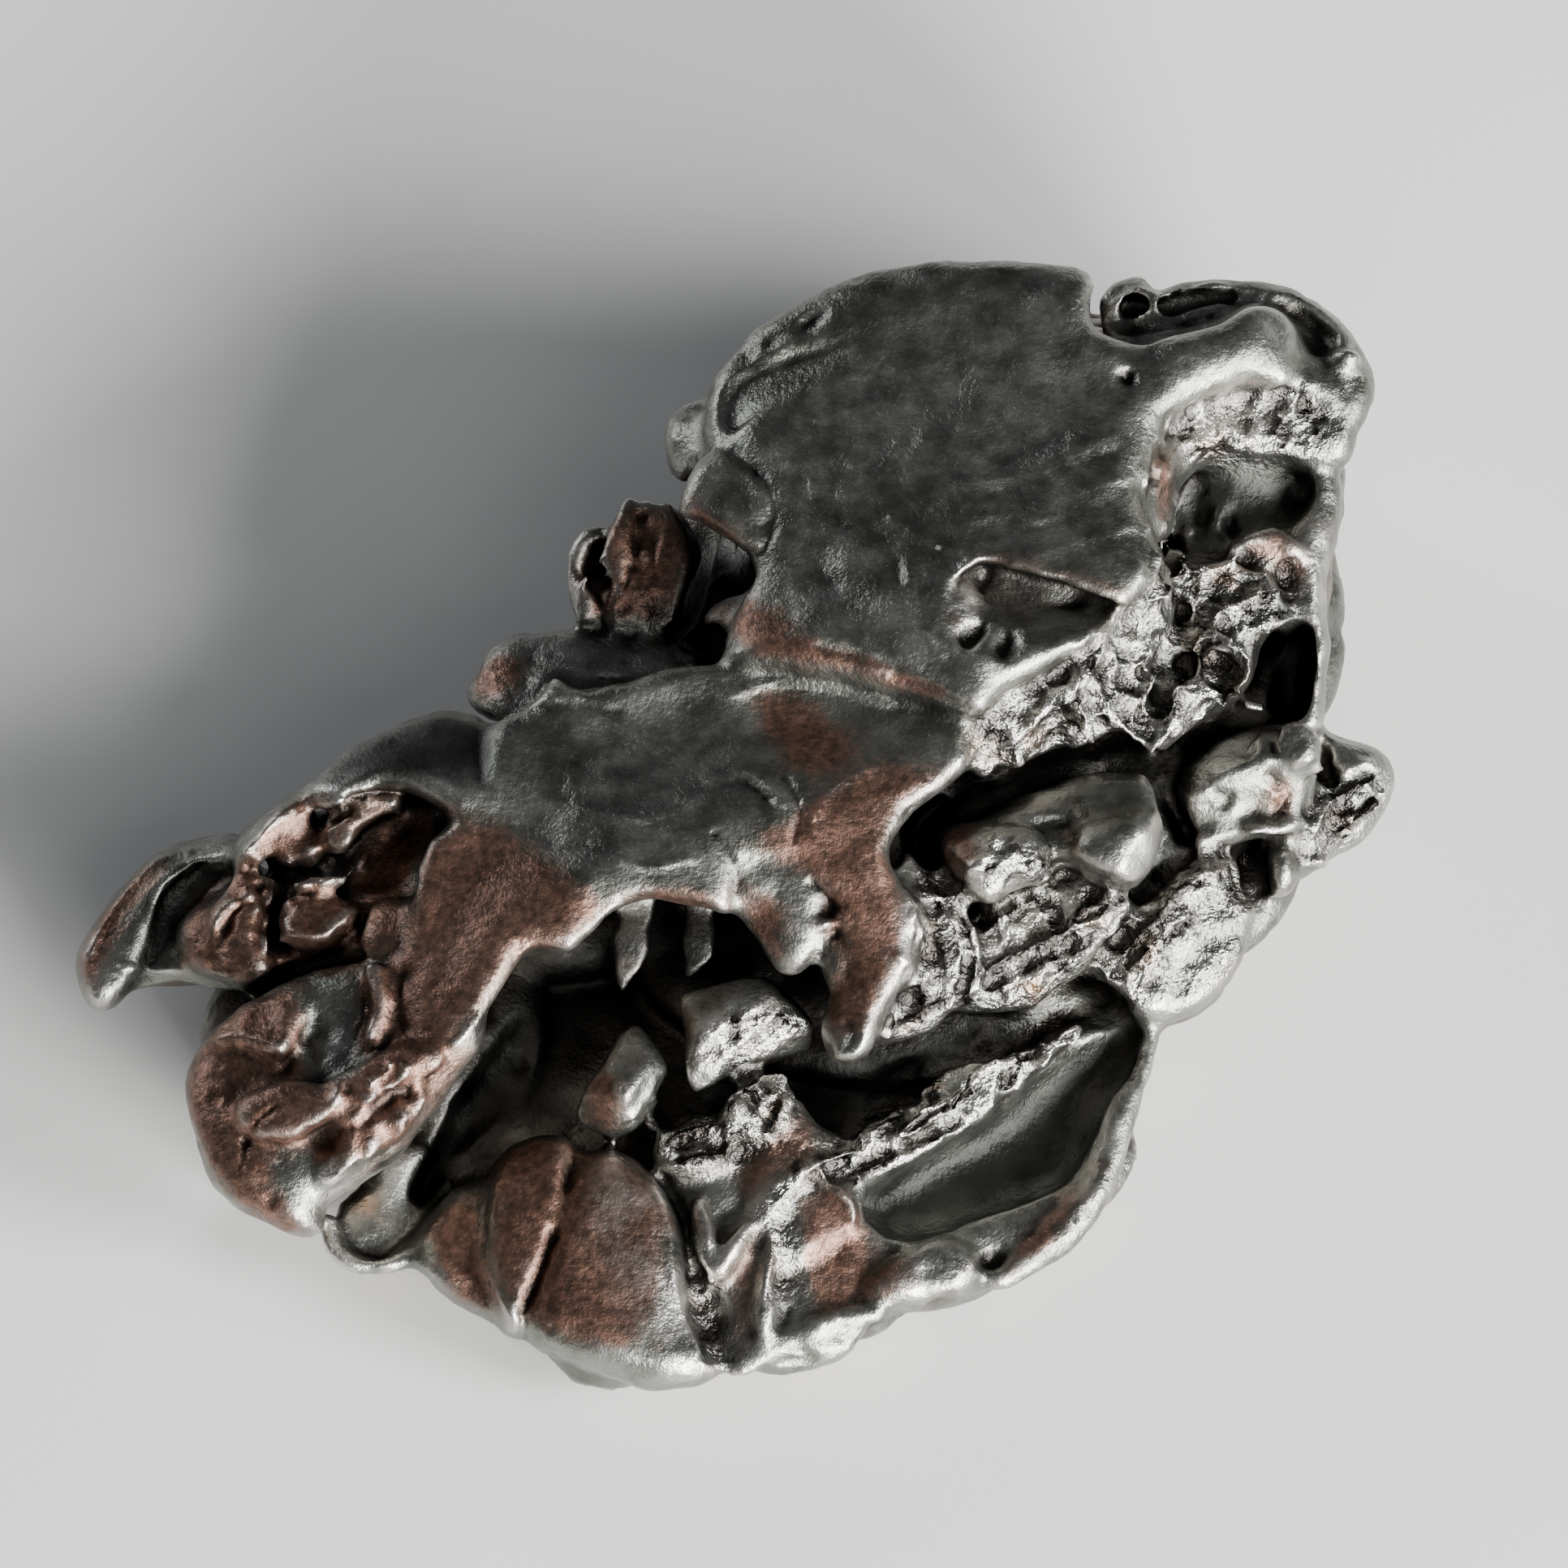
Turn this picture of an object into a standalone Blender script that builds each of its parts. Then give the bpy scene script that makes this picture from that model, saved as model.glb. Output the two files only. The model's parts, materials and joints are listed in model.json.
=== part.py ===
"""Iron meteorite: one solid lump of metal, lying on its broad back.

A smooth shield lies on top of a heap of fused plates, knobs, blades and black hollows. Every form has the
outline that the photograph shows, in its pixels across and down, with its height over the table in storeys.
"""

import math

import bmesh
import bpy
import numpy as np
from mathutils.geometry import delaunay_2d_cdt

# Driving dimensions: real sizes in metres
LENGTH = 0.0580  # from the tip of the spur to the knob at the far right
LENGTH_SEEN = 1625  # the same length in the photograph, in pixels
VIEW_CENTRE = 966  # the middle of the photograph, across and down, in pixels
VIEW_TILT = math.radians(60)  # how steeply the photograph looks down on the table
MM = 0.001
PIXEL = LENGTH / LENGTH_SEEN
STOREY = 0.00125  # the unit in which heights over the table are counted
AIM = np.array((0.00212, 0.00480, 0))  # where on the table the middle of the photograph looks

# How finely the solid is made
VOXEL = 0.00045
OUTLINE_STEP = 0.0006
FILL_STEP = 0.0007
TRIANGLES = 8800
TABLE_CUT = 0.0003  # how much is worn off the lowest knobs, so that they lie flat
TABLE_NEAR = 0.00006
SOFTEN_ROUNDS = 2
SOFTEN_SHARE = 0.5

# The metal
IRON_COLOUR = (0.16, 0.15, 0.14, 1)
IRON_ROUGHNESS = 0.38
IRON_METALLIC = 0.9

# The photograph's own directions in the world
TOWARD = np.array((0, -math.cos(VIEW_TILT), math.sin(VIEW_TILT)))
ACROSS = np.array((1.0, 0, 0))
UPWARD = np.cross(TOWARD, ACROSS)
CUT_OUT = 9.0  # how far a hollow's cutter reaches out of the metal, in millimetres


def place(points):
    """The world points that the photograph shows at these pixels, this many storeys above the table."""
    seen = np.array(points, float)
    height = seen[:, 2] * STOREY
    back = ((VIEW_CENTRE - seen[:, 1]) * PIXEL - height * math.cos(VIEW_TILT)) / math.sin(VIEW_TILT)
    return np.stack([(seen[:, 0] - VIEW_CENTRE) * PIXEL, back, height], axis=1) + AIM


def smooth_path(knots, step, closed):
    """A Catmull-Rom curve through rows of numbers; the first three are a place."""
    if closed:
        knots = np.concatenate([knots[-1:], knots, knots[:2]])
    else:
        knots = np.concatenate([knots[:1], knots, knots[-1:]])
    made = []
    for p0, p1, p2, p3 in zip(knots, knots[1:], knots[2:], knots[3:]):
        count = max(1, round(float(np.linalg.norm((p2 - p1)[:3])) / step))
        t = (np.arange(count) / count)[:, None]
        made.append(0.5 * (2 * p1 + (p2 - p0) * t + (2 * p0 - 5 * p1 + 4 * p2 - p3) * t ** 2
                           + (3 * p1 - p0 - 3 * p2 + p3) * t ** 3))
    if not closed:
        made.append(knots[-1:])
    return np.concatenate(made)


def unit_ball(subdivisions):
    """The corners and the triangles of a ball of radius one."""
    shape = bmesh.new()
    bmesh.ops.create_icosphere(shape, subdivisions=subdivisions, radius=1)
    corners = np.array([v.co for v in shape.verts])
    faces = [[v.index for v in f.verts] for f in shape.faces]
    shape.free()
    return corners, faces


FINE_BALL = unit_ball(4)
SMALL_BALL = unit_ball(2)


class Heap:
    """Corners and faces of many closed forms that run into each other."""

    def __init__(self):
        self.corners = []
        self.faces = []
        self.count = 0

    def add(self, corners, faces):
        self.corners.append(corners)
        self.faces.extend([[k + self.count for k in f] for f in faces])
        self.count += len(corners)


def far_from(points, loop):
    """How far each flat point lies from a closed loop."""
    start, end = loop, np.roll(loop, -1, axis=0)
    line = end - start
    share = ((points[:, None] - start) * line).sum(2) / np.maximum((line ** 2).sum(1), 1e-18)
    nearest = start + np.clip(share, 0, 1)[..., None] * line
    return np.sqrt(((points[:, None] - nearest) ** 2).sum(2).min(1))


def inside(points, loop):
    """Which flat points lie inside a closed loop."""
    x, y = points[:, 0][:, None], points[:, 1][:, None]
    x0, y0 = loop[:, 0], loop[:, 1]
    x1, y1 = np.roll(x0, -1), np.roll(y0, -1)
    crosses = (y0 > y) != (y1 > y)
    reach = (x1 - x0) * (y - y0) / np.where(y1 == y0, 1e-12, y1 - y0) + x0
    return (crosses & (x < reach)).sum(1) % 2 == 1


def slab(heap, rim, front, back, edge, back_edge=None):
    """A form with this outline that swells toward the viewer and away from it, rounded at its edge.

    All three sizes are millimetres: how far it swells out in front, how far behind, and how wide its edge is.
    """
    loop = smooth_path(place(rim), OUTLINE_STEP, True)
    flat = np.stack([loop @ ACROSS, loop @ UPWARD], axis=1)
    low, high = flat.min(0), flat.max(0)
    across, up = np.meshgrid(np.arange(low[0], high[0], FILL_STEP), np.arange(low[1], high[1], FILL_STEP))
    grid = np.stack([across.ravel(), up.ravel()], axis=1)
    grid = grid[inside(grid, flat)]
    grid = grid[far_from(grid, flat) > FILL_STEP * 0.4]
    points = np.concatenate([flat, grid])
    total = len(flat)
    edges = [(i, (i + 1) % total) for i in range(total)]
    filled, _, triangles, _, _, _ = delaunay_2d_cdt([tuple(p) for p in points], edges, [], 1, 1e-7)
    points = np.array(filled)
    triangles = [list(t) for t in triangles]
    away = ((points[:, None] - flat) ** 2).sum(2) + 1e-10
    share = 1 / away ** 1.5
    depth = (share * (loop @ TOWARD)).sum(1) / share.sum(1)
    reach = far_from(points, flat)

    def swell(size, width):
        return size * MM * np.sqrt(1 - (1 - np.minimum(reach / (width * MM), 1)) ** 2)

    base = points[:, :1] * ACROSS + points[:, 1:] * UPWARD
    near = base + (depth + swell(front, edge))[:, None] * TOWARD
    far = base + (depth - swell(back, back_edge or edge))[:, None] * TOWARD
    on_rim = reach < 1e-7
    other = np.arange(len(points)) + len(points)
    other[on_rim] = np.arange(len(points))[on_rim]
    faces = triangles + [[other[k] for k in reversed(t)] for t in triangles]
    heap.add(np.concatenate([near, far]), faces)


def hollow(heap, rim, deep, edge):
    """A cutter that takes out everything in front of this outline, and a bowl this deep behind it."""
    slab(heap, rim, CUT_OUT, deep, 0.25, edge)


def knob(heap, centre, wide, tall, thick, roll=0):
    """An ellipsoid: its half sizes in the photograph in pixels, then toward the viewer in millimetres."""
    corners, faces = FINE_BALL
    turn = math.radians(roll)
    first = ACROSS * math.cos(turn) + UPWARD * math.sin(turn)
    second = UPWARD * math.cos(turn) - ACROSS * math.sin(turn)
    axes = np.array([first * wide * PIXEL, second * tall * PIXEL, TOWARD * thick * MM])
    heap.add(corners @ axes + place([centre]), faces)


def ridge(heap, path, stretch=1):
    """A rounded ridge along a smooth path of (across, down, up, radius in millimetres)."""
    corners, faces = SMALL_BALL
    rows = np.concatenate([place(path), np.array(path)[:, 3:] * MM], axis=1)
    axes = np.array([ACROSS, UPWARD, TOWARD * stretch])
    for ball in smooth_path(rows, rows[:, 3].min() * 0.4, False):
        heap.add(corners @ axes * ball[3] + ball[:3], faces)


def foot(heap, centre, radii, roll=0):
    """An ellipsoid that lies flat on the table, with its radii in millimetres."""
    corners, faces = FINE_BALL
    turn = math.radians(roll)
    axes = np.array([(math.cos(turn), math.sin(turn), 0), (-math.sin(turn), math.cos(turn), 0), (0, 0, 1)])
    heap.add((corners * radii * MM) @ axes + place([centre]), faces)


# The forms of the metal, from the top down. Pixels across, pixels down, storeys up.


def shield(heap):
    """The smooth plate on top, and the horn that it ends in at the far right."""
    slab(heap, [
        (866, 520, 11.6), (868, 480, 11.8), (884, 445, 12), (925, 403, 12.4), (985, 366, 12.8),
        (1060, 333, 13.2), (1150, 312, 13.6), (1240, 312, 13.8), (1322, 321, 13.8), (1350, 342, 13.8),
        (1344, 380, 13.8), (1358, 406, 13.8), (1400, 414, 13.8), (1445, 405, 13.8), (1500, 394, 13.6),
        (1545, 370, 13.4), (1575, 374, 13.2), (1600, 402, 12.8), (1612, 445, 12.4), (1590, 482, 12.2),
        (1540, 476, 12.4), (1490, 492, 12.6), (1446, 516, 12.8), (1424, 560, 13), (1408, 610, 13.2),
        (1424, 655, 13), (1440, 694, 12.8), (1408, 742, 12.8), (1352, 788, 12.6), (1290, 826, 12.6),
        (1240, 850, 12.6), (1204, 884, 12.4), (1120, 858, 12), (1020, 838, 11.8), (930, 826, 11.6),
        (890, 812, 11.6), (915, 765, 11.8), (938, 690, 12), (944, 640, 12), (930, 580, 11.8),
        (890, 545, 11.6),
    ], 1.5, 6, 2.2)
    slab(heap, [
        (1352, 380, 10.4), (1364, 348, 10.6), (1384, 338, 10.6), (1412, 333, 10.6), (1426, 352, 10.6),
        (1452, 338, 10.6), (1500, 335, 10.6), (1570, 341, 10.4), (1622, 363, 10.2), (1662, 396, 10),
        (1690, 442, 9.8), (1694, 490, 9.8), (1680, 525, 9.8), (1655, 572, 9.4), (1560, 570, 9.8),
        (1450, 570, 10.4), (1390, 470, 10.4),
    ], 1.4, 6, 1.6)
    slab(heap, [
        (1446, 520, 11.4), (1495, 488, 11.6), (1560, 474, 11.4), (1615, 478, 11), (1642, 520, 10.4),
        (1640, 556, 10), (1560, 560, 10), (1500, 556, 10.2), (1452, 566, 10.4),
    ], 0.9, 4, 1.4)
    knob(heap, (1660, 436, 10.4), 20, 16, 1.2)


def lower_plate(heap):
    """The plate one step below the shield, and the smooth finger that hooks down from it."""
    slab(heap, [
        (600, 893, 10.8), (648, 864, 11), (684, 826, 11.2), (704, 838, 11.2), (765, 834, 11.4),
        (838, 816, 11.6), (920, 810, 11.6), (1010, 800, 11.6), (1120, 830, 11.6), (1204, 876, 11.6),
        (1198, 930, 11.4), (1168, 966, 11.2), (1128, 996, 11), (1098, 1034, 10.8), (1040, 1060, 10.8),
        (975, 1064, 10.8), (928, 1064, 10.8), (906, 1090, 10.8), (902, 1124, 10.4), (872, 1116, 10.6),
        (832, 1110, 10.6), (790, 1106, 10.6), (758, 1118, 10.4), (728, 1146, 10.2), (698, 1170, 10.2),
        (656, 1166, 10), (628, 1200, 9.8), (598, 1246, 9.6), (572, 1288, 9.2), (520, 1300, 9),
        (476, 1270, 9), (488, 1200, 9.4), (512, 1150, 9.8), (506, 1090, 10), (520, 1040, 10.2),
        (556, 1002, 10.4), (592, 960, 10.8),
    ], 1.1, 4.4, 1.4)
    slab(heap, [
        (1100, 1010, 11), (1096, 1050, 10.8), (1112, 1086, 10.4), (1132, 1114, 10), (1138, 1152, 9.6),
        (1126, 1192, 9.2), (1104, 1230, 8.8), (1086, 1268, 8.4), (1070, 1296, 8.2), (1046, 1309, 8),
        (1022, 1300, 8), (1010, 1270, 8), (1016, 1236, 8.4), (1034, 1200, 8.8), (1036, 1160, 9.4),
        (1022, 1120, 10), (990, 1088, 10.4), (970, 1050, 10.6), (1020, 1000, 11),
    ], 1.4, 3.5, 1.3)
    slab(heap, [
        (924, 1092, 9.8), (955, 1074, 10), (996, 1084, 10), (1012, 1122, 9.8), (1006, 1172, 9.2),
        (978, 1196, 8.8), (950, 1184, 9), (932, 1146, 9.4),
    ], 1.5, 3.5, 1.2)


def far_side(heap):
    """What stands out behind the plates at the far left: tab, nub, ribbed lump and shoulder."""
    slab(heap, [
        (832, 632, 12), (838, 595, 12.2), (856, 564, 12.4), (882, 547, 12.4), (912, 560, 12.4),
        (940, 580, 12.4), (948, 615, 12.4), (944, 650, 12.2), (928, 676, 12), (896, 656, 12),
        (858, 634, 12),
    ], 1.1, 1.6, 0.8)
    slab(heap, [
        (818, 552, 9.6), (814, 522, 9.8), (830, 500, 10), (866, 486, 10.2), (890, 520, 10.2),
        (870, 560, 9.8), (834, 582, 9.4),
    ], 1.2, 3, 1.0)
    slab(heap, [
        (697, 704, 8.4), (699, 668, 8.6), (718, 646, 8.8), (744, 642, 9), (756, 619, 9.2),
        (778, 605, 9.4), (800, 607, 9.4), (826, 613, 9.4), (850, 640, 9.4), (868, 680, 9.4),
        (846, 730, 8.8), (826, 776, 8.4), (770, 772, 8.4), (716, 762, 8.2), (704, 738, 8.2),
    ], 1.6, 4, 1.4)
    slab(heap, [
        (572, 858, 7.6), (582, 820, 7.8), (602, 791, 8), (640, 772, 8.2), (700, 767, 8.4),
        (770, 772, 8.4), (840, 790, 8.4), (880, 830, 8.4), (800, 860, 8.4), (700, 880, 8),
        (610, 892, 7.8),
    ], 1.5, 4, 1.4)
    slab(heap, [
        (860, 762, 10), (884, 736, 10.2), (930, 738, 10.4), (960, 760, 10.4), (930, 780, 10.2),
        (884, 774, 10),
    ], 1.0, 1.2, 0.6)


def left_side(heap):
    """The dark lobe at the far left of the lower plate, its bumps, and the claw-shaped spur."""
    slab(heap, [
        (606, 896, 10), (566, 867, 10), (505, 882, 9.8), (442, 911, 9.6), (400, 942, 9.4),
        (372, 968, 9.2), (404, 990, 9.4), (446, 976, 9.6), (486, 966, 9.8), (530, 984, 10),
        (556, 1004, 10.2), (600, 990, 10.4),
    ], 1.4, 3.4, 1.3)
    slab(heap, [
        (376, 964, 8.8), (400, 990, 8.8), (396, 1036, 8.6), (366, 1062, 8.4), (310, 1062, 8),
        (282, 1040, 7.8), (306, 1010, 8), (340, 986, 8.4),
    ], 1.5, 3.4, 1.1)
    slab(heap, [
        (402, 1014, 8.8), (430, 984, 9), (486, 972, 9.2), (492, 992, 9.2), (452, 1026, 9),
        (414, 1044, 8.8),
    ], 1.0, 3, 0.7)
    ridge(heap, [(366, 1086, 8.8, 0.34), (404, 1090, 8.9, 0.42), (438, 1078, 8.9, 0.42), (452, 1056, 8.9, 0.3)])
    slab(heap, [
        (344, 1138, 8.2), (354, 1112, 8.4), (392, 1100, 8.4), (440, 1104, 8.6), (440, 1130, 8.4),
        (408, 1160, 8.2), (362, 1158, 8),
    ], 1.3, 3, 1.0)
    slab(heap, [
        (446, 1140, 8.4), (456, 1112, 8.6), (492, 1099, 8.8), (516, 1114, 8.8), (512, 1150, 8.6),
        (480, 1172, 8.4), (452, 1164, 8.4),
    ], 1.1, 3, 0.9)
    slab(heap, [
        (212, 1150, 6.2), (232, 1112, 6.4), (290, 1080, 7), (336, 1070, 7.4), (356, 1110, 7.4),
        (348, 1164, 7.2), (306, 1204, 6.6), (260, 1202, 6.2), (226, 1184, 6),
    ], 1.7, 2.6, 1.4)
    slab(heap, [
        (93, 1186, 5), (101, 1150, 5.2), (130, 1110, 5.4), (166, 1066, 5.6), (202, 1041, 5.8),
        (244, 1026, 6), (300, 1020, 6.6), (330, 1050, 7), (290, 1076, 6.6), (238, 1100, 6),
        (208, 1140, 5.8), (196, 1180, 5.4), (164, 1218, 5), (130, 1244, 4.6), (104, 1226, 4.8),
    ], 1.5, 1.8, 1.2)
    ridge(heap, [(160, 1206, 4.8, 0.42), (220, 1196, 5, 0.5), (290, 1204, 5.6, 0.5)])
    slab(heap, [
        (320, 1080, 6.4), (420, 980, 7.6), (540, 980, 8.4), (560, 1100, 8.4), (500, 1200, 7.6),
        (400, 1210, 6.8), (300, 1220, 6),
    ], 1.0, 4, 1.4)


def left_lobe(heap):
    """The broad rounded lobe that the lower plate runs down into, and the little hook under it."""
    slab(heap, [
        (520, 1150, 9), (470, 1172, 8.6), (400, 1184, 8), (340, 1208, 7.4), (290, 1238, 7),
        (260, 1266, 6.6), (238, 1298, 6.4), (227, 1332, 6.2), (231, 1372, 6), (242, 1412, 5.8),
        (264, 1452, 5.6), (302, 1490, 5.4), (346, 1512, 5.2), (385, 1521, 5), (406, 1504, 5.2),
        (404, 1480, 5.4), (450, 1452, 5.8), (492, 1420, 6.2), (536, 1366, 7), (566, 1326, 7.6),
        (600, 1270, 8.8), (590, 1190, 9.2),
    ], 1.7, 3.6, 1.9)
    ridge(heap, [(406, 1500, 3.4, 0.5), (412, 1530, 3.2, 0.5), (438, 1552, 3, 0.5), (470, 1554, 3, 0.5),
                 (504, 1540, 3, 0.6)])
    slab(heap, [
        (408, 1500, 2.8), (440, 1448, 3.4), (500, 1400, 3.8), (560, 1440, 3), (540, 1530, 2.4),
        (480, 1556, 2.2), (430, 1550, 2.4),
    ], 0.5, 1.6, 0.8)


def right_wall(heap):
    """The post at the far right and the torn metal beside it."""
    slab(heap, [
        (1636, 556, 9), (1656, 585, 9), (1653, 640, 8.8), (1642, 690, 8.6), (1641, 750, 8.2),
        (1643, 800, 8), (1636, 850, 7.6), (1633, 896, 7.2), (1590, 900, 7.2), (1560, 860, 7.4),
        (1590, 740, 8.6), (1580, 660, 9), (1600, 600, 9),
    ], 1.4, 5, 1.1)
    slab(heap, [
        (1430, 680, 9.8), (1512, 684, 9.8), (1560, 690, 9.6), (1596, 738, 9.2), (1560, 790, 9),
        (1548, 834, 8.6), (1520, 864, 8.6), (1486, 880, 8.6), (1456, 900, 8.6), (1430, 924, 8.6),
        (1404, 900, 8.8), (1410, 780, 9.8),
    ], 1.4, 5, 1.2)
    slab(heap, [
        (1438, 690, 12), (1456, 740, 11.2), (1440, 800, 10.6), (1414, 860, 10), (1416, 912, 9.2),
        (1350, 914, 9.8), (1300, 924, 9.8), (1250, 946, 9.8), (1206, 966, 9.8), (1196, 900, 11.4),
        (1240, 846, 11.8), (1290, 820, 12), (1350, 780, 12), (1404, 736, 12.2),
    ], 0.9, 5, 1.4)
    ridge(heap, [(1596, 744, 9.8, 0.5), (1560, 784, 9.8, 0.7), (1530, 830, 9.4, 0.8), (1500, 862, 9.2, 0.6)])
    ridge(heap, [(1470, 690, 10.8, 0.6), (1510, 684, 10.6, 0.6)])
    knob(heap, (1530, 650, 8.2), 34, 26, 1.6, -20)
    knob(heap, (1494, 612, 8.6), 14, 18, 1.0)
    knob(heap, (1608, 834, 7.8), 20, 22, 1.2)


def right_knobs(heap):
    """The twin knob, the faceted block beyond it, the far knob and the flaky plate below."""
    slab(heap, [
        (1148, 1036, 8.2), (1162, 1010, 8.4), (1200, 994, 8.6), (1250, 990, 8.8), (1300, 1008, 8.8),
        (1318, 1046, 8.4), (1300, 1082, 8), (1244, 1094, 8), (1216, 1114, 7.8), (1188, 1100, 7.8),
        (1162, 1072, 8),
    ], 2.6, 4.5, 2.0)
    slab(heap, [
        (1290, 1020, 8.6), (1300, 980, 9), (1350, 954, 9.2), (1400, 942, 9.2), (1424, 958, 9),
        (1436, 1000, 8.8), (1426, 1050, 8.4), (1406, 1084, 8.2), (1378, 1095, 8), (1338, 1080, 8.2),
        (1310, 1052, 8.4),
    ], 2.7, 4.5, 2.0)
    slab(heap, [
        (1204, 1004, 8.8), (1270, 970, 9), (1340, 950, 9.2), (1404, 946, 9.2), (1400, 990, 9),
        (1300, 1040, 8.6), (1230, 1040, 8.6),
    ], 1.4, 4, 1.2)
    slab(heap, [
        (1442, 972, 7.6), (1470, 912, 7.8), (1540, 886, 7.8), (1600, 880, 7.6), (1630, 904, 7.4),
        (1632, 958, 7), (1614, 1008, 6.8), (1544, 1024, 7), (1476, 1050, 7.2), (1450, 1014, 7.4),
    ], 1.9, 4.5, 1.6)
    knob(heap, (1592, 926, 8.8), 26, 24, 1.0)
    slab(heap, [
        (1624, 892, 5.8), (1680, 907, 5.6), (1712, 926, 5.4), (1722, 956, 5.2), (1713, 986, 5),
        (1692, 1018, 4.8), (1664, 1046, 4.6), (1632, 1064, 4.6), (1596, 1092, 4.4), (1560, 1110, 4.4),
        (1560, 1040, 5), (1600, 960, 5.6),
    ], 1.6, 3, 1.4)
    slab(heap, [
        (1556, 1068, 5.4), (1562, 1038, 5.8), (1584, 1030, 5.8), (1604, 1044, 5.6), (1606, 1078, 5.2),
        (1588, 1106, 4.8), (1566, 1100, 5),
    ], 1.6, 3, 0.9)
    knob(heap, (1626, 1058, 5.4), 16, 16, 0.8)
    slab(heap, [
        (1396, 1126, 6.4), (1438, 1066, 6.8), (1490, 1044, 6.8), (1532, 1052, 6.4), (1536, 1086, 6),
        (1552, 1116, 5.4), (1536, 1160, 4.8), (1520, 1200, 4.4), (1470, 1246, 4), (1430, 1256, 4),
        (1384, 1240, 4.6), (1350, 1216, 5), (1344, 1188, 5.4), (1376, 1160, 5.8),
    ], 1.2, 3.5, 1.2)
    slab(heap, [
        (1448, 1168, 5), (1468, 1148, 5.2), (1508, 1134, 5.2), (1536, 1140, 5), (1536, 1166, 4.8),
        (1520, 1198, 4.4), (1490, 1222, 4.2), (1452, 1236, 4.2), (1432, 1220, 4.4), (1438, 1192, 4.6),
    ], 1.5, 2.6, 1.1)
    slab(heap, [
        (1420, 1254, 3), (1452, 1228, 3.2), (1500, 1204, 3.4), (1510, 1220, 3.2), (1474, 1250, 2.8),
        (1436, 1262, 2.8),
    ], 0.9, 1.6, 0.7)


def broken_face(heap):
    """The torn, striated metal between the finger and the twin knob."""
    slab(heap, [
        (1110, 1040, 9.4), (1150, 1064, 9.2), (1190, 1108, 8.8), (1206, 1150, 8.2), (1212, 1206, 7.4),
        (1180, 1246, 6.8), (1140, 1272, 6.6), (1098, 1286, 6.6), (1060, 1270, 7), (1080, 1160, 8.6),
    ], 1.0, 4, 1.4)
    slab(heap, [
        (1196, 1130, 7), (1256, 1088, 7.4), (1316, 1066, 7.6), (1384, 1096, 7.2), (1398, 1112, 7),
        (1372, 1152, 6.6), (1342, 1190, 6.2), (1304, 1216, 6), (1262, 1244, 5.6), (1212, 1250, 5.6),
        (1176, 1240, 6),
    ], 1.2, 4, 1.4)
    slab(heap, [
        (1310, 1122, 7.6), (1358, 1094, 7.8), (1396, 1108, 7.4), (1384, 1140, 7), (1322, 1150, 7.2),
    ], 1.0, 2, 0.9)


def front_knobs(heap):
    """The chunks in the mouth of the big hollow, and the bits that hang over it."""
    slab(heap, [
        (832, 1214, 7), (870, 1196, 7.2), (914, 1190, 7.2), (950, 1205, 7), (982, 1236, 6.8),
        (1004, 1256, 6.4), (986, 1288, 6), (930, 1306, 6), (892, 1320, 5.8), (870, 1346, 5.4),
        (844, 1336, 5.6), (836, 1290, 6.2), (838, 1250, 6.6),
    ], 2.0, 3.4, 1.6)
    slab(heap, [
        (764, 1258, 6.4), (784, 1250, 6.4), (802, 1282, 6), (824, 1304, 5.8), (816, 1340, 5.4),
        (802, 1372, 5), (796, 1400, 4.6), (758, 1400, 4.6), (724, 1390, 4.8), (705, 1370, 5),
        (710, 1334, 5.4), (740, 1306, 5.8), (758, 1284, 6),
    ], 1.7, 3, 1.2)
    slab(heap, [
        (800, 1402, 4.6), (828, 1376, 4.8), (878, 1368, 5), (904, 1330, 5.6), (944, 1314, 5.8),
        (980, 1330, 5.6), (990, 1370, 5.2), (962, 1402, 4.8), (912, 1430, 4.6), (870, 1446, 4.4),
        (830, 1440, 4.4), (804, 1426, 4.4),
    ], 1.5, 3, 1.3)
    slab(heap, [
        (948, 1400, 4), (985, 1340, 4.6), (1010, 1370, 4.4), (1040, 1400, 4), (1000, 1450, 3.8),
        (940, 1500, 3.6), (900, 1480, 3.6), (900, 1440, 4),
    ], 1.2, 3, 1.2)
    ridge(heap, [(752, 1172, 8.2, 0.5), (786, 1196, 7.8, 0.6), (820, 1176, 8.2, 0.5)])
    ridge(heap, [(846, 1150, 8.6, 0.5), (874, 1172, 8, 0.6), (900, 1150, 8.6, 0.5)])
    ridge(heap, [(838, 1200, 6.8, 0.6), (838, 1150, 8.4, 0.6)])


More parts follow.
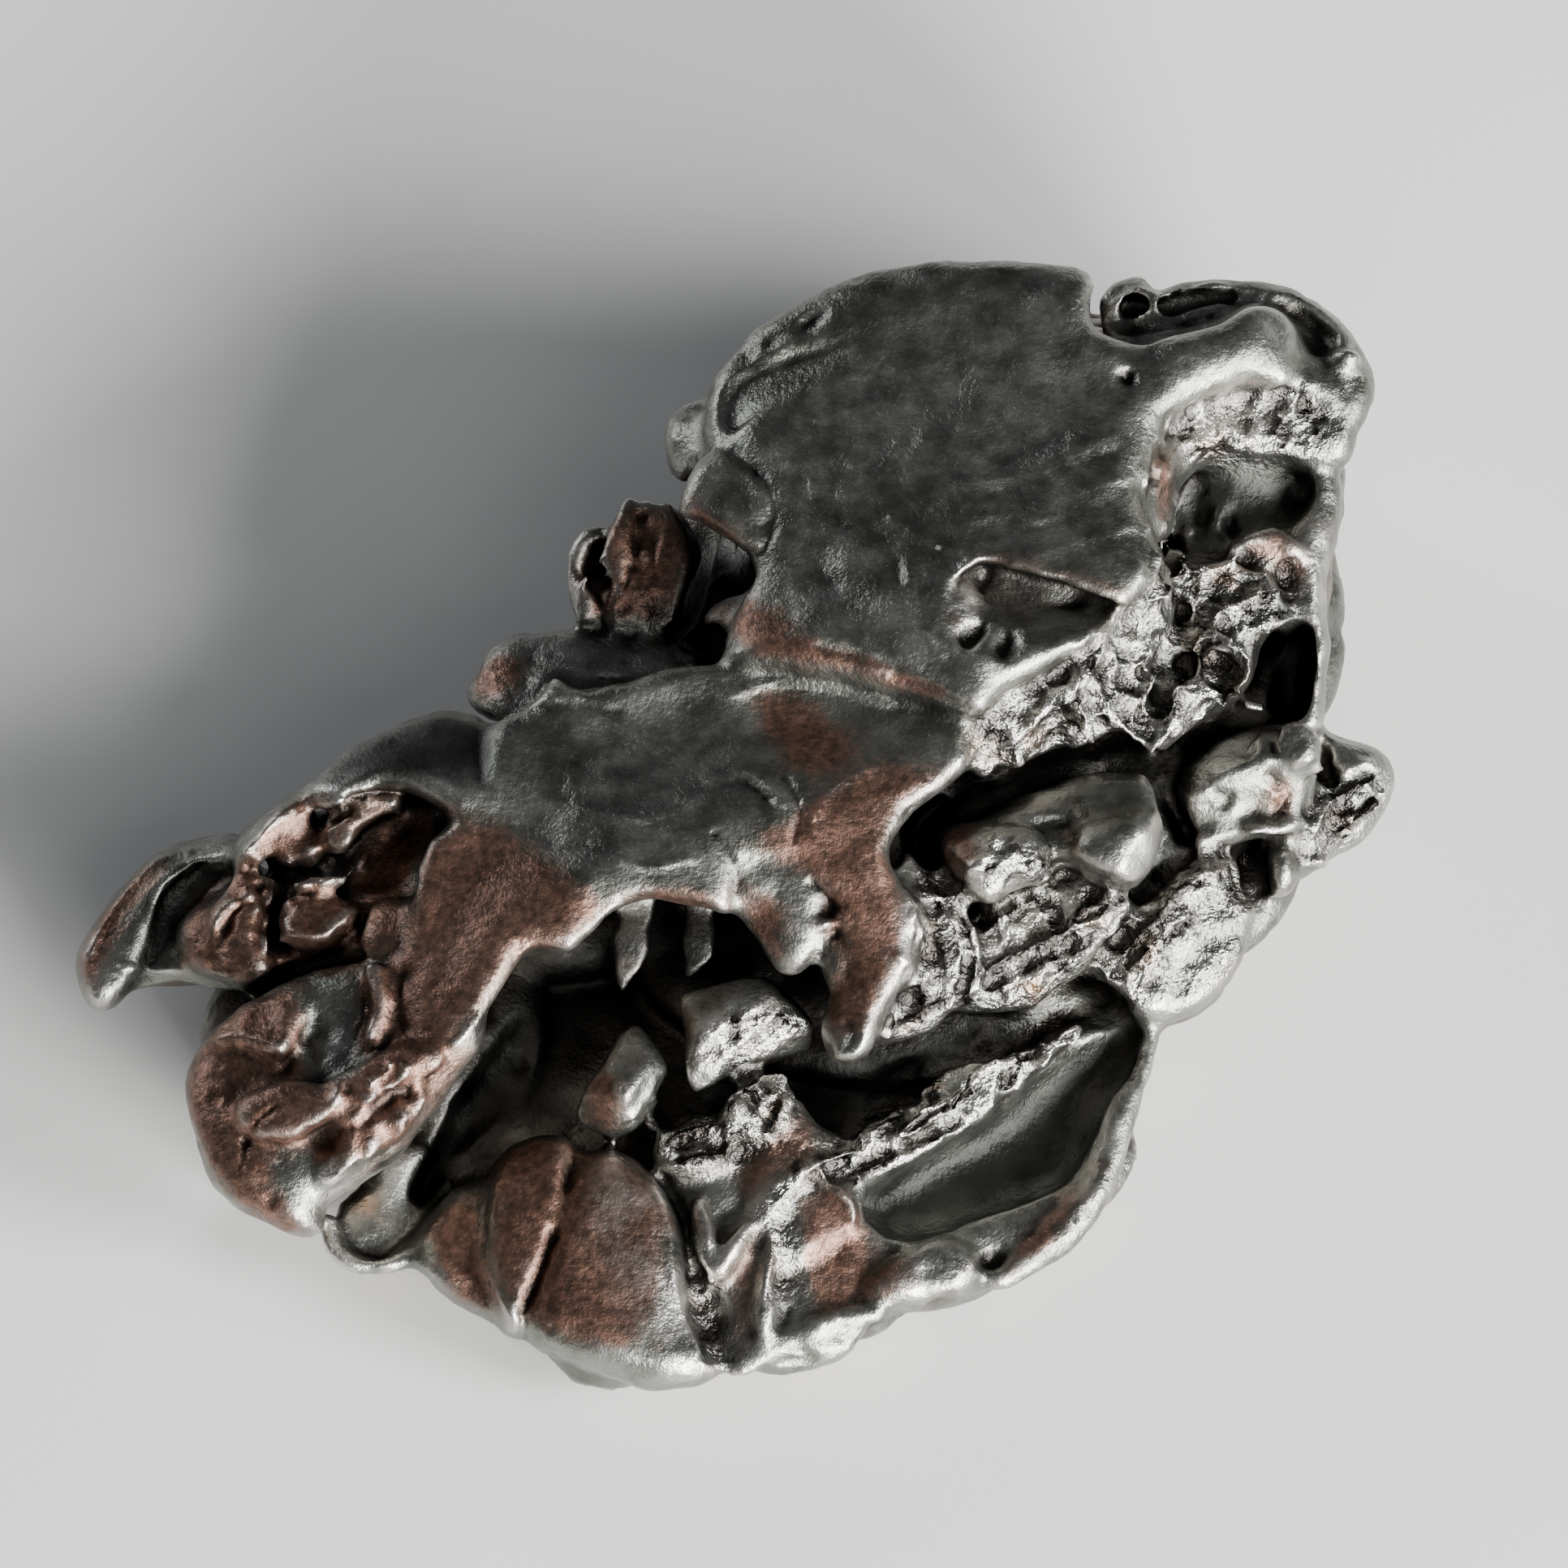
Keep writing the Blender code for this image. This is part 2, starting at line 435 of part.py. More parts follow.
def bottom_boss(heap):
    """The big smooth boss at the front with the folds on its left, and the blades on its right."""
    slab(heap, [
        (666, 1652, 2.8), (656, 1570, 3.4), (664, 1496, 4), (696, 1432, 4.4), (742, 1404, 4.6),
        (790, 1424, 4.4), (834, 1480, 4), (852, 1540, 3.6), (864, 1600, 3), (892, 1650, 2.6),
        (888, 1690, 2.4), (850, 1706, 2.2), (800, 1709, 2.2), (740, 1692, 2.4), (694, 1672, 2.6),
    ], 2.4, 2.6, 2.4)
    slab(heap, [
        (592, 1500, 4), (598, 1438, 4.4), (640, 1396, 4.6), (682, 1386, 4.8), (714, 1400, 4.8),
        (704, 1450, 4.4), (690, 1520, 4), (680, 1600, 3.2), (670, 1650, 2.8), (620, 1636, 3),
        (598, 1580, 3.4),
    ], 2.0, 2.6, 1.7)
    slab(heap, [
        (506, 1546, 3), (520, 1500, 3.4), (560, 1454, 3.8), (592, 1452, 4), (612, 1520, 3.6),
        (630, 1590, 3), (650, 1640, 2.6), (602, 1622, 2.6), (560, 1600, 2.6), (524, 1576, 2.8),
    ], 1.4, 2.2, 1.3)
    slab(heap, [
        (664, 1650, 1.8), (720, 1664, 1.8), (784, 1694, 1.6), (766, 1712, 1.4), (728, 1711, 1.4),
        (696, 1690, 1.6),
    ], 0.8, 1.1, 0.7)
    slab(heap, [
        (840, 1440, 4), (880, 1440, 4.2), (912, 1470, 4), (928, 1510, 3.8), (912, 1570, 3.4),
        (902, 1620, 3), (900, 1676, 2.6), (880, 1690, 2.4), (850, 1600, 3), (836, 1520, 3.6),
    ], 1.2, 2.4, 1.0)
    slab(heap, [
        (930, 1500, 4), (962, 1480, 4.2), (988, 1470, 4.2), (1044, 1446, 4.2), (1058, 1490, 3.8),
        (1076, 1540, 3.2), (1076, 1612, 2.6), (1050, 1664, 2.2), (1000, 1685, 2), (930, 1690, 2),
        (904, 1680, 2.2), (912, 1620, 2.8), (926, 1560, 3.4),
    ], 1.1, 2.2, 1.0)
    ridge(heap, [(960, 1500, 4.8, 0.5), (966, 1560, 4.4, 0.5), (984, 1620, 3.6, 0.6), (960, 1650, 3, 0.5)])
    ridge(heap, [(1018, 1452, 5, 0.4), (1044, 1476, 4.8, 0.4), (1052, 1500, 4.4, 0.3)])


def shell(heap):
    """The dark hollow shell at the front right: its floor, its thick lip and the beam across it."""
    slab(heap, [
        (1330, 1236, 3), (1428, 1246, 2.8), (1428, 1290, 2.6), (1410, 1330, 2.4), (1386, 1372, 2.4),
        (1376, 1422, 2.2), (1356, 1470, 2.2), (1320, 1522, 2), (1280, 1556, 2), (1230, 1586, 1.8),
        (1176, 1604, 1.8), (1120, 1613, 1.8), (1060, 1620, 2), (1040, 1540, 2.6), (1050, 1440, 3.2),
        (1180, 1350, 3.2),
    ], 1.6, 1.9, 1.3)
    slab(heap, [
        (922, 1500, 4), (938, 1468, 4.2), (974, 1430, 4.4), (1018, 1406, 4.6), (1060, 1374, 4.8),
        (1110, 1346, 5), (1160, 1312, 5.2), (1220, 1280, 5.4), (1286, 1246, 5.6), (1330, 1246, 5.6),
        (1344, 1262, 5.4), (1292, 1300, 5.2), (1232, 1346, 5), (1190, 1380, 4.8), (1120, 1420, 4.6),
        (1060, 1452, 4.4), (1000, 1450, 4.2), (952, 1492, 4),
    ], 0.9, 4, 0.8)
    slab(heap, [
        (1058, 1572, 3), (1098, 1542, 3.4), (1150, 1512, 3.6), (1192, 1520, 3.4), (1214, 1550, 3),
        (1192, 1592, 2.6), (1120, 1609, 2.4), (1074, 1609, 2.6),
    ], 1.7, 2, 1.2)
    ridge(heap, [(1412, 1270, 3.6, 0.7), (1404, 1320, 3.6, 0.7), (1378, 1370, 3.6, 0.8), (1364, 1430, 3.4, 0.8),
                 (1336, 1480, 3.2, 0.9), (1290, 1530, 3, 0.9), (1230, 1568, 2.8, 0.8)])


def core(heap):
    """The solid metal that the forms grow from."""
    slab(heap, [
        (900, 560, 7), (960, 460, 7), (1060, 400, 7), (1240, 370, 7), (1400, 400, 7), (1560, 420, 6.6),
        (1630, 500, 6.4), (1600, 620, 6), (1600, 760, 5.6), (1600, 900, 5), (1560, 1020, 4.6),
        (1460, 1120, 4.6), (1340, 1190, 4.6), (1200, 1210, 5), (1060, 1200, 5.4), (960, 1100, 6.4),
        (860, 1060, 6.4), (740, 1080, 6.4), (620, 1180, 6), (500, 1300, 5.4), (400, 1400, 4.4),
        (310, 1400, 4.2), (300, 1300, 4.6), (400, 1180, 5.4), (480, 1040, 6), (560, 930, 6.4),
        (700, 860, 6.8), (840, 780, 7), (880, 680, 7),
    ], 1.5, 5, 3)


def table_side(heap):
    """The rough back that the lump lies on."""
    foot(heap, (1200, 520, 3.0), (11, 6.5, 2.6), 10)
    foot(heap, (1440, 760, 3.0), (8, 10, 2.5), 0)
    foot(heap, (1150, 800, 3.0), (12, 9, 2.4), 0)
    foot(heap, (1420, 1060, 2.8), (7, 6, 2.2), 20)
    foot(heap, (1100, 1140, 2.6), (12, 8, 2.0), 0)
    foot(heap, (760, 1040, 3.0), (11, 6, 2.4), 20)
    foot(heap, (460, 1270, 2.6), (8, 7, 2.0), 30)
    foot(heap, (700, 1330, 1.35), (10, 7, 1.0), 30)
    foot(heap, (1060, 1400, 1.35), (12, 6.5, 1.0), 15)
    foot(heap, (790, 1560, 1.8), (7, 4.5, 1.5), 0)
    foot(heap, (1200, 1470, 1.4), (8, 4, 1.1), 28)
    foot(heap, (1000, 1590, 1.3), (6, 3, 1.2), 20)
    foot(heap, (1200, 560, 1.3), (5, 3.5, 1.3), 10)
    foot(heap, (1490, 700, 1.3), (3.5, 4.5, 1.3), 0)
    foot(heap, (1470, 1060, 1.2), (4, 3.5, 1.2), 0)
    foot(heap, (720, 1010, 1.3), (4.5, 3.5, 1.3), 20)
    foot(heap, (400, 1330, 1.4), (4.5, 3.5, 1.4), 30)
    foot(heap, (790, 1560, 0.9), (4.5, 3, 0.9), 0)
    foot(heap, (1180, 1490, 0.9), (5, 2.6, 0.9), 25)


# What is hollow. The same pixels and storeys.


def top_hollows(heap):
    """The pits, steps and grooves of the shield and the horn."""
    hollow(heap, [
        (1362, 396, 11.4), (1356, 366, 11.4), (1378, 352, 11.4), (1420, 362, 11.4), (1480, 350, 11.4),
        (1560, 352, 11.2), (1612, 372, 11), (1648, 404, 10.8), (1620, 420, 10.8), (1596, 390, 11),
        (1570, 366, 11.2), (1540, 364, 11.2), (1500, 386, 11.4), (1440, 400, 11.4), (1400, 406, 11.4),
    ], 0.7, 0.5)
    hollow(heap, [
        (1454, 600, 9.6), (1466, 574, 9.8), (1498, 555, 10), (1560, 558, 9.8), (1616, 562, 9.6),
        (1642, 590, 9.2), (1640, 622, 9), (1612, 650, 9), (1566, 652, 9), (1532, 668, 9),
        (1506, 690, 9), (1466, 686, 9.2), (1450, 650, 9.4),
    ], 4.2, 1.2)
    hollow(heap, [
        (1186, 752, 12.8), (1196, 700, 13), (1212, 680, 13), (1262, 692, 13), (1340, 716, 13),
        (1402, 742, 12.8), (1384, 772, 12.6), (1338, 796, 12.6), (1284, 828, 12.6), (1236, 832, 12.6),
        (1204, 806, 12.6),
    ], 1.4, 1.3)
    hollow(heap, [(1190, 730, 12.6), (1200, 694, 12.8), (1220, 700, 12.6), (1226, 744, 12.2),
                  (1206, 790, 12), (1184, 776, 12.2)], 1.3, 0.7)
    hollow(heap, [(1282, 738, 12.2), (1310, 728, 12.4), (1344, 738, 12.4), (1322, 758, 12), (1292, 756, 12)],
           1.2, 0.5)
    hollow(heap, [(1362, 458, 14), (1392, 438, 14), (1404, 456, 14), (1384, 478, 14)], 1.0, 0.4)
    hollow(heap, [
        (884, 505, 12.4), (898, 462, 12.6), (950, 432, 13), (1020, 412, 13.4), (1090, 388, 13.8),
        (1110, 396, 13.8), (1050, 428, 13.4), (970, 460, 13), (920, 496, 12.6), (896, 530, 12.4),
    ], 0.5, 0.7)
    hollow(heap, [
        (1042, 386, 13.8), (1080, 358, 14), (1130, 338, 14.2), (1180, 330, 14.4), (1160, 352, 14.4),
        (1110, 376, 14.2), (1066, 400, 14),
    ], 0.5, 0.6)
    hollow(heap, [(980, 396, 13), (998, 374, 13.2), (1022, 372, 13.2), (1016, 390, 13.2)], 0.9, 0.4)
    hollow(heap, [(936, 424, 12.8), (950, 402, 12.8), (974, 398, 13), (966, 414, 13)], 0.9, 0.4)


def gap_hollows(heap):
    """The black gaps between the plates and the knobs on the right."""
    hollow(heap, [
        (1552, 840, 8), (1562, 792, 8.4), (1600, 754, 9), (1622, 760, 8.8), (1628, 800, 8.4),
        (1622, 850, 7.8), (1612, 884, 7.4), (1576, 890, 7.2), (1554, 872, 7.4),
    ], 4.2, 0.9)
    knob_gap = [(1150, 990, 9, 0.55), (1200, 970, 9, 0.6), (1270, 945, 9, 0.6), (1340, 924, 9, 0.65),
                (1400, 918, 8.6, 0.8), (1440, 940, 8, 0.9), (1490, 900, 7.8, 0.7), (1560, 872, 7.6, 0.5)]
    ridge(heap, knob_gap, 4)
    ridge(heap, [(1160, 984, 8.4, 0.6), (1130, 1010, 8, 0.8), (1134, 1044, 8, 0.7), (1166, 1088, 7.6, 0.5),
                 (1204, 1130, 7, 0.5), (1210, 1156, 6.6, 0.4)], 4)
    ridge(heap, [(1436, 950, 7.6, 0.6), (1448, 990, 7, 0.5), (1462, 1030, 6.6, 0.5), (1440, 1066, 6.4, 0.3),
                 (1412, 1104, 6.2, 0.3)], 4)
    ridge(heap, [(1454, 716, 9, 0.4), (1462, 770, 9, 0.5), (1430, 810, 9, 0.4), (1416, 870, 9, 0.4)], 4)
    ridge(heap, [(1540, 1046, 5.8, 0.4), (1540, 1080, 5.4, 0.4), (1560, 1104, 4.8, 0.3)], 3)
    ridge(heap, [(1356, 1184, 5.6, 0.4), (1384, 1154, 6, 0.3), (1400, 1118, 6.4, 0.3)], 3)
    ridge(heap, [(1634, 890, 7, 0.35), (1628, 930, 6.6, 0.3), (1634, 980, 6.2, 0.3), (1612, 1020, 5.8, 0.3)], 3)
    hollow(heap, [
        (1302, 1222, 5.2), (1332, 1204, 5.2), (1374, 1212, 5), (1398, 1244, 4.6), (1386, 1264, 4.4),
        (1350, 1268, 4.4), (1326, 1246, 4.8),
    ], 2.0, 0.8)
    hollow(heap, [
        (972, 1316, 5), (1000, 1308, 5.4), (1048, 1314, 5.6), (1086, 1292, 5.8), (1150, 1276, 5.8),
        (1204, 1254, 5.8), (1256, 1240, 5.8), (1290, 1244, 5.8), (1252, 1262, 5.4), (1200, 1288, 5.2),
        (1154, 1310, 5), (1122, 1342, 4.6), (1076, 1366, 4.4), (1050, 1396, 4.2), (1014, 1396, 4.2),
        (986, 1352, 4.6),
    ], 3.6, 0.9)
    hollow(heap, [
        (1064, 1456, 3.8), (1120, 1426, 4), (1190, 1386, 4.2), (1240, 1350, 4.4), (1294, 1306, 4.6),
        (1344, 1272, 4.6), (1384, 1250, 4.4), (1408, 1262, 4), (1396, 1308, 3.6), (1366, 1354, 3.4),
        (1346, 1404, 3.2), (1316, 1448, 3.2), (1288, 1466, 3.2), (1236, 1486, 3), (1190, 1500, 3),
        (1128, 1522, 3), (1082, 1512, 3.2), (1062, 1486, 3.4),
    ], 2.0, 1.5)
    hollow(heap, [(1204, 1528, 3.2), (1214, 1504, 3.4), (1240, 1500, 3.4), (1268, 1530, 3), (1240, 1552, 2.8),
                  (1214, 1560, 2.8)], 1.0, 0.7)


def left_hollows(heap):
    """The big black hollow at the front, the hollow at the far side, and the grooves of the left."""
    hollow(heap, [
        (560, 1336, 5), (590, 1292, 5.4), (610, 1252, 5.8), (652, 1222, 6), (700, 1198, 6.4),
        (744, 1186, 6.6), (800, 1186, 6.6), (832, 1200, 6.4), (834, 1260, 5.8), (838, 1330, 5),
        (826, 1360, 4.8), (790, 1400, 4.4), (740, 1396, 4.4), (690, 1384, 4.6), (636, 1390, 4.4),
        (598, 1412, 4.2), (560, 1444, 4), (520, 1484, 3.6), (500, 1462, 4), (528, 1404, 4.4),
        (548, 1362, 4.8),
    ], 3.8, 1.2)
    hollow(heap, [
        (852, 692, 8.6), (866, 662, 9), (884, 672, 9.4), (920, 690, 9.8), (944, 686, 10),
        (932, 722, 9.4), (908, 744, 9), (908, 790, 8.6), (884, 808, 8.4), (846, 806, 8.2),
        (826, 784, 8.2), (842, 746, 8.4),
    ], 3.2, 0.9)
    ridge(heap, [(776, 606, 10.6, 0.32), (772, 656, 10.4, 0.34), (738, 706, 10, 0.34), (712, 752, 9.4, 0.3)], 1.5)
    ridge(heap, [(804, 612, 10.8, 0.3), (798, 670, 10.6, 0.34), (790, 730, 10, 0.3)], 1.5)
    ridge(heap, [(832, 632, 10.6, 0.3), (830, 690, 10.2, 0.34), (812, 750, 9.6, 0.3)], 1.5)
    hollow(heap, [
        (438, 1046, 8.4), (470, 1010, 8.8), (504, 988, 9.2), (534, 1004, 9.6), (528, 1040, 9.4),
        (508, 1070, 9), (500, 1096, 8.8), (452, 1100, 8.4), (420, 1096, 8.2),
    ], 1.4, 0.7)
    ridge(heap, [(400, 1000, 9.4, 0.3), (398, 1044, 9, 0.35), (420, 1062, 8.8, 0.35)], 2)
    ridge(heap, [(320, 1074, 8.4, 0.3), (370, 1074, 8.6, 0.35), (410, 1066, 8.6, 0.3)], 2)
    ridge(heap, [(350, 1166, 7.6, 0.3), (346, 1100, 8, 0.4), (400, 1098, 8.4, 0.3), (450, 1100, 8.6, 0.3),
                 (446, 1150, 8.2, 0.3)], 2)
    ridge(heap, [(296, 1234, 6.4, 0.4), (340, 1196, 7, 0.5), (400, 1176, 7.8, 0.4), (450, 1166, 8.4, 0.35),
                 (490, 1176, 9, 0.3)], 3)
    ridge(heap, [(292, 1064, 7, 0.35), (242, 1080, 6.6, 0.45), (206, 1116, 6.2, 0.5), (200, 1160, 5.8, 0.4),
                 (166, 1186, 5.4, 0.4)], 2.5)
    knob(heap, (412, 1230, 10.4), 46, 40, 1.3, 30)
    knob(heap, (300, 1432, 8), 16, 46, 0.9, 20)
    ridge(heap, [(286, 1292, 8.6, 0.25), (330, 1304, 8.8, 0.35), (376, 1312, 9, 0.3)], 2)
    ridge(heap, [(600, 1440, 6.4, 0.3), (596, 1510, 5.8, 0.35), (612, 1580, 5, 0.3), (640, 1630, 4.2, 0.3)], 2)
    ridge(heap, [(704, 1400, 7, 0.3), (684, 1450, 6.8, 0.35), (666, 1530, 6.2, 0.35), (660, 1620, 4.8, 0.3)], 2)
    ridge(heap, [(846, 1470, 5.6, 0.4), (860, 1530, 5, 0.35), (872, 1590, 4.4, 0.35), (896, 1650, 3.6, 0.3)], 3)
    ridge(heap, [(936, 1504, 5, 0.4), (928, 1560, 4.4, 0.45), (918, 1620, 3.8, 0.4), (906, 1680, 3, 0.35)], 3)
    ridge(heap, [(1066, 1500, 4, 0.35), (1064, 1560, 3.6, 0.4), (1062, 1612, 3, 0.35)], 3)


SOLID_FORMS = (shield, lower_plate, far_side, left_side, left_lobe, right_wall, right_knobs, broken_face,
               bottom_boss, shell, core, table_side)
HOLLOW_FORMS = (top_hollows, gap_hollows, left_hollows)
ISLAND_FORMS = (front_knobs,)


def object_of(name, heap):
    """A new object in the scene from a heap of forms."""
    mesh = bpy.data.meshes.new(name)
    mesh.from_pydata(np.concatenate(heap.corners).tolist(), [], heap.faces)
    made = bpy.data.objects.new(name, mesh)
    bpy.context.scene.collection.objects.link(made)
    return made


def applied(made):
    """The object with its modifiers applied."""
    bpy.context.view_layer.update()
    graph = bpy.context.evaluated_depsgraph_get()
    mesh = bpy.data.meshes.new_from_object(made.evaluated_get(graph))
    made.modifiers.clear()
    old = made.data
    made.data = mesh
    bpy.data.meshes.remove(old)
    return made


def add_remesh(made):
    """One even closed skin around everything in the object."""
    skin = made.modifiers.new("skin", "REMESH")
    skin.mode = "VOXEL"
    skin.voxel_size = VOXEL


def fused(name, forms):
    """One object around all these forms."""
    heap = Heap()
    for form in forms:
        form(heap)
    made = object_of(name, heap)
    add_remesh(made)
    return applied(made)


def joined(body, other, operation):
    """The body after a Boolean with the other object, which is used up."""
    step = body.modifiers.new(operation.lower(), "BOOLEAN")
    step.operation = operation
    step.solver = "MANIFOLD"
    step.object = other
    applied(body)
    bpy.data.objects.remove(other)
    return body


def keep_largest(made):
    """Deletes every shell but the largest."""
    shape = bmesh.new()
    shape.from_mesh(made.data)
    left = set(shape.verts)
    shells = []
    while left:
        found, edge = set(), [left.pop()]
        while edge:
            vert = edge.pop()
            found.add(vert)
            for link in vert.link_edges:
                other = link.other_vert(vert)
                if other in left:
                    left.discard(other)
                    edge.append(other)
        shells.append(found)
    shells.sort(key=len)
    bmesh.ops.delete(shape, geom=[v for s in shells[:-1] for v in s], context="VERTS")
    shape.to_mesh(made.data)
    shape.free()


def centre(made):
    """Moves the object so that the origin lies under the middle of its box."""
    places = np.array([v.co for v in made.data.vertices])
    places[:, :2] -= (places[:, :2].min(0) + places[:, :2].max(0)) / 2
    made.data.vertices.foreach_set("co", places.ravel())
    made.data.update()


def wear_flat(made, cut, near):
    """Lowers the object until it stands this deep in the table, and flattens all that is below or near it."""
    places = np.array([v.co for v in made.data.vertices])
    places[:, 2] -= places[:, 2].min() + cut
    places[:, 2] = np.where(places[:, 2] < near, 0, places[:, 2])
    made.data.vertices.foreach_set("co", places.ravel())
    made.data.update()


def metal():
    """Dark, weathered iron."""
    made = bpy.data.materials.new("iron")
    made.use_nodes = True
    shader = made.node_tree.nodes["Principled BSDF"]
    shader.inputs["Base Color"].default_value = IRON_COLOUR
    shader.inputs["Roughness"].default_value = IRON_ROUGHNESS
    shader.inputs["Metallic"].default_value = IRON_METALLIC
    return made


def main():
    for old in list(bpy.data.objects):
        bpy.data.objects.remove(old)
    body = fused("meteorite", SOLID_FORMS)
    body = joined(body, fused("hollows", HOLLOW_FORMS), "DIFFERENCE")
    body = joined(body, fused("islands", ISLAND_FORMS), "UNION")
    add_remesh(body)
    soften = body.modifiers.new("soften", "SMOOTH")
    soften.factor = SOFTEN_SHARE
    soften.iterations = SOFTEN_ROUNDS
    applied(body)
    keep_largest(body)
    wear_flat(body, TABLE_CUT, TABLE_NEAR)
    coarser = body.modifiers.new("coarser", "DECIMATE")
    coarser.ratio = TRIANGLES / (2 * len(body.data.polygons))
    coarser.use_collapse_triangulate = True
    applied(body)
    wear_flat(body, 0, TABLE_NEAR)
    centre(body)
    body.data.materials.append(metal())
    body.data.polygons.foreach_set("use_smooth", [True] * len(body.data.polygons))


if __name__ == "__main__":
    main()
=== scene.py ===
# %% [markdown]
# # Iron meteorite
# This is one torn, rounded lump of iron and nickel, a piece of a larger body that burst in flight. A smooth
# dark shield lies on top. Under its broken right edge there are knobs, jagged ridges and black hollows.
# The lesson builds the lump from outlines read in the photograph, sculpts the fine relief of the metal on
# it, and gives it a weathered iron finish.

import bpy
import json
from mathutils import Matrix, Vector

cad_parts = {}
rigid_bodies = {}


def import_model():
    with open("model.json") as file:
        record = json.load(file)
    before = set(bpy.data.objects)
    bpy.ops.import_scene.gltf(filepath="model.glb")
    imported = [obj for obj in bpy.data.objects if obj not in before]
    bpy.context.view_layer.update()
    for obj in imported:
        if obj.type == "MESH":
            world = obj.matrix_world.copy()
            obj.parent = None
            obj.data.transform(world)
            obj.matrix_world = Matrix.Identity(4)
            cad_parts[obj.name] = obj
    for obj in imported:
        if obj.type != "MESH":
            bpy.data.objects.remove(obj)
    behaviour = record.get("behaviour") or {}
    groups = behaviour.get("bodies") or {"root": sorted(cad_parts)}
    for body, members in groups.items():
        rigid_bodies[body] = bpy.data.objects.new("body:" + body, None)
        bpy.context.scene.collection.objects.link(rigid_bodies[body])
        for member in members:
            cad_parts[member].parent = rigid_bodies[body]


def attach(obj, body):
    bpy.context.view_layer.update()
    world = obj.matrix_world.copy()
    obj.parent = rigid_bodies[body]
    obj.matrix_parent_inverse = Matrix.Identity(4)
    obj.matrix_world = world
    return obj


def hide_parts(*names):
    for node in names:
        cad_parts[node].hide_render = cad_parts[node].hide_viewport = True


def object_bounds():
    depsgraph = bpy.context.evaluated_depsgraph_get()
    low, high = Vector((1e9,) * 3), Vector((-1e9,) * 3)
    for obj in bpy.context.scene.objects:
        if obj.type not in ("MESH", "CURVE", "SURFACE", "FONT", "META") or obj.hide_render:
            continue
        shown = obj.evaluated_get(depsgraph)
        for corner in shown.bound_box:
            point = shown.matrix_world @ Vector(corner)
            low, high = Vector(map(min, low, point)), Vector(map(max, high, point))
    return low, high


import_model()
solid_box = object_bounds()
print("the solid part's box:", solid_box)

# %% Modules
import json
import math
import time

import bmesh
import bpy
import numpy as np
from mathutils import Vector
from mathutils.bvhtree import BVHTree
from mathutils.geometry import delaunay_2d_cdt

started = time.time()


def tell(*words):
    """Prints what a step made, with the seconds since the start."""
    print(f"{time.time() - started:6.1f} s", *words)


# %% [markdown]
# The photograph looks down on the table at 60 degrees. A point of the metal is given by its pixels across and
# down in the photograph and by its height over the table in storeys of 1.25 mm. Those three numbers are
# enough to find its place in the world, so every form can be read straight from the picture.

# %% From the photograph to the table
LENGTH = 0.0580
LENGTH_SEEN = 1625
PHOTO = 1932
VIEW_CENTRE = PHOTO / 2
VIEW_TILT = math.radians(60)
MM = 0.001
PIXEL = LENGTH / LENGTH_SEEN
STOREY = 0.00125
AIM = np.array((0.00212, 0.00480, 0))
TOWARD = np.array((0, -math.cos(VIEW_TILT), math.sin(VIEW_TILT)))
ACROSS = np.array((1.0, 0, 0))
UPWARD = np.cross(TOWARD, ACROSS)


def place(points):
    """The world points that the photograph shows at these pixels, this many storeys above the table."""
    seen = np.array(points, float)
    height = seen[:, 2] * STOREY
    back = ((VIEW_CENTRE - seen[:, 1]) * PIXEL - height * math.cos(VIEW_TILT)) / math.sin(VIEW_TILT)
    return np.stack([(seen[:, 0] - VIEW_CENTRE) * PIXEL, back, height], axis=1) + AIM


# %% [markdown]
# ## Tools for the forms
# Torn metal has no plan, so its forms are kept simple: a *slab* is an outline that swells toward the viewer and
# away from it, a *chunk* is the tight skin around a few corners, a *ridge* is a row of balls along a smooth
# path, and a *knob* is an ellipsoid. They run into each other, and a voxel remesh fuses them into one skin,
# as melting fused the real ones.

# %% Paths and outlines
VOXEL = 0.0002
OUTLINE_STEP = 0.0004
FILL_STEP = 0.0004
CUT_OUT = 9.0


def smooth_path(knots, step, closed):
    """A Catmull-Rom curve through rows of numbers; the first three are a place."""
    if closed:
        knots = np.concatenate([knots[-1:], knots, knots[:2]])
    else:
        knots = np.concatenate([knots[:1], knots, knots[-1:]])
    made = []
    for p0, p1, p2, p3 in zip(knots, knots[1:], knots[2:], knots[3:]):
        count = max(1, round(float(np.linalg.norm((p2 - p1)[:3])) / step))
        t = (np.arange(count) / count)[:, None]
        made.append(0.5 * (2 * p1 + (p2 - p0) * t + (2 * p0 - 5 * p1 + 4 * p2 - p3) * t ** 2
                           + (3 * p1 - p0 - 3 * p2 + p3) * t ** 3))
    if not closed:
        made.append(knots[-1:])
    return np.concatenate(made)


def far_from(points, loop, closed=True):
    """How far each flat point lies from a path."""
    start, end = loop, np.roll(loop, -1, axis=0)
    if not closed:
        start, end = loop[:-1], loop[1:]
    line = end - start
    share = ((points[:, None] - start) * line).sum(2) / np.maximum((line ** 2).sum(1), 1e-18)
    nearest = start + np.clip(share, 0, 1)[..., None] * line
    return np.sqrt(((points[:, None] - nearest) ** 2).sum(2).min(1))


def inside(points, loop):
    """Which flat points lie inside a closed loop."""
    x, y = points[:, 0][:, None], points[:, 1][:, None]
    x0, y0 = loop[:, 0], loop[:, 1]
    x1, y1 = np.roll(x0, -1), np.roll(y0, -1)
    crosses = (y0 > y) != (y1 > y)
    reach = (x1 - x0) * (y - y0) / np.where(y1 == y0, 1e-12, y1 - y0) + x0
    return (crosses & (x < reach)).sum(1) % 2 == 1


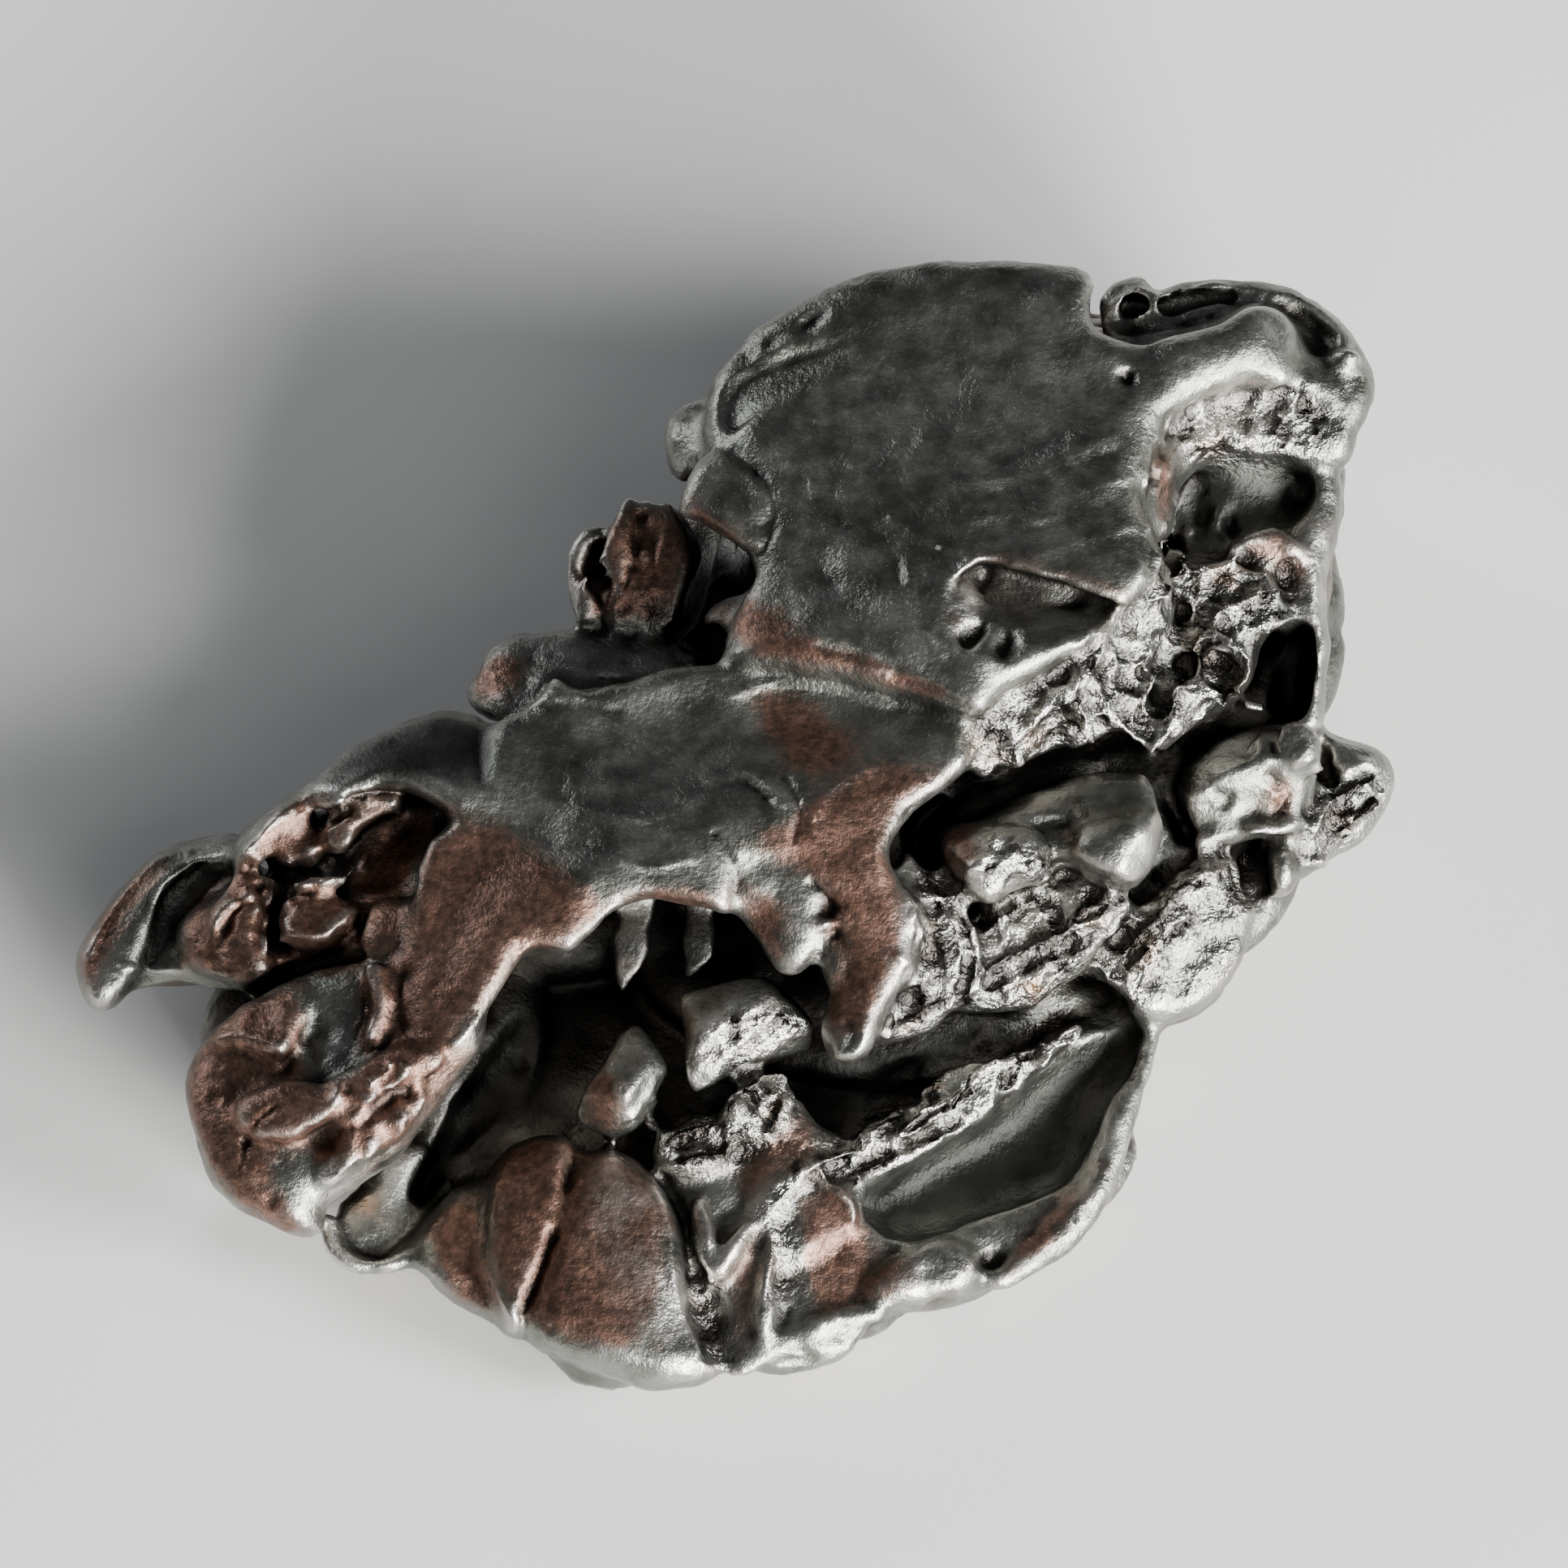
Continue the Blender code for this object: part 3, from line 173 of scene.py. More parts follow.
# %% Balls and heaps
def unit_ball(subdivisions):
    """The corners and the triangles of a ball of radius one."""
    shape = bmesh.new()
    bmesh.ops.create_icosphere(shape, subdivisions=subdivisions, radius=1)
    corners = np.array([v.co for v in shape.verts])
    faces = [[v.index for v in f.verts] for f in shape.faces]
    shape.free()
    return corners, faces


FINE_BALL = unit_ball(4)
SMALL_BALL = unit_ball(2)


class Heap:
    """Corners and faces of many closed forms that run into each other."""

    def __init__(self):
        self.corners = []
        self.faces = []
        self.count = 0

    def add(self, corners, faces):
        self.corners.append(corners)
        self.faces.extend([[k + self.count for k in f] for f in faces])
        self.count += len(corners)


# %% The slab
def slab(heap, rim, front, back, edge, back_edge=None):
    """A form with this outline that swells toward the viewer and away from it, rounded at its edge.

    All three sizes are millimetres: how far it swells out in front, how far behind, and how wide its edge is.
    """
    loop = smooth_path(place(rim), OUTLINE_STEP, True)
    flat = np.stack([loop @ ACROSS, loop @ UPWARD], axis=1)
    low, high = flat.min(0), flat.max(0)
    across, up = np.meshgrid(np.arange(low[0], high[0], FILL_STEP), np.arange(low[1], high[1], FILL_STEP))
    grid = np.stack([across.ravel(), up.ravel()], axis=1)
    grid = grid[inside(grid, flat)]
    grid = grid[far_from(grid, flat) > FILL_STEP * 0.4]
    points = np.concatenate([flat, grid])
    total = len(flat)
    edges = [(i, (i + 1) % total) for i in range(total)]
    filled, _, triangles, _, _, _ = delaunay_2d_cdt([tuple(p) for p in points], edges, [], 1, 1e-7)
    points = np.array(filled)
    triangles = [list(t) for t in triangles]
    away = ((points[:, None] - flat) ** 2).sum(2) + 1e-10
    share = 1 / away ** 1.5
    depth = (share * (loop @ TOWARD)).sum(1) / share.sum(1)
    reach = far_from(points, flat)

    def swell(size, width):
        return size * MM * np.sqrt(1 - (1 - np.minimum(reach / (width * MM), 1)) ** 2)

    base = points[:, :1] * ACROSS + points[:, 1:] * UPWARD
    near = base + (depth + swell(front, edge))[:, None] * TOWARD
    far = base + (depth - swell(back, back_edge or edge))[:, None] * TOWARD
    on_rim = reach < 1e-7
    other = np.arange(len(points)) + len(points)
    other[on_rim] = np.arange(len(points))[on_rim]
    faces = triangles + [[other[k] for k in reversed(t)] for t in triangles]
    heap.add(np.concatenate([near, far]), faces)


def hollow(heap, rim, deep, edge):
    """A cutter that takes out everything in front of this outline, and a bowl this deep behind it."""
    slab(heap, rim, CUT_OUT, deep, 0.25, edge)


# %% The knob, the ridge, the chunk, the pit and the foot
def knob(heap, centre, wide, tall, thick, roll=0):
    """An ellipsoid: its half sizes in the photograph in pixels, then toward the viewer in millimetres."""
    corners, faces = FINE_BALL
    turn = math.radians(roll)
    first = ACROSS * math.cos(turn) + UPWARD * math.sin(turn)
    second = UPWARD * math.cos(turn) - ACROSS * math.sin(turn)
    axes = np.array([first * wide * PIXEL, second * tall * PIXEL, TOWARD * thick * MM])
    heap.add(corners @ axes + place([centre]), faces)


def ridge(heap, path, stretch=1):
    """A rounded ridge along a smooth path of (across, down, up, radius in millimetres)."""
    corners, faces = SMALL_BALL
    rows = np.concatenate([place(path), np.array(path)[:, 3:] * MM], axis=1)
    axes = np.array([ACROSS, UPWARD, TOWARD * stretch])
    for ball in smooth_path(rows, rows[:, 3].min() * 0.4, False):
        heap.add(corners @ axes * ball[3] + ball[:3], faces)


def chunk(heap, corners):
    """The tight skin around a few corners in the photograph, with flat faces."""
    hull_of(heap, place(corners))


def hull_of(heap, spots):
    """The tight skin around a few places."""
    shape = bmesh.new()
    for spot in spots:
        shape.verts.new(spot)
    made = bmesh.ops.convex_hull(shape, input=shape.verts)
    spare = [v for v in made["geom_interior"] + made["geom_unused"] if isinstance(v, bmesh.types.BMVert)]
    bmesh.ops.delete(shape, geom=list(set(spare)), context="VERTS")
    bmesh.ops.recalc_face_normals(shape, faces=shape.faces)
    shape.verts.index_update()
    heap.add(np.array([v.co for v in shape.verts]), [[v.index for v in f.verts] for f in shape.faces])
    shape.free()


def pit(heap, rim, deep):
    """An angular cutter that narrows toward its bottom, this many millimetres behind its rim."""
    ring = place(rim)
    middle = ring.mean(0)
    spots = np.concatenate([middle + (ring - middle) * 1.25 + TOWARD * 2.5 * MM, ring,
                            middle + (ring - middle) * 0.4 - TOWARD * deep * MM])
    hull_of(heap, spots)


def foot(heap, centre, radii, roll=0):
    """An ellipsoid that lies flat on the table, with its radii in millimetres."""
    corners, faces = FINE_BALL
    turn = math.radians(roll)
    axes = np.array([(math.cos(turn), math.sin(turn), 0), (-math.sin(turn), math.cos(turn), 0), (0, 0, 1)])
    heap.add((corners * radii * MM) @ axes + place([centre]), faces)


# %% [markdown]
# ## The forms, from the top down
# Each form below is an outline with its heights. The shield carries the horn at the far right, which ends in a
# lobe. A recess behind the horn's crest holds small folded bits. The wall under the brow is striped by drips
# that ran down while it was hot.

# %% The shield and the horn
def shield(heap):
    """The smooth plate on top, and the horn that it ends in at the far right."""
    slab(heap, [
        (866, 520, 11.6), (868, 480, 11.8), (884, 445, 12), (925, 403, 12.4), (985, 366, 12.8), (1060, 333, 13.2),
        (1150, 312, 13.6), (1240, 312, 13.8), (1322, 321, 13.8), (1350, 342, 13.8), (1344, 380, 13.8),
        (1358, 406, 13.8), (1400, 414, 13.8), (1445, 405, 13.8), (1500, 394, 13.6), (1545, 370, 13.2),
        (1575, 374, 12.9), (1600, 402, 12.4), (1612, 445, 11.9), (1590, 482, 11.8), (1540, 476, 12.3),
        (1490, 492, 12.6), (1446, 516, 12.8), (1424, 560, 13), (1408, 610, 13.2), (1424, 655, 13), (1440, 694, 12.8),
        (1408, 742, 12.8), (1352, 788, 12.6), (1290, 826, 12.6), (1240, 850, 12.6), (1204, 884, 12.4),
        (1120, 858, 12), (1020, 838, 11.8), (930, 826, 11.6), (890, 812, 11.6), (900, 765, 11.8), (926, 696, 12),
        (912, 640, 12), (900, 585, 11.9), (874, 548, 11.6),
    ], 1.5, 6, 2.2)
    slab(heap, [
        (1352, 380, 11.2), (1364, 348, 11.3), (1384, 338, 11.3), (1412, 333, 11.3), (1426, 352, 11.3),
        (1452, 338, 11.3), (1500, 335, 11.3), (1570, 341, 11.2), (1622, 363, 11.1), (1662, 396, 11),
        (1690, 442, 10.7), (1694, 490, 10.5), (1680, 525, 10.3), (1655, 572, 9.8), (1560, 570, 10.2),
        (1450, 570, 10.8), (1390, 470, 11),
    ], 1.4, 6, 1.6)
    slab(heap, [
        (1520, 474, 12.2), (1556, 442, 12.3), (1596, 434, 12.1), (1640, 440, 11.5), (1676, 452, 11),
        (1682, 490, 10.7), (1652, 520, 10.7), (1610, 504, 11), (1560, 486, 11.7),
    ], 1.0, 4, 1.5)
    slab(heap, [
        (1446, 520, 11.4), (1495, 488, 11.6), (1560, 474, 11.4), (1615, 478, 11), (1642, 520, 10.4), (1640, 556, 10),
        (1560, 560, 10), (1500, 556, 10.2), (1452, 566, 10.4),
    ], 0.9, 4, 1.4)
    slab(heap, [
        (1404, 580, 12.2), (1440, 536, 12), (1462, 540, 11.6), (1470, 572, 11), (1452, 610, 10.8), (1444, 660, 10.8),
        (1420, 668, 12),
    ], 1.0, 4, 1.0)
    for drip in range(6):
        across = 1474 + 26 * drip
        ridge(heap, [(across, 498, 11.9 - 0.12 * drip, 0.22), (across + 8, 522, 11.4 - 0.12 * drip, 0.26),
                     (across + 18, 550, 10.7 - 0.06 * drip, 0.22)])
    knob(heap, (1660, 436, 11.6), 20, 16, 0.8)


def lower_plate(heap):
    """The plate one step below the shield, and the smooth finger that hooks down from it."""
    slab(heap, [
        (600, 893, 10.8), (648, 864, 11), (684, 826, 11.2), (704, 838, 11.2), (765, 834, 11.4), (838, 816, 11.6),
        (920, 810, 11.6), (1010, 800, 11.6), (1120, 830, 11.6), (1204, 876, 11.6), (1198, 930, 11.4),
        (1168, 966, 11.2), (1128, 996, 11), (1098, 1034, 10.8), (1040, 1060, 10.8), (975, 1064, 10.8),
        (928, 1064, 10.8), (906, 1090, 10.8), (902, 1124, 10.4), (872, 1116, 10.6), (832, 1110, 10.6),
        (790, 1106, 10.6), (758, 1118, 10.4), (728, 1146, 10.2), (698, 1170, 10.2), (656, 1166, 10),
        (628, 1200, 9.8), (598, 1246, 9.4), (572, 1288, 8.9), (530, 1306, 8.3), (476, 1290, 7.9), (478, 1210, 8.8),
        (500, 1150, 9.4), (506, 1090, 10), (520, 1040, 10.2), (556, 1002, 10.4), (592, 960, 10.8),
    ], 0.9, 4.4, 0.7)
    slab(heap, [
        (1100, 1010, 11), (1096, 1050, 10.8), (1112, 1086, 10.4), (1132, 1114, 10), (1138, 1152, 9.6),
        (1126, 1192, 9.2), (1104, 1230, 8.8), (1086, 1268, 8.4), (1070, 1296, 8.2), (1046, 1309, 8), (1022, 1300, 8),
        (1010, 1270, 8), (1016, 1236, 8.4), (1034, 1200, 8.8), (1036, 1160, 9.4), (1022, 1120, 10),
        (990, 1088, 10.4), (970, 1050, 10.6), (1020, 1000, 11),
    ], 1.4, 3.5, 1.3)
    slab(heap, [
        (906, 1070, 10.9), (950, 1040, 11), (1000, 1050, 11), (1016, 1090, 10.6), (1012, 1140, 10),
        (1006, 1176, 9.4), (980, 1198, 8.9), (952, 1188, 9), (926, 1150, 9.5), (904, 1112, 10.1),
    ], 0.9, 3.5, 1.2)
    slab(heap, [
        (1000, 1070, 10.6), (1060, 1060, 10.8), (1060, 1150, 9.8), (1034, 1214, 9), (1010, 1196, 9),
        (998, 1130, 9.8),
    ], 0.6, 3.2, 0.8)
    ridge(heap, [(1004, 1134, 10.5, 0.25), (1026, 1130, 10.6, 0.3), (1046, 1122, 10.7, 0.25)])


# %% [markdown]
# The far side shows a flat tab, a ribbed lump with folds like a curtain, and a long shoulder. The folds are
# ridges that lean on each other, so that dark lines stay between them.

# %% The far side
def far_side(heap):
    """What stands out behind the plates at the far left: tab, nub, folded lump and shoulder."""
    slab(heap, [
        (832, 632, 12), (838, 595, 12.2), (856, 564, 12.4), (882, 547, 12.4), (912, 556, 12.5), (956, 580, 12.5),
        (964, 620, 12.5), (952, 655, 12.3), (932, 684, 12), (896, 662, 12), (858, 640, 12),
    ], 1.1, 1.8, 0.8)
    slab(heap, [
        (818, 552, 9.6), (814, 522, 9.8), (830, 500, 10), (866, 486, 10.2), (900, 520, 10.6), (890, 580, 10.4),
        (834, 586, 9.4),
    ], 1.2, 3, 1.0)
    slab(heap, [
        (699, 704, 8), (703, 672, 8.2), (722, 650, 8.4), (750, 640, 8.6), (762, 622, 8.8), (780, 610, 9),
        (800, 610, 9), (826, 616, 9), (850, 640, 9.2), (872, 680, 9.2), (850, 730, 8.6), (830, 776, 8.2),
        (770, 774, 8.2), (716, 764, 8), (705, 738, 8),
    ], 1.0, 4, 1.4)
    ridge(heap, [(742, 650, 9.5, 0.42), (718, 662, 9.4, 0.55), (708, 700, 9, 0.5), (712, 744, 8.6, 0.5)])
    ridge(heap, [(776, 616, 10, 0.42), (764, 650, 10, 0.5), (744, 690, 9.8, 0.45), (724, 716, 9.5, 0.4),
                 (722, 756, 8.9, 0.5)])
    ridge(heap, [(798, 616, 10, 0.36), (790, 650, 9.9, 0.5), (776, 700, 9.6, 0.7), (764, 756, 8.9, 0.7)])
    ridge(heap, [(820, 622, 9.9, 0.4), (812, 670, 9.8, 0.5), (800, 720, 9.4, 0.6), (796, 764, 8.8, 0.6)])
    ridge(heap, [(834, 640, 9.9, 0.4), (842, 680, 9.8, 0.5), (834, 720, 9.4, 0.5), (822, 760, 9, 0.5)])
    slab(heap, [
        (572, 858, 7.6), (582, 820, 7.8), (602, 791, 8), (640, 772, 8.2), (700, 767, 8.4), (770, 772, 8.4),
        (840, 790, 8.4), (880, 830, 8.4), (800, 860, 8.4), (700, 880, 8), (610, 892, 7.8),
    ], 1.5, 4, 1.4)
    slab(heap, [
        (860, 762, 10), (884, 736, 10.2), (930, 730, 10.6), (970, 760, 10.8), (930, 784, 10.4), (884, 776, 10),
    ], 1.0, 1.4, 0.6)
    slab(heap, [
        (790, 690, 4.6), (860, 610, 5.4), (960, 620, 6), (960, 780, 5.6), (880, 830, 5), (800, 800, 4.6),
    ], 0.6, 3, 1.2)


# %% The left side
def left_side(heap):
    """The dark lobe at the far left of the lower plate, its bumps, and the claw-shaped spur."""
    slab(heap, [
        (606, 896, 10), (566, 867, 10), (505, 882, 9.8), (442, 911, 9.6), (400, 942, 9.4), (372, 968, 9.2),
        (404, 990, 9.4), (446, 976, 9.6), (486, 966, 9.8), (530, 984, 10), (556, 1004, 10.2), (600, 990, 10.4),
    ], 1.4, 3.4, 1.3)
    slab(heap, [
        (372, 968, 8.6), (384, 988, 8.6), (372, 1010, 8.5), (352, 1030, 8.3), (318, 1062, 7.9), (286, 1064, 7.6),
        (290, 1034, 7.8), (312, 1006, 8.1), (340, 984, 8.4),
    ], 1.5, 3.4, 1.0)
    slab(heap, [
        (376, 990, 8.3), (398, 1010, 8.3), (404, 1040, 8.2), (388, 1064, 8), (352, 1062, 7.9), (340, 1040, 8),
    ], 1.1, 3, 0.8)
    slab(heap, [
        (402, 1014, 8.8), (430, 984, 9), (486, 972, 9.2), (496, 990, 9.2), (452, 1016, 9), (424, 1050, 8.8),
        (404, 1044, 8.7),
    ], 1.0, 3, 0.6)
    ridge(heap, [(366, 1086, 8.8, 0.34), (404, 1088, 8.9, 0.42), (436, 1074, 8.9, 0.42), (454, 1052, 8.9, 0.3)])
    slab(heap, [
        (344, 1142, 8.2), (352, 1112, 8.4), (392, 1100, 8.4), (440, 1108, 8.6), (438, 1132, 8.4), (408, 1160, 8.2),
        (362, 1166, 8),
    ], 1.2, 3, 0.9)
    slab(heap, [
        (438, 1150, 8.5), (450, 1116, 8.8), (486, 1099, 9), (520, 1110, 9.2), (516, 1152, 8.9), (480, 1180, 8.6),
        (448, 1172, 8.5),
    ], 0.9, 3, 0.9)
    slab(heap, [
        (212, 1150, 6.2), (232, 1116, 6.4), (286, 1084, 7), (330, 1074, 7.4), (350, 1090, 7.5), (330, 1120, 7.4),
        (334, 1164, 7.2), (350, 1190, 7), (306, 1216, 6.5), (260, 1202, 6.2), (226, 1184, 6),
    ], 1.7, 2.6, 1.2)
    ridge(heap, [(300, 1060, 7.6, 0.6), (296, 1090, 7.8, 0.6), (270, 1130, 7.6, 0.7)])
    slab(heap, [
        (93, 1186, 5), (101, 1150, 5.2), (130, 1110, 5.4), (166, 1066, 5.6), (202, 1041, 5.8), (244, 1026, 6),
        (300, 1020, 6.6), (330, 1050, 7), (290, 1066, 6.6), (238, 1080, 6), (208, 1120, 5.8), (192, 1160, 5.4),
        (164, 1212, 5), (130, 1244, 4.6), (104, 1226, 4.8),
    ], 1.5, 1.8, 1.1)
    ridge(heap, [(150, 1206, 4.6, 0.5), (220, 1196, 5, 0.5), (290, 1206, 5.6, 0.5)])
    slab(heap, [
        (176, 1190, 4.9), (196, 1120, 5.5), (240, 1072, 6), (296, 1056, 6.6), (300, 1120, 6.8), (236, 1186, 5.8),
    ], 0.6, 2, 0.8)
    slab(heap, [
        (140, 1196, 3.6), (180, 1100, 4.2), (260, 1044, 5), (330, 1070, 5.4), (310, 1196, 4.8), (220, 1214, 4),
    ], 0.6, 1.4, 0.8)
    slab(heap, [
        (320, 1080, 6.4), (420, 980, 7.6), (540, 980, 8.4), (560, 1100, 8.4), (500, 1200, 7.6), (400, 1210, 6.8),
        (300, 1220, 6),
    ], 1.0, 4, 1.4)


def left_lobe(heap):
    """The broad rounded lobe that the lower plate runs down into, and the little hook under it."""
    slab(heap, [
        (520, 1150, 9), (470, 1172, 8.6), (400, 1184, 8), (340, 1208, 7.4), (290, 1238, 7), (260, 1266, 6.6),
        (238, 1298, 6.4), (227, 1332, 6.2), (231, 1372, 6), (242, 1412, 5.8), (264, 1452, 5.6), (302, 1490, 5.4),
        (346, 1512, 5.2), (385, 1521, 5), (406, 1504, 5.2), (404, 1480, 5.4), (450, 1452, 5.8), (492, 1420, 6.2),
        (536, 1366, 7), (566, 1326, 7.6), (600, 1270, 8.8), (590, 1190, 9.2),
    ], 1.8, 3.6, 1.9)
    slab(heap, [
        (250, 1282, 7), (290, 1236, 7.6), (350, 1206, 8), (384, 1200, 8.4), (378, 1262, 8.5), (352, 1300, 8.2),
        (300, 1292, 7.6),
    ], 0.9, 2, 0.8)
    slab(heap, [
        (290, 1350, 7.9), (340, 1326, 8.4), (400, 1330, 8.7), (440, 1344, 8.7), (400, 1380, 8.2), (344, 1400, 7.8),
        (300, 1390, 7.6),
    ], 0.7, 2, 0.7)
    slab(heap, [
        (400, 1330, 8.7), (440, 1306, 9.1), (500, 1276, 9.5), (540, 1286, 9.4), (530, 1316, 9), (480, 1340, 8.8),
        (430, 1372, 8.3), (400, 1376, 8.1),
    ], 0.7, 2.5, 0.6)
    slab(heap, [
        (396, 1420, 7.6), (430, 1384, 8.1), (490, 1350, 8.6), (528, 1340, 8.6), (500, 1392, 7.9), (450, 1428, 7.4),
        (404, 1460, 7),
    ], 0.6, 2.5, 0.6)
    ridge(heap, [(462, 1190, 9.5, 0.5), (470, 1230, 9.4, 0.5), (456, 1270, 9.1, 0.4)])
    ridge(heap, [(406, 1500, 3.4, 0.5), (412, 1530, 3.2, 0.5), (438, 1552, 3, 0.5), (470, 1554, 3, 0.5),
                 (504, 1540, 3, 0.6)])
    slab(heap, [
        (408, 1500, 2.8), (440, 1448, 3.4), (500, 1400, 3.8), (560, 1440, 3), (540, 1530, 2.4), (480, 1556, 2.2),
        (430, 1550, 2.4),
    ], 0.5, 1.6, 0.8)


# %% [markdown]
# Under the broken edge of the shield, the right side is a cliff of torn teeth, with a post at its far end. The
# teeth are ridges that follow the bright lines in the photograph.

# %% The right wall
def right_wall(heap):
    """The post at the far right and the torn metal beside it."""
    slab(heap, [
        (1636, 556, 9.4), (1656, 585, 9.2), (1653, 640, 8.9), (1642, 690, 8.6), (1641, 750, 8.2), (1643, 800, 8),
        (1636, 850, 7.6), (1633, 896, 7.2), (1590, 900, 7.2), (1560, 860, 7.4), (1590, 740, 8.6), (1580, 660, 9),
        (1596, 580, 9.2),
    ], 1.4, 5, 1.1)
    slab(heap, [
        (1430, 680, 9.8), (1512, 684, 9.8), (1560, 690, 9.6), (1596, 738, 9.2), (1560, 790, 9), (1548, 834, 8.6),
        (1520, 864, 8.6), (1486, 880, 8.6), (1456, 900, 8.6), (1430, 924, 8.6), (1404, 900, 8.8), (1410, 780, 9.8),
    ], 1.0, 5, 1.2)
    slab(heap, [
        (1438, 690, 12.4), (1452, 716, 11.8), (1450, 760, 11.2), (1424, 796, 11), (1418, 840, 10.6), (1432, 880, 10),
        (1416, 918, 9.8), (1380, 896, 10), (1340, 912, 10), (1300, 920, 10), (1262, 938, 10.1), (1210, 962, 10.2),
        (1192, 910, 11.4), (1206, 878, 12.1), (1244, 848, 12.3), (1292, 822, 12.3), (1352, 784, 12.4),
        (1404, 740, 12.6),
    ], 0.7, 5, 1.6)
    slab(heap, [
        (1452, 676, 11), (1514, 684, 11), (1560, 704, 10.6), (1584, 730, 10.4), (1598, 750, 10), (1560, 782, 10),
        (1550, 820, 9.9), (1530, 856, 9.6), (1490, 874, 9.4), (1450, 906, 9.4), (1428, 900, 9.4), (1440, 850, 9.8),
        (1470, 800, 9.8), (1456, 740, 10.4),
    ], 0.5, 5, 1.2)
    slab(heap, [
        (1436, 560, 9.6), (1500, 546, 10.2), (1560, 552, 10.6), (1620, 566, 10.2), (1640, 600, 9.8),
        (1632, 650, 9.6), (1590, 690, 9.2), (1540, 700, 8.8), (1490, 700, 8.6), (1440, 690, 8.8),
    ], 0.1, 4, 0.6)
    slab(heap, [
        (1430, 530, 5.4), (1646, 540, 5.4), (1650, 700, 5), (1600, 900, 4.8), (1500, 860, 5), (1430, 700, 5.6),
    ], 0.8, 4, 1.2)
    teeth = [
        [(1222, 862, 12.3, 0.3), (1210, 900, 11.7, 0.5), (1212, 945, 10.6, 0.4)],
        [(1288, 862, 12.3, 0.5), (1262, 882, 12, 0.6), (1246, 912, 11.5, 0.45), (1262, 944, 10.6, 0.35)],
        [(1298, 860, 12.4, 0.4), (1330, 836, 12.6, 0.45), (1350, 800, 12.8, 0.5), (1370, 764, 12.9, 0.4)],
        [(1318, 850, 12.4, 0.4), (1336, 880, 11.8, 0.5), (1344, 908, 11, 0.4)],
        [(1352, 838, 12.4, 0.4), (1366, 868, 11.6, 0.35), (1392, 896, 10.9, 0.35), (1417, 922, 10.2, 0.3)],
        [(1452, 842, 11, 0.3), (1440, 880, 10.8, 0.35), (1417, 922, 10.2, 0.3)],
        [(1416, 700, 13, 0.6), (1428, 720, 12.8, 0.7), (1404, 750, 12.6, 0.5)],
        [(1380, 780, 12.3, 0.45), (1410, 770, 12.1, 0.4), (1440, 760, 11.8, 0.4)],
        [(1372, 820, 12, 0.4), (1398, 812, 11.8, 0.4), (1412, 790, 11.7, 0.35)],
        [(1380, 850, 11.6, 0.35), (1400, 860, 11.3, 0.4), (1420, 838, 11.2, 0.3)],
        [(1456, 846, 10.6, 0.3), (1450, 874, 10.4, 0.45), (1446, 900, 10, 0.4)],
        [(1452, 826, 10.6, 0.25), (1480, 842, 10.6, 0.3), (1508, 864, 10.4, 0.4)],
        [(1484, 778, 11, 0.5), (1504, 786, 11.1, 0.5), (1530, 806, 10.9, 0.45), (1540, 826, 10.5, 0.4),
         (1520, 846, 10.3, 0.4)],
        [(1488, 776, 10.8, 0.4), (1500, 752, 11, 0.4), (1520, 742, 11, 0.4), (1562, 728, 10.8, 0.4),
         (1580, 738, 10.5, 0.3)],
        [(1546, 792, 10.3, 0.3), (1572, 772, 10.4, 0.36), (1600, 748, 10.2, 0.32)],
        [(1536, 776, 10.6, 0.4), (1560, 758, 10.7, 0.36), (1576, 744, 10.6, 0.3)],
        [(1462, 700, 11.2, 0.4), (1470, 724, 11, 0.4)],
        [(1456, 684, 11.4, 0.35), (1476, 694, 11.4, 0.4), (1514, 684, 11.2, 0.3)],
        [(1506, 704, 11, 0.35), (1534, 706, 10.9, 0.35), (1560, 704, 10.7, 0.3)],
        [(1474, 742, 10.8, 0.35), (1476, 764, 10.6, 0.4)],
    ]
    for tooth in teeth:
        ridge(heap, [(across, down, up - 0.15, radius) for across, down, up, radius in tooth])
    for crumb in ((1476, 868, 9.8), (1536, 862, 9.4), (1553, 866, 9.2), (1468, 804, 10.4), (1484, 818, 10.4)):
        knob(heap, crumb, 9, 12, 0.5)
    knob(heap, (1556, 684, 9.3), 40, 24, 1.4, -20)
    ridge(heap, [(1478, 640, 9, 0.3), (1500, 622, 9.3, 0.36), (1512, 606, 9.3, 0.3)])
    knob(heap, (1610, 834, 7.9), 20, 22, 1.2)


# %% [markdown]
# Four rounded knobs push out from under the cliff. The nearest is a pair joined by a saddle. Beyond it stands
# a block with flat, worn faces, made as a chunk, and a far knob at the tip. A flaky plate slants below.

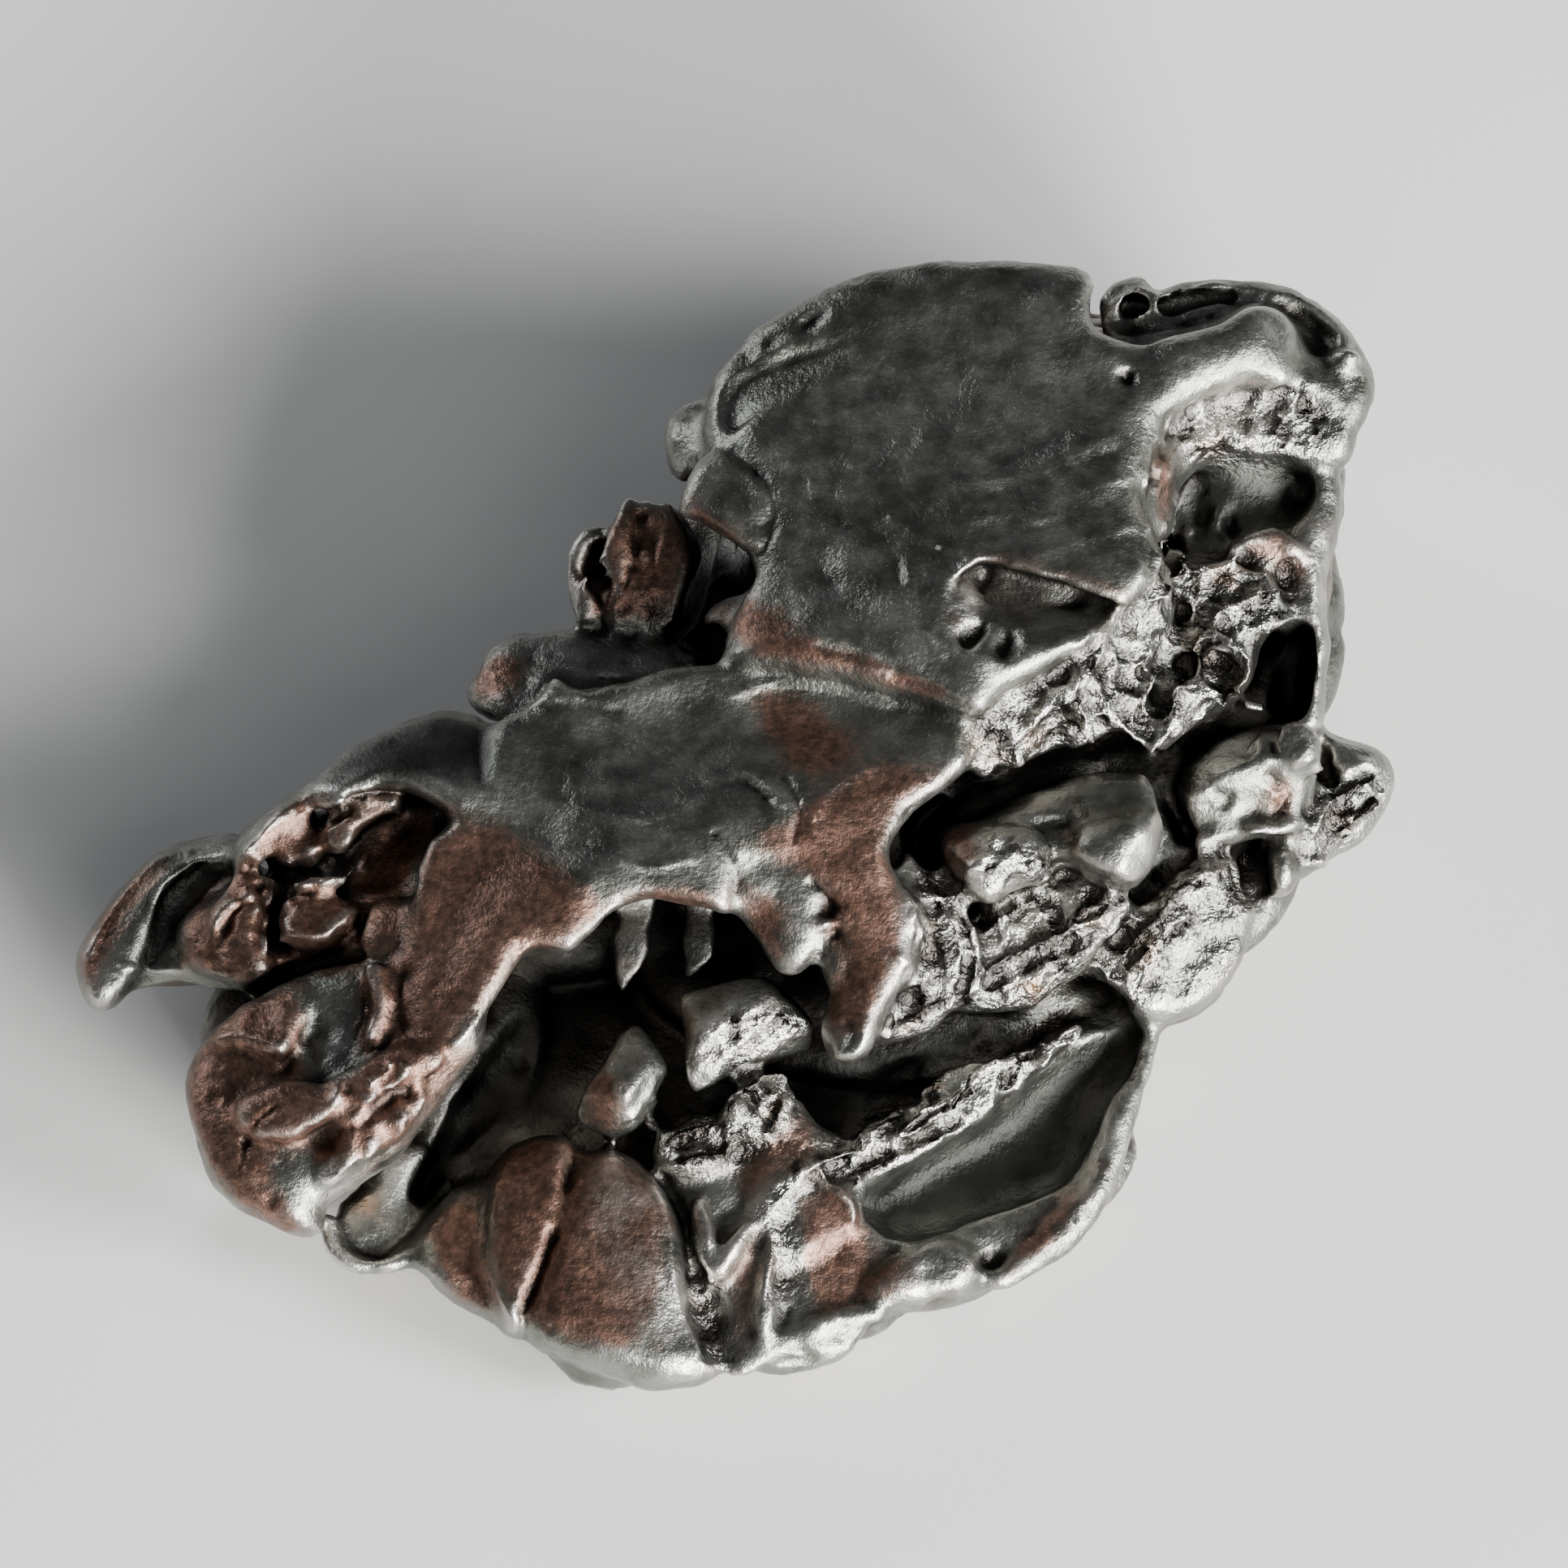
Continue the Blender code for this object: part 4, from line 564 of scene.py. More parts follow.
# %% The right knobs
def right_knobs(heap):
    """The twin knob, the faceted block beyond it, the far knob and the flaky plate below."""
    slab(heap, [
        (1148, 1036, 8.8), (1162, 1012, 9), (1200, 1000, 9.2), (1250, 1000, 9.4), (1290, 1018, 9.3), (1304, 1050, 9),
        (1290, 1082, 8.7), (1248, 1094, 8.7), (1218, 1114, 8.5), (1188, 1100, 8.5), (1162, 1072, 8.6),
    ], 2.8, 5, 1.8)
    slab(heap, [
        (1308, 1030, 9.2), (1330, 1002, 9.5), (1370, 990, 9.7), (1416, 986, 9.6), (1434, 1012, 9.4), (1426, 1052, 9),
        (1406, 1084, 8.8), (1378, 1095, 8.6), (1340, 1080, 8.8), (1316, 1056, 9),
    ], 2.6, 5, 1.6)
    slab(heap, [
        (1196, 1010, 9), (1262, 972, 9.4), (1340, 948, 9.6), (1410, 944, 9.6), (1424, 970, 9.5), (1420, 1006, 9.3),
        (1360, 1020, 9.2), (1330, 1060, 8.8), (1280, 1060, 8.7), (1230, 1030, 8.9),
    ], 1.2, 5, 1.3)
    chunk(heap, [
        (1448, 968, 7.4), (1466, 920, 7.8), (1536, 886, 8), (1592, 884, 8), (1466, 980, 8), (1506, 950, 8.8),
        (1566, 922, 9), (1462, 1004, 7.2), (1500, 1012, 7.2), (1546, 1006, 7.2), (1606, 950, 8.2), (1594, 1014, 6.8),
        (1626, 930, 7.4), (1626, 980, 6.8), (1460, 980, 4.4), (1620, 900, 4.2), (1610, 1010, 4.2), (1500, 1030, 4.2),
        (1500, 900, 4.6),
    ])
    knob(heap, (1602, 918, 8.6), 28, 34, 1.0)
    ridge(heap, [(1540, 1016, 7.4, 0.35), (1570, 1018, 7.2, 0.35), (1604, 1008, 6.9, 0.35)])
    slab(heap, [
        (1464, 1012, 6.8), (1520, 1008, 6.8), (1600, 1000, 6.6), (1640, 980, 6.4), (1630, 1040, 5.8),
        (1560, 1030, 6), (1500, 1044, 6.4), (1470, 1050, 6.6),
    ], 0.9, 3.5, 0.9)
    slab(heap, [
        (1624, 892, 5.8), (1680, 907, 5.6), (1712, 926, 5.4), (1722, 956, 5.2), (1713, 986, 5), (1692, 1018, 4.8),
        (1664, 1046, 4.6), (1632, 1064, 4.6), (1596, 1092, 4.4), (1560, 1110, 4.4), (1560, 1040, 5),
        (1600, 960, 5.6),
    ], 1.6, 3, 1.4)
    slab(heap, [
        (1556, 1068, 5.4), (1562, 1038, 5.8), (1584, 1030, 5.8), (1604, 1044, 5.6), (1606, 1078, 5.2),
        (1588, 1106, 4.8), (1566, 1100, 5),
    ], 1.6, 3, 0.9)
    knob(heap, (1626, 1054, 5.4), 17, 17, 0.9)
    slab(heap, [
        (1396, 1126, 6.4), (1438, 1066, 6.8), (1490, 1044, 6.8), (1526, 1052, 6.4), (1534, 1086, 6),
        (1552, 1116, 5.4), (1536, 1160, 4.8), (1520, 1200, 4.4), (1470, 1246, 4), (1430, 1256, 4), (1384, 1240, 4.6),
        (1350, 1216, 5), (1344, 1188, 5.4), (1376, 1160, 5.8),
    ], 1.2, 3.5, 1.2)
    slab(heap, [
        (1448, 1168, 5), (1468, 1148, 5.2), (1508, 1134, 5.2), (1536, 1140, 5), (1536, 1166, 4.8), (1520, 1198, 4.4),
        (1490, 1222, 4.2), (1452, 1236, 4.2), (1432, 1220, 4.4), (1438, 1192, 4.6),
    ], 1.5, 2.6, 1.1)
    slab(heap, [
        (1420, 1254, 3), (1452, 1228, 3.2), (1500, 1204, 3.4), (1510, 1220, 3.2), (1474, 1250, 2.8),
        (1436, 1262, 2.8),
    ], 0.9, 1.6, 0.7)


# %% The broken face and the front chunks
def broken_face(heap):
    """The torn, striated metal between the finger and the twin knob."""
    slab(heap, [
        (1110, 1040, 9.4), (1150, 1064, 9.2), (1190, 1108, 8.8), (1206, 1150, 8.2), (1212, 1206, 7.4),
        (1180, 1246, 6.8), (1140, 1272, 6.6), (1098, 1286, 6.6), (1060, 1270, 7), (1080, 1160, 8.6),
    ], 1.0, 4, 1.4)
    slab(heap, [
        (1196, 1130, 7), (1256, 1088, 7.4), (1316, 1066, 7.6), (1384, 1096, 7.2), (1398, 1112, 7), (1372, 1152, 6.6),
        (1342, 1190, 6.2), (1304, 1216, 6), (1262, 1244, 5.6), (1212, 1250, 5.6), (1176, 1240, 6),
    ], 1.2, 4, 1.4)
    slab(heap, [
        (1310, 1122, 7.6), (1358, 1094, 7.8), (1396, 1108, 7.4), (1384, 1140, 7), (1322, 1150, 7.2),
    ], 1.0, 2, 0.9)


def front_knobs(heap):
    """The chunks in the mouth of the big hollow, and the wedges that hang over it."""
    chunk(heap, [
        (834, 1218, 7.6), (880, 1202, 7.8), (914, 1190, 7.8), (944, 1196, 7.7), (976, 1226, 7.4), (862, 1262, 8.0),
        (884, 1256, 8.2), (926, 1236, 8.3), (960, 1240, 8.1), (1004, 1252, 7.3), (846, 1322, 6.8), (852, 1342, 6.2),
        (870, 1332, 6.6), (922, 1300, 6.7), (988, 1272, 6.5), (1002, 1288, 5.6), (850, 1240, 4.2), (980, 1230, 4.6),
        (864, 1336, 3.6), (980, 1290, 4),
    ])
    chunk(heap, [
        (768, 1262, 6.9), (778, 1250, 6.9), (792, 1258, 6.7), (752, 1298, 7.4), (716, 1338, 6.6), (706, 1362, 5.8),
        (712, 1386, 5.2), (752, 1400, 5.0), (776, 1344, 7.3), (800, 1306, 7.2), (828, 1308, 6.4), (800, 1340, 6.2),
        (802, 1380, 5.2), (776, 1398, 5), (730, 1370, 3.6), (790, 1380, 3.6), (780, 1280, 4.4),
    ])
    slab(heap, [
        (800, 1402, 5.2), (808, 1380, 5.4), (850, 1366, 5.6), (900, 1366, 5.7), (914, 1400, 5.4), (904, 1430, 5.1),
        (866, 1448, 4.9), (826, 1444, 4.9), (804, 1424, 5),
    ], 1.1, 3, 1.0)
    slab(heap, [
        (888, 1364, 6), (906, 1330, 6.4), (944, 1314, 6.4), (978, 1324, 6.2), (986, 1362, 5.8), (962, 1400, 5.4),
        (926, 1412, 5.4), (904, 1394, 5.6),
    ], 0.9, 3, 0.9)
    ridge(heap, [(896, 1372, 6.9, 0.3), (900, 1350, 7.1, 0.34), (920, 1340, 7.2, 0.34), (936, 1352, 7.1, 0.3),
                 (930, 1370, 6.9, 0.26)])
    slab(heap, [
        (806, 1430, 4.5), (880, 1400, 5.1), (960, 1390, 5.3), (1050, 1416, 4.9), (1064, 1490, 4.2), (960, 1560, 4.2),
        (870, 1540, 4.2), (836, 1470, 4.3),
    ], 0.3, 2.5, 0.8)
    slab(heap, [
        (890, 1560, 4.1), (926, 1496, 4.8), (966, 1496, 4.8), (956, 1600, 3.9), (936, 1680, 3), (890, 1680, 2.9),
    ], 0.2, 2, 0.5)
    slab(heap, [
        (950, 1376, 5.2), (985, 1340, 5.2), (1004, 1372, 5), (1044, 1396, 4.9), (1010, 1440, 4.7), (950, 1500, 4.4),
        (922, 1496, 4.4), (912, 1464, 4.6), (930, 1420, 4.9),
    ], 0.8, 3, 1.2)
    ridge(heap, [(930, 1488, 5, 0.36), (956, 1456, 5.3, 0.4), (990, 1432, 5.5, 0.4), (1030, 1420, 5.6, 0.4),
                 (1064, 1400, 5.7, 0.4)])
    chunk(heap, [
        (752, 1150, 8.2), (806, 1150, 8.2), (800, 1172, 7.9), (784, 1196, 7.6), (764, 1222, 7), (758, 1180, 7.8),
        (752, 1150, 6), (806, 1150, 6), (764, 1206, 5.8), (770, 1096, 8.4), (810, 1090, 8.4),
    ])
    chunk(heap, [
        (838, 1150, 8.2), (880, 1150, 8.2), (882, 1176, 7.9), (860, 1196, 7.5), (842, 1208, 7.1), (838, 1150, 6),
        (882, 1150, 6), (842, 1196, 5.6), (846, 1096, 8.4), (880, 1100, 8.4),
    ])


# %% [markdown]
# The front of the lump is a big smooth boss with folds at its left, blades at its right, and a dark hollow
# shell with a thick lip. A jagged beam crosses over the shell.

# %% The boss and its blades
def bottom_boss(heap):
    """The big smooth boss at the front with the folds on its left, and the blades on its right."""
    slab(heap, [
        (654, 1646, 2.8), (640, 1570, 3.4), (656, 1496, 4), (690, 1432, 4.4), (742, 1404, 4.6), (790, 1424, 4.4),
        (834, 1480, 4), (852, 1540, 3.6), (864, 1600, 3), (892, 1650, 2.6), (888, 1690, 2.4), (850, 1706, 2.2),
        (800, 1709, 2.2), (740, 1692, 2.4), (694, 1672, 2.6),
    ], 2.6, 2.6, 2.2)
    slab(heap, [
        (592, 1500, 4), (598, 1438, 4.4), (640, 1396, 4.6), (682, 1386, 4.8), (716, 1404, 4.8), (730, 1460, 4.5),
        (730, 1540, 4), (700, 1600, 3.3), (670, 1640, 2.8), (620, 1636, 3), (598, 1580, 3.4),
    ], 2.0, 2.6, 1.7)
    slab(heap, [
        (506, 1546, 3), (520, 1500, 3.4), (560, 1454, 3.8), (592, 1452, 4), (612, 1520, 3.6), (630, 1590, 3),
        (650, 1640, 2.6), (602, 1622, 2.6), (560, 1600, 2.6), (524, 1576, 2.8),
    ], 1.4, 2.2, 1.3)
    slab(heap, [
        (664, 1650, 1.8), (720, 1664, 1.8), (784, 1694, 1.6), (766, 1712, 1.4), (728, 1711, 1.4), (696, 1690, 1.6),
    ], 0.8, 1.1, 0.7)
    slab(heap, [
        (840, 1440, 4), (880, 1440, 4.2), (912, 1470, 4), (928, 1510, 3.8), (912, 1570, 3.4), (902, 1620, 3),
        (900, 1676, 2.6), (880, 1690, 2.4), (850, 1600, 3), (836, 1520, 3.6),
    ], 0.8, 2.4, 1.0)
    chunk(heap, [
        (850, 1476, 5), (862, 1462, 5.1), (880, 1500, 5.1), (884, 1546, 4.9), (868, 1572, 4.6), (856, 1530, 4.8),
        (872, 1520, 5.4), (850, 1500, 3), (880, 1560, 3),
    ])
    chunk(heap, [
        (932, 1496, 5.1), (916, 1496, 5.3), (896, 1520, 5.2), (872, 1560, 4.8), (864, 1580, 4.5), (884, 1590, 4.3),
        (910, 1550, 4.6), (928, 1520, 4.8), (900, 1540, 5.3), (900, 1540, 3), (870, 1580, 3),
    ])
    chunk(heap, [
        (856, 1446, 4.7), (900, 1436, 4.9), (916, 1470, 4.9), (912, 1500, 4.6), (888, 1512, 4.5), (866, 1480, 4.6),
        (890, 1460, 5.1), (880, 1480, 3),
    ])
    slab(heap, [
        (930, 1500, 4), (962, 1480, 4.2), (988, 1470, 4.2), (1044, 1446, 4.2), (1058, 1490, 3.8), (1076, 1540, 3.2),
        (1076, 1612, 2.6), (1050, 1664, 2.2), (1000, 1685, 2), (930, 1690, 2), (904, 1680, 2.2), (912, 1620, 2.8),
        (926, 1560, 3.4),
    ], 0.9, 2.2, 1.0)
    ridge(heap, [(954, 1510, 4.8, 0.4), (950, 1560, 4.5, 0.45), (942, 1604, 4, 0.6), (940, 1650, 3.3, 0.5),
                 (980, 1638, 3.2, 0.36), (1006, 1628, 3.2, 0.3)])
    ridge(heap, [(906, 1678, 2.8, 0.3), (950, 1664, 3, 0.36), (1000, 1654, 2.9, 0.45), (1044, 1650, 2.7, 0.4)])
    ridge(heap, [(1004, 1628, 3.4, 0.36), (1040, 1616, 3.4, 0.36), (1080, 1612, 3.2, 0.4)])
    ridge(heap, [(1022, 1450, 5, 0.4), (1044, 1476, 4.8, 0.4), (1052, 1500, 4.4, 0.3)])
    ridge(heap, [(938, 1490, 5, 0.5), (962, 1466, 5.2, 0.5), (990, 1440, 5.2, 0.5)])
    knob(heap, (1054, 1634, 2.8), 12, 10, 0.5)


# %% The hollow shell and the beam
def shell(heap):
    """The dark hollow shell at the front right: its floor, its thick lip and the beam across it."""
    slab(heap, [
        (1330, 1236, 3), (1428, 1246, 2.8), (1428, 1290, 2.6), (1410, 1330, 2.4), (1386, 1372, 2.4),
        (1376, 1422, 2.2), (1356, 1470, 2.2), (1320, 1522, 2), (1280, 1556, 2), (1230, 1586, 1.8), (1176, 1604, 1.8),
        (1120, 1613, 1.8), (1060, 1620, 2), (1040, 1540, 2.6), (1050, 1440, 3.2), (1180, 1350, 3.2),
    ], 1.6, 1.9, 1.3)
    slab(heap, [
        (1000, 1424, 4.9), (1044, 1400, 5), (1060, 1376, 5.1), (1104, 1364, 5.2), (1130, 1340, 5.3),
        (1162, 1312, 5.4), (1206, 1298, 5.5), (1256, 1282, 5.6), (1326, 1250, 5.8), (1342, 1262, 5.4),
        (1300, 1306, 4.9), (1252, 1338, 4.6), (1224, 1362, 4.5), (1196, 1388, 4.4), (1150, 1408, 4.3),
        (1100, 1432, 4.2), (1060, 1456, 4.1), (1020, 1450, 4.2),
    ], 0.5, 3, 1.2)
    ridge(heap, [(1056, 1448, 4.5, 0.24), (1110, 1424, 4.6, 0.28), (1160, 1400, 4.7, 0.24)])
    ridge(heap, [(1110, 1392, 5.6, 0.4), (1150, 1366, 5.8, 0.5), (1190, 1336, 6, 0.5), (1204, 1324, 6, 0.3)])
    slab(heap, [
        (1058, 1572, 3), (1098, 1542, 3.4), (1150, 1512, 3.6), (1192, 1520, 3.4), (1214, 1550, 3), (1192, 1592, 2.6),
        (1120, 1609, 2.4), (1074, 1609, 2.6),
    ], 1.7, 2, 1.2)
    ridge(heap, [(1412, 1270, 3.6, 0.7), (1404, 1320, 3.6, 0.7), (1378, 1370, 3.6, 0.8), (1364, 1430, 3.4, 0.8),
                 (1336, 1480, 3.2, 0.9), (1290, 1530, 3, 0.9), (1230, 1568, 2.8, 0.8)])


# %% The core and the table side
def core(heap):
    """The solid metal that the forms grow from."""
    slab(heap, [
        (900, 560, 7), (960, 460, 7), (1060, 400, 7), (1240, 370, 7), (1400, 400, 7), (1560, 420, 6.6),
        (1630, 500, 6.4), (1600, 620, 6), (1600, 760, 5.6), (1600, 900, 5), (1560, 1020, 4.6), (1460, 1120, 4.6),
        (1340, 1190, 4.6), (1200, 1210, 5), (1060, 1200, 5.4), (960, 1100, 6.4), (860, 1060, 6.4), (740, 1080, 6.4),
        (620, 1180, 6), (500, 1300, 5.4), (400, 1400, 4.4), (310, 1400, 4.2), (300, 1300, 4.6), (400, 1180, 5.4),
        (480, 1040, 6), (560, 930, 6.4), (700, 860, 6.8), (840, 780, 7), (880, 680, 7),
    ], 1.5, 5, 3)


def table_side(heap):
    """The rough back that the lump lies on."""
    for centre, radii, roll in (
        ((1200, 520, 3.0), (11, 6.5, 2.6), 10),
        ((1440, 760, 3.0), (8, 10, 2.5), 0),
        ((1150, 800, 3.0), (12, 9, 2.4), 0),
        ((1420, 1060, 2.8), (7, 6, 2.2), 20),
        ((1100, 1140, 2.6), (12, 8, 2.0), 0),
        ((760, 1040, 3.0), (11, 6, 2.4), 20),
        ((460, 1270, 2.6), (8, 7, 2.0), 30),
        ((700, 1330, 1.35), (10, 7, 1.0), 30),
        ((1060, 1400, 1.35), (12, 6.5, 1.0), 15),
        ((790, 1560, 1.8), (7, 4.5, 1.5), 0),
        ((1200, 1470, 1.4), (8, 4, 1.1), 28),
        ((1000, 1590, 1.3), (6, 3, 1.2), 20),
        ((1200, 560, 1.3), (5, 3.5, 1.3), 10),
        ((1490, 700, 1.3), (3.5, 4.5, 1.3), 0),
        ((1470, 1060, 1.2), (4, 3.5, 1.2), 0),
        ((720, 1010, 1.3), (4.5, 3.5, 1.3), 20),
        ((400, 1330, 1.4), (4.5, 3.5, 1.4), 30),
        ((790, 1560, 0.9), (4.5, 3, 0.9), 0),
        ((1180, 1490, 0.9), (5, 2.6, 0.9), 25),
    ):
        foot(heap, centre, radii, roll)


# %% [markdown]
# The hollows are cutters with the same pixels and storeys. Each takes out everything in front of its outline
# and leaves a bowl behind it. The gaps between the knobs are ridges stretched along the line of sight.

# %% The hollows of the shield and the horn
def top_hollows(heap):
    """The pits, steps and grooves of the shield and the horn."""
    hollow(heap, [
        (1360, 398, 11.6), (1356, 366, 11.6), (1374, 350, 11.6), (1420, 360, 11.6), (1480, 350, 11.6),
        (1560, 352, 11.6), (1612, 372, 11.5), (1650, 408, 11.3), (1636, 430, 11.4), (1616, 432, 11.5),
        (1596, 396, 11.5), (1570, 368, 11.6), (1540, 366, 11.6), (1500, 388, 11.6), (1440, 400, 11.6),
        (1400, 407, 11.6),
    ], 0.8, 0.5)
    hollow(heap, [
        (1454, 600, 11), (1466, 574, 11.2), (1498, 553, 11.4), (1560, 558, 11), (1604, 564, 10.4), (1622, 590, 9.9),
        (1616, 622, 9.6), (1594, 646, 9.5), (1560, 654, 9.7), (1532, 668, 9.9), (1506, 686, 10.2), (1466, 684, 10.6),
        (1450, 650, 10.8),
    ], 1.7, 2.4)
    pit(heap, [(1450, 640, 10.2), (1454, 590, 10.4), (1480, 566, 10.6), (1536, 560, 10.6), (1516, 590, 10),
               (1494, 620, 9.8), (1476, 676, 9.9), (1458, 668, 10)], 1.4)
    pit(heap, [(1502, 644, 9.6), (1514, 616, 9.8), (1534, 622, 9.6), (1530, 656, 9.4), (1510, 676, 9.4)], 1.2)
    hollow(heap, [
        (1150, 790, 14), (1166, 724, 13.8), (1190, 692, 13.3), (1240, 694, 13.1), (1300, 708, 13), (1360, 730, 12.9),
        (1404, 750, 12.7), (1392, 775, 13), (1340, 800, 13.5), (1284, 830, 13.7), (1220, 840, 13.9), (1170, 830, 14),
    ], 0.12, 0.9)
    pit(heap, [(1194, 706, 13.3), (1206, 688, 13.3), (1238, 692, 13.3), (1226, 708, 13.1), (1206, 750, 13)], 0.9)
    pit(heap, [(1176, 778, 13.6), (1192, 768, 13.5), (1218, 756, 13.3), (1210, 782, 13.2), (1190, 802, 13.4)], 0.7)
    pit(heap, [(1276, 744, 13), (1296, 728, 13.1), (1340, 732, 13), (1354, 746, 12.9), (1310, 752, 12.9)], 0.9)
    pit(heap, [(1216, 800, 13.5), (1240, 768, 13.2), (1258, 792, 13.3), (1240, 816, 13.5)], 0.4)
    pit(heap, [(1372, 458, 14.1), (1386, 446, 14.1), (1392, 450, 14.1), (1406, 462, 14), (1390, 474, 14)], 0.7)
    pit(heap, [(1376, 770, 12.6), (1400, 756, 12.4), (1410, 770, 12.2), (1390, 784, 12.4)], 0.5)
    hollow(heap, [
        (884, 505, 12.4), (898, 462, 12.6), (950, 432, 13), (1020, 412, 13.4), (1090, 388, 13.8), (1120, 400, 13.9),
        (1060, 440, 13.6), (980, 476, 13.1), (926, 512, 12.7), (896, 530, 12.4),
    ], 0.35, 1.0)
    hollow(heap, [
        (1042, 386, 13.8), (1080, 358, 14), (1130, 338, 14.2), (1180, 330, 14.4), (1160, 352, 14.4),
        (1110, 376, 14.2), (1066, 400, 14),
    ], 0.35, 0.8)
    pit(heap, [(972, 400, 13.2), (990, 378, 13.4), (1028, 368, 13.5), (1016, 390, 13.5), (994, 404, 13.3)], 0.5)
    pit(heap, [(926, 430, 12.9), (946, 404, 13.1), (982, 394, 13.3), (970, 412, 13.3), (940, 430, 13.1)], 0.5)
    pit(heap, [(1444, 532, 12.9), (1460, 514, 12.9), (1480, 528, 12.7), (1464, 542, 12.6)], 0.6)
    pit(heap, [(1620, 504, 11.5), (1628, 488, 11.6), (1638, 500, 11.5), (1630, 520, 11.3)], 0.8)


# %% The gaps on the right
def gap_hollows(heap):
    """The black gaps between the plates and the knobs on the right."""
    hollow(heap, [
        (1556, 840, 8), (1566, 796, 8.4), (1600, 762, 9), (1618, 766, 8.8), (1622, 800, 8.4), (1616, 850, 7.8),
        (1608, 880, 7.4), (1576, 886, 7.2), (1556, 872, 7.4),
    ], 3.2, 0.9)
    ridge(heap, [(1150, 992, 9, 0.5), (1200, 970, 9, 0.55), (1270, 944, 9.2, 0.55), (1340, 924, 9.4, 0.5),
                 (1400, 920, 9, 0.5), (1440, 936, 8.2, 0.5), (1490, 898, 8, 0.6), (1560, 872, 7.8, 0.45)], 4)
    ridge(heap, [(1160, 984, 8.4, 0.55), (1130, 1012, 8.2, 0.65), (1130, 1044, 8, 0.6), (1146, 1084, 7.8, 0.45),
                 (1174, 1120, 7.4, 0.34), (1204, 1158, 6.8, 0.16)], 4)
    ridge(heap, [(1438, 956, 7.6, 0.4), (1446, 990, 7, 0.4), (1462, 1024, 6.6, 0.5)], 4)
    ridge(heap, [(1442, 1060, 6.4, 0.25), (1412, 1104, 6.2, 0.25)], 3)
    ridge(heap, [(1452, 696, 10.9, 0.18), (1458, 730, 10.5, 0.24), (1452, 764, 10.3, 0.22)], 3)
    ridge(heap, [(1436, 800, 10.4, 0.4), (1456, 810, 10.2, 0.5), (1470, 836, 10, 0.3)], 2.4)
    ridge(heap, [(1420, 836, 10.2, 0.14), (1420, 870, 9.9, 0.2), (1424, 896, 9.6, 0.14)], 4)
    ridge(heap, [(1396, 850, 10.8, 0.1), (1398, 880, 10.4, 0.14)], 4)
    ridge(heap, [(1226, 862, 11.8, 0.16), (1222, 900, 11.2, 0.22), (1228, 946, 10.2, 0.2)], 3)
    ridge(heap, [(1302, 906, 10.6, 0.26), (1314, 912, 10.4, 0.2)], 3)
    ridge(heap, [(1498, 704, 10.9, 0.3), (1492, 730, 10.7, 0.24)], 3)
    ridge(heap, [(1540, 1040, 5.9, 0.26), (1532, 1074, 5.5, 0.34), (1548, 1108, 4.9, 0.24)], 3)
    ridge(heap, [(1350, 1194, 5.5, 0.26), (1372, 1176, 5.8, 0.16), (1398, 1124, 6.3, 0.1)], 2)
    ridge(heap, [(1634, 890, 7, 0.3), (1630, 930, 6.6, 0.3), (1642, 960, 6.2, 0.25)], 3)
    hollow(heap, [
        (1302, 1222, 5.2), (1332, 1204, 5.2), (1374, 1212, 5), (1398, 1244, 4.6), (1386, 1264, 4.4),
        (1350, 1268, 4.4), (1326, 1246, 4.8),
    ], 2.0, 0.8)
    hollow(heap, [
        (972, 1316, 5), (1000, 1308, 5.4), (1048, 1314, 5.6), (1086, 1292, 5.8), (1150, 1276, 5.8),
        (1204, 1254, 5.8), (1256, 1240, 5.8), (1290, 1244, 5.8), (1252, 1262, 5.4), (1200, 1288, 5.2),
        (1154, 1310, 5), (1122, 1342, 4.6), (1076, 1366, 4.4), (1050, 1396, 4.2), (1014, 1396, 4.2),
        (986, 1352, 4.6),
    ], 3.6, 0.9)
    hollow(heap, [
        (1068, 1462, 3.7), (1120, 1428, 3.8), (1190, 1388, 3.9), (1240, 1352, 4), (1294, 1308, 4.1),
        (1344, 1272, 4.1), (1384, 1250, 4), (1408, 1262, 3.8), (1396, 1308, 3.6), (1366, 1354, 3.4),
        (1346, 1404, 3.2), (1316, 1448, 3.2), (1288, 1466, 3.2), (1236, 1486, 3.1), (1190, 1500, 3.1),
        (1128, 1522, 3.1), (1082, 1512, 3.2), (1066, 1486, 3.4),
    ], 1.6, 1.8)
    pit(heap, [(1200, 1552, 3.4), (1214, 1534, 3.7), (1252, 1522, 3.7), (1240, 1546, 3.4), (1218, 1562, 3.2)], 0.7)


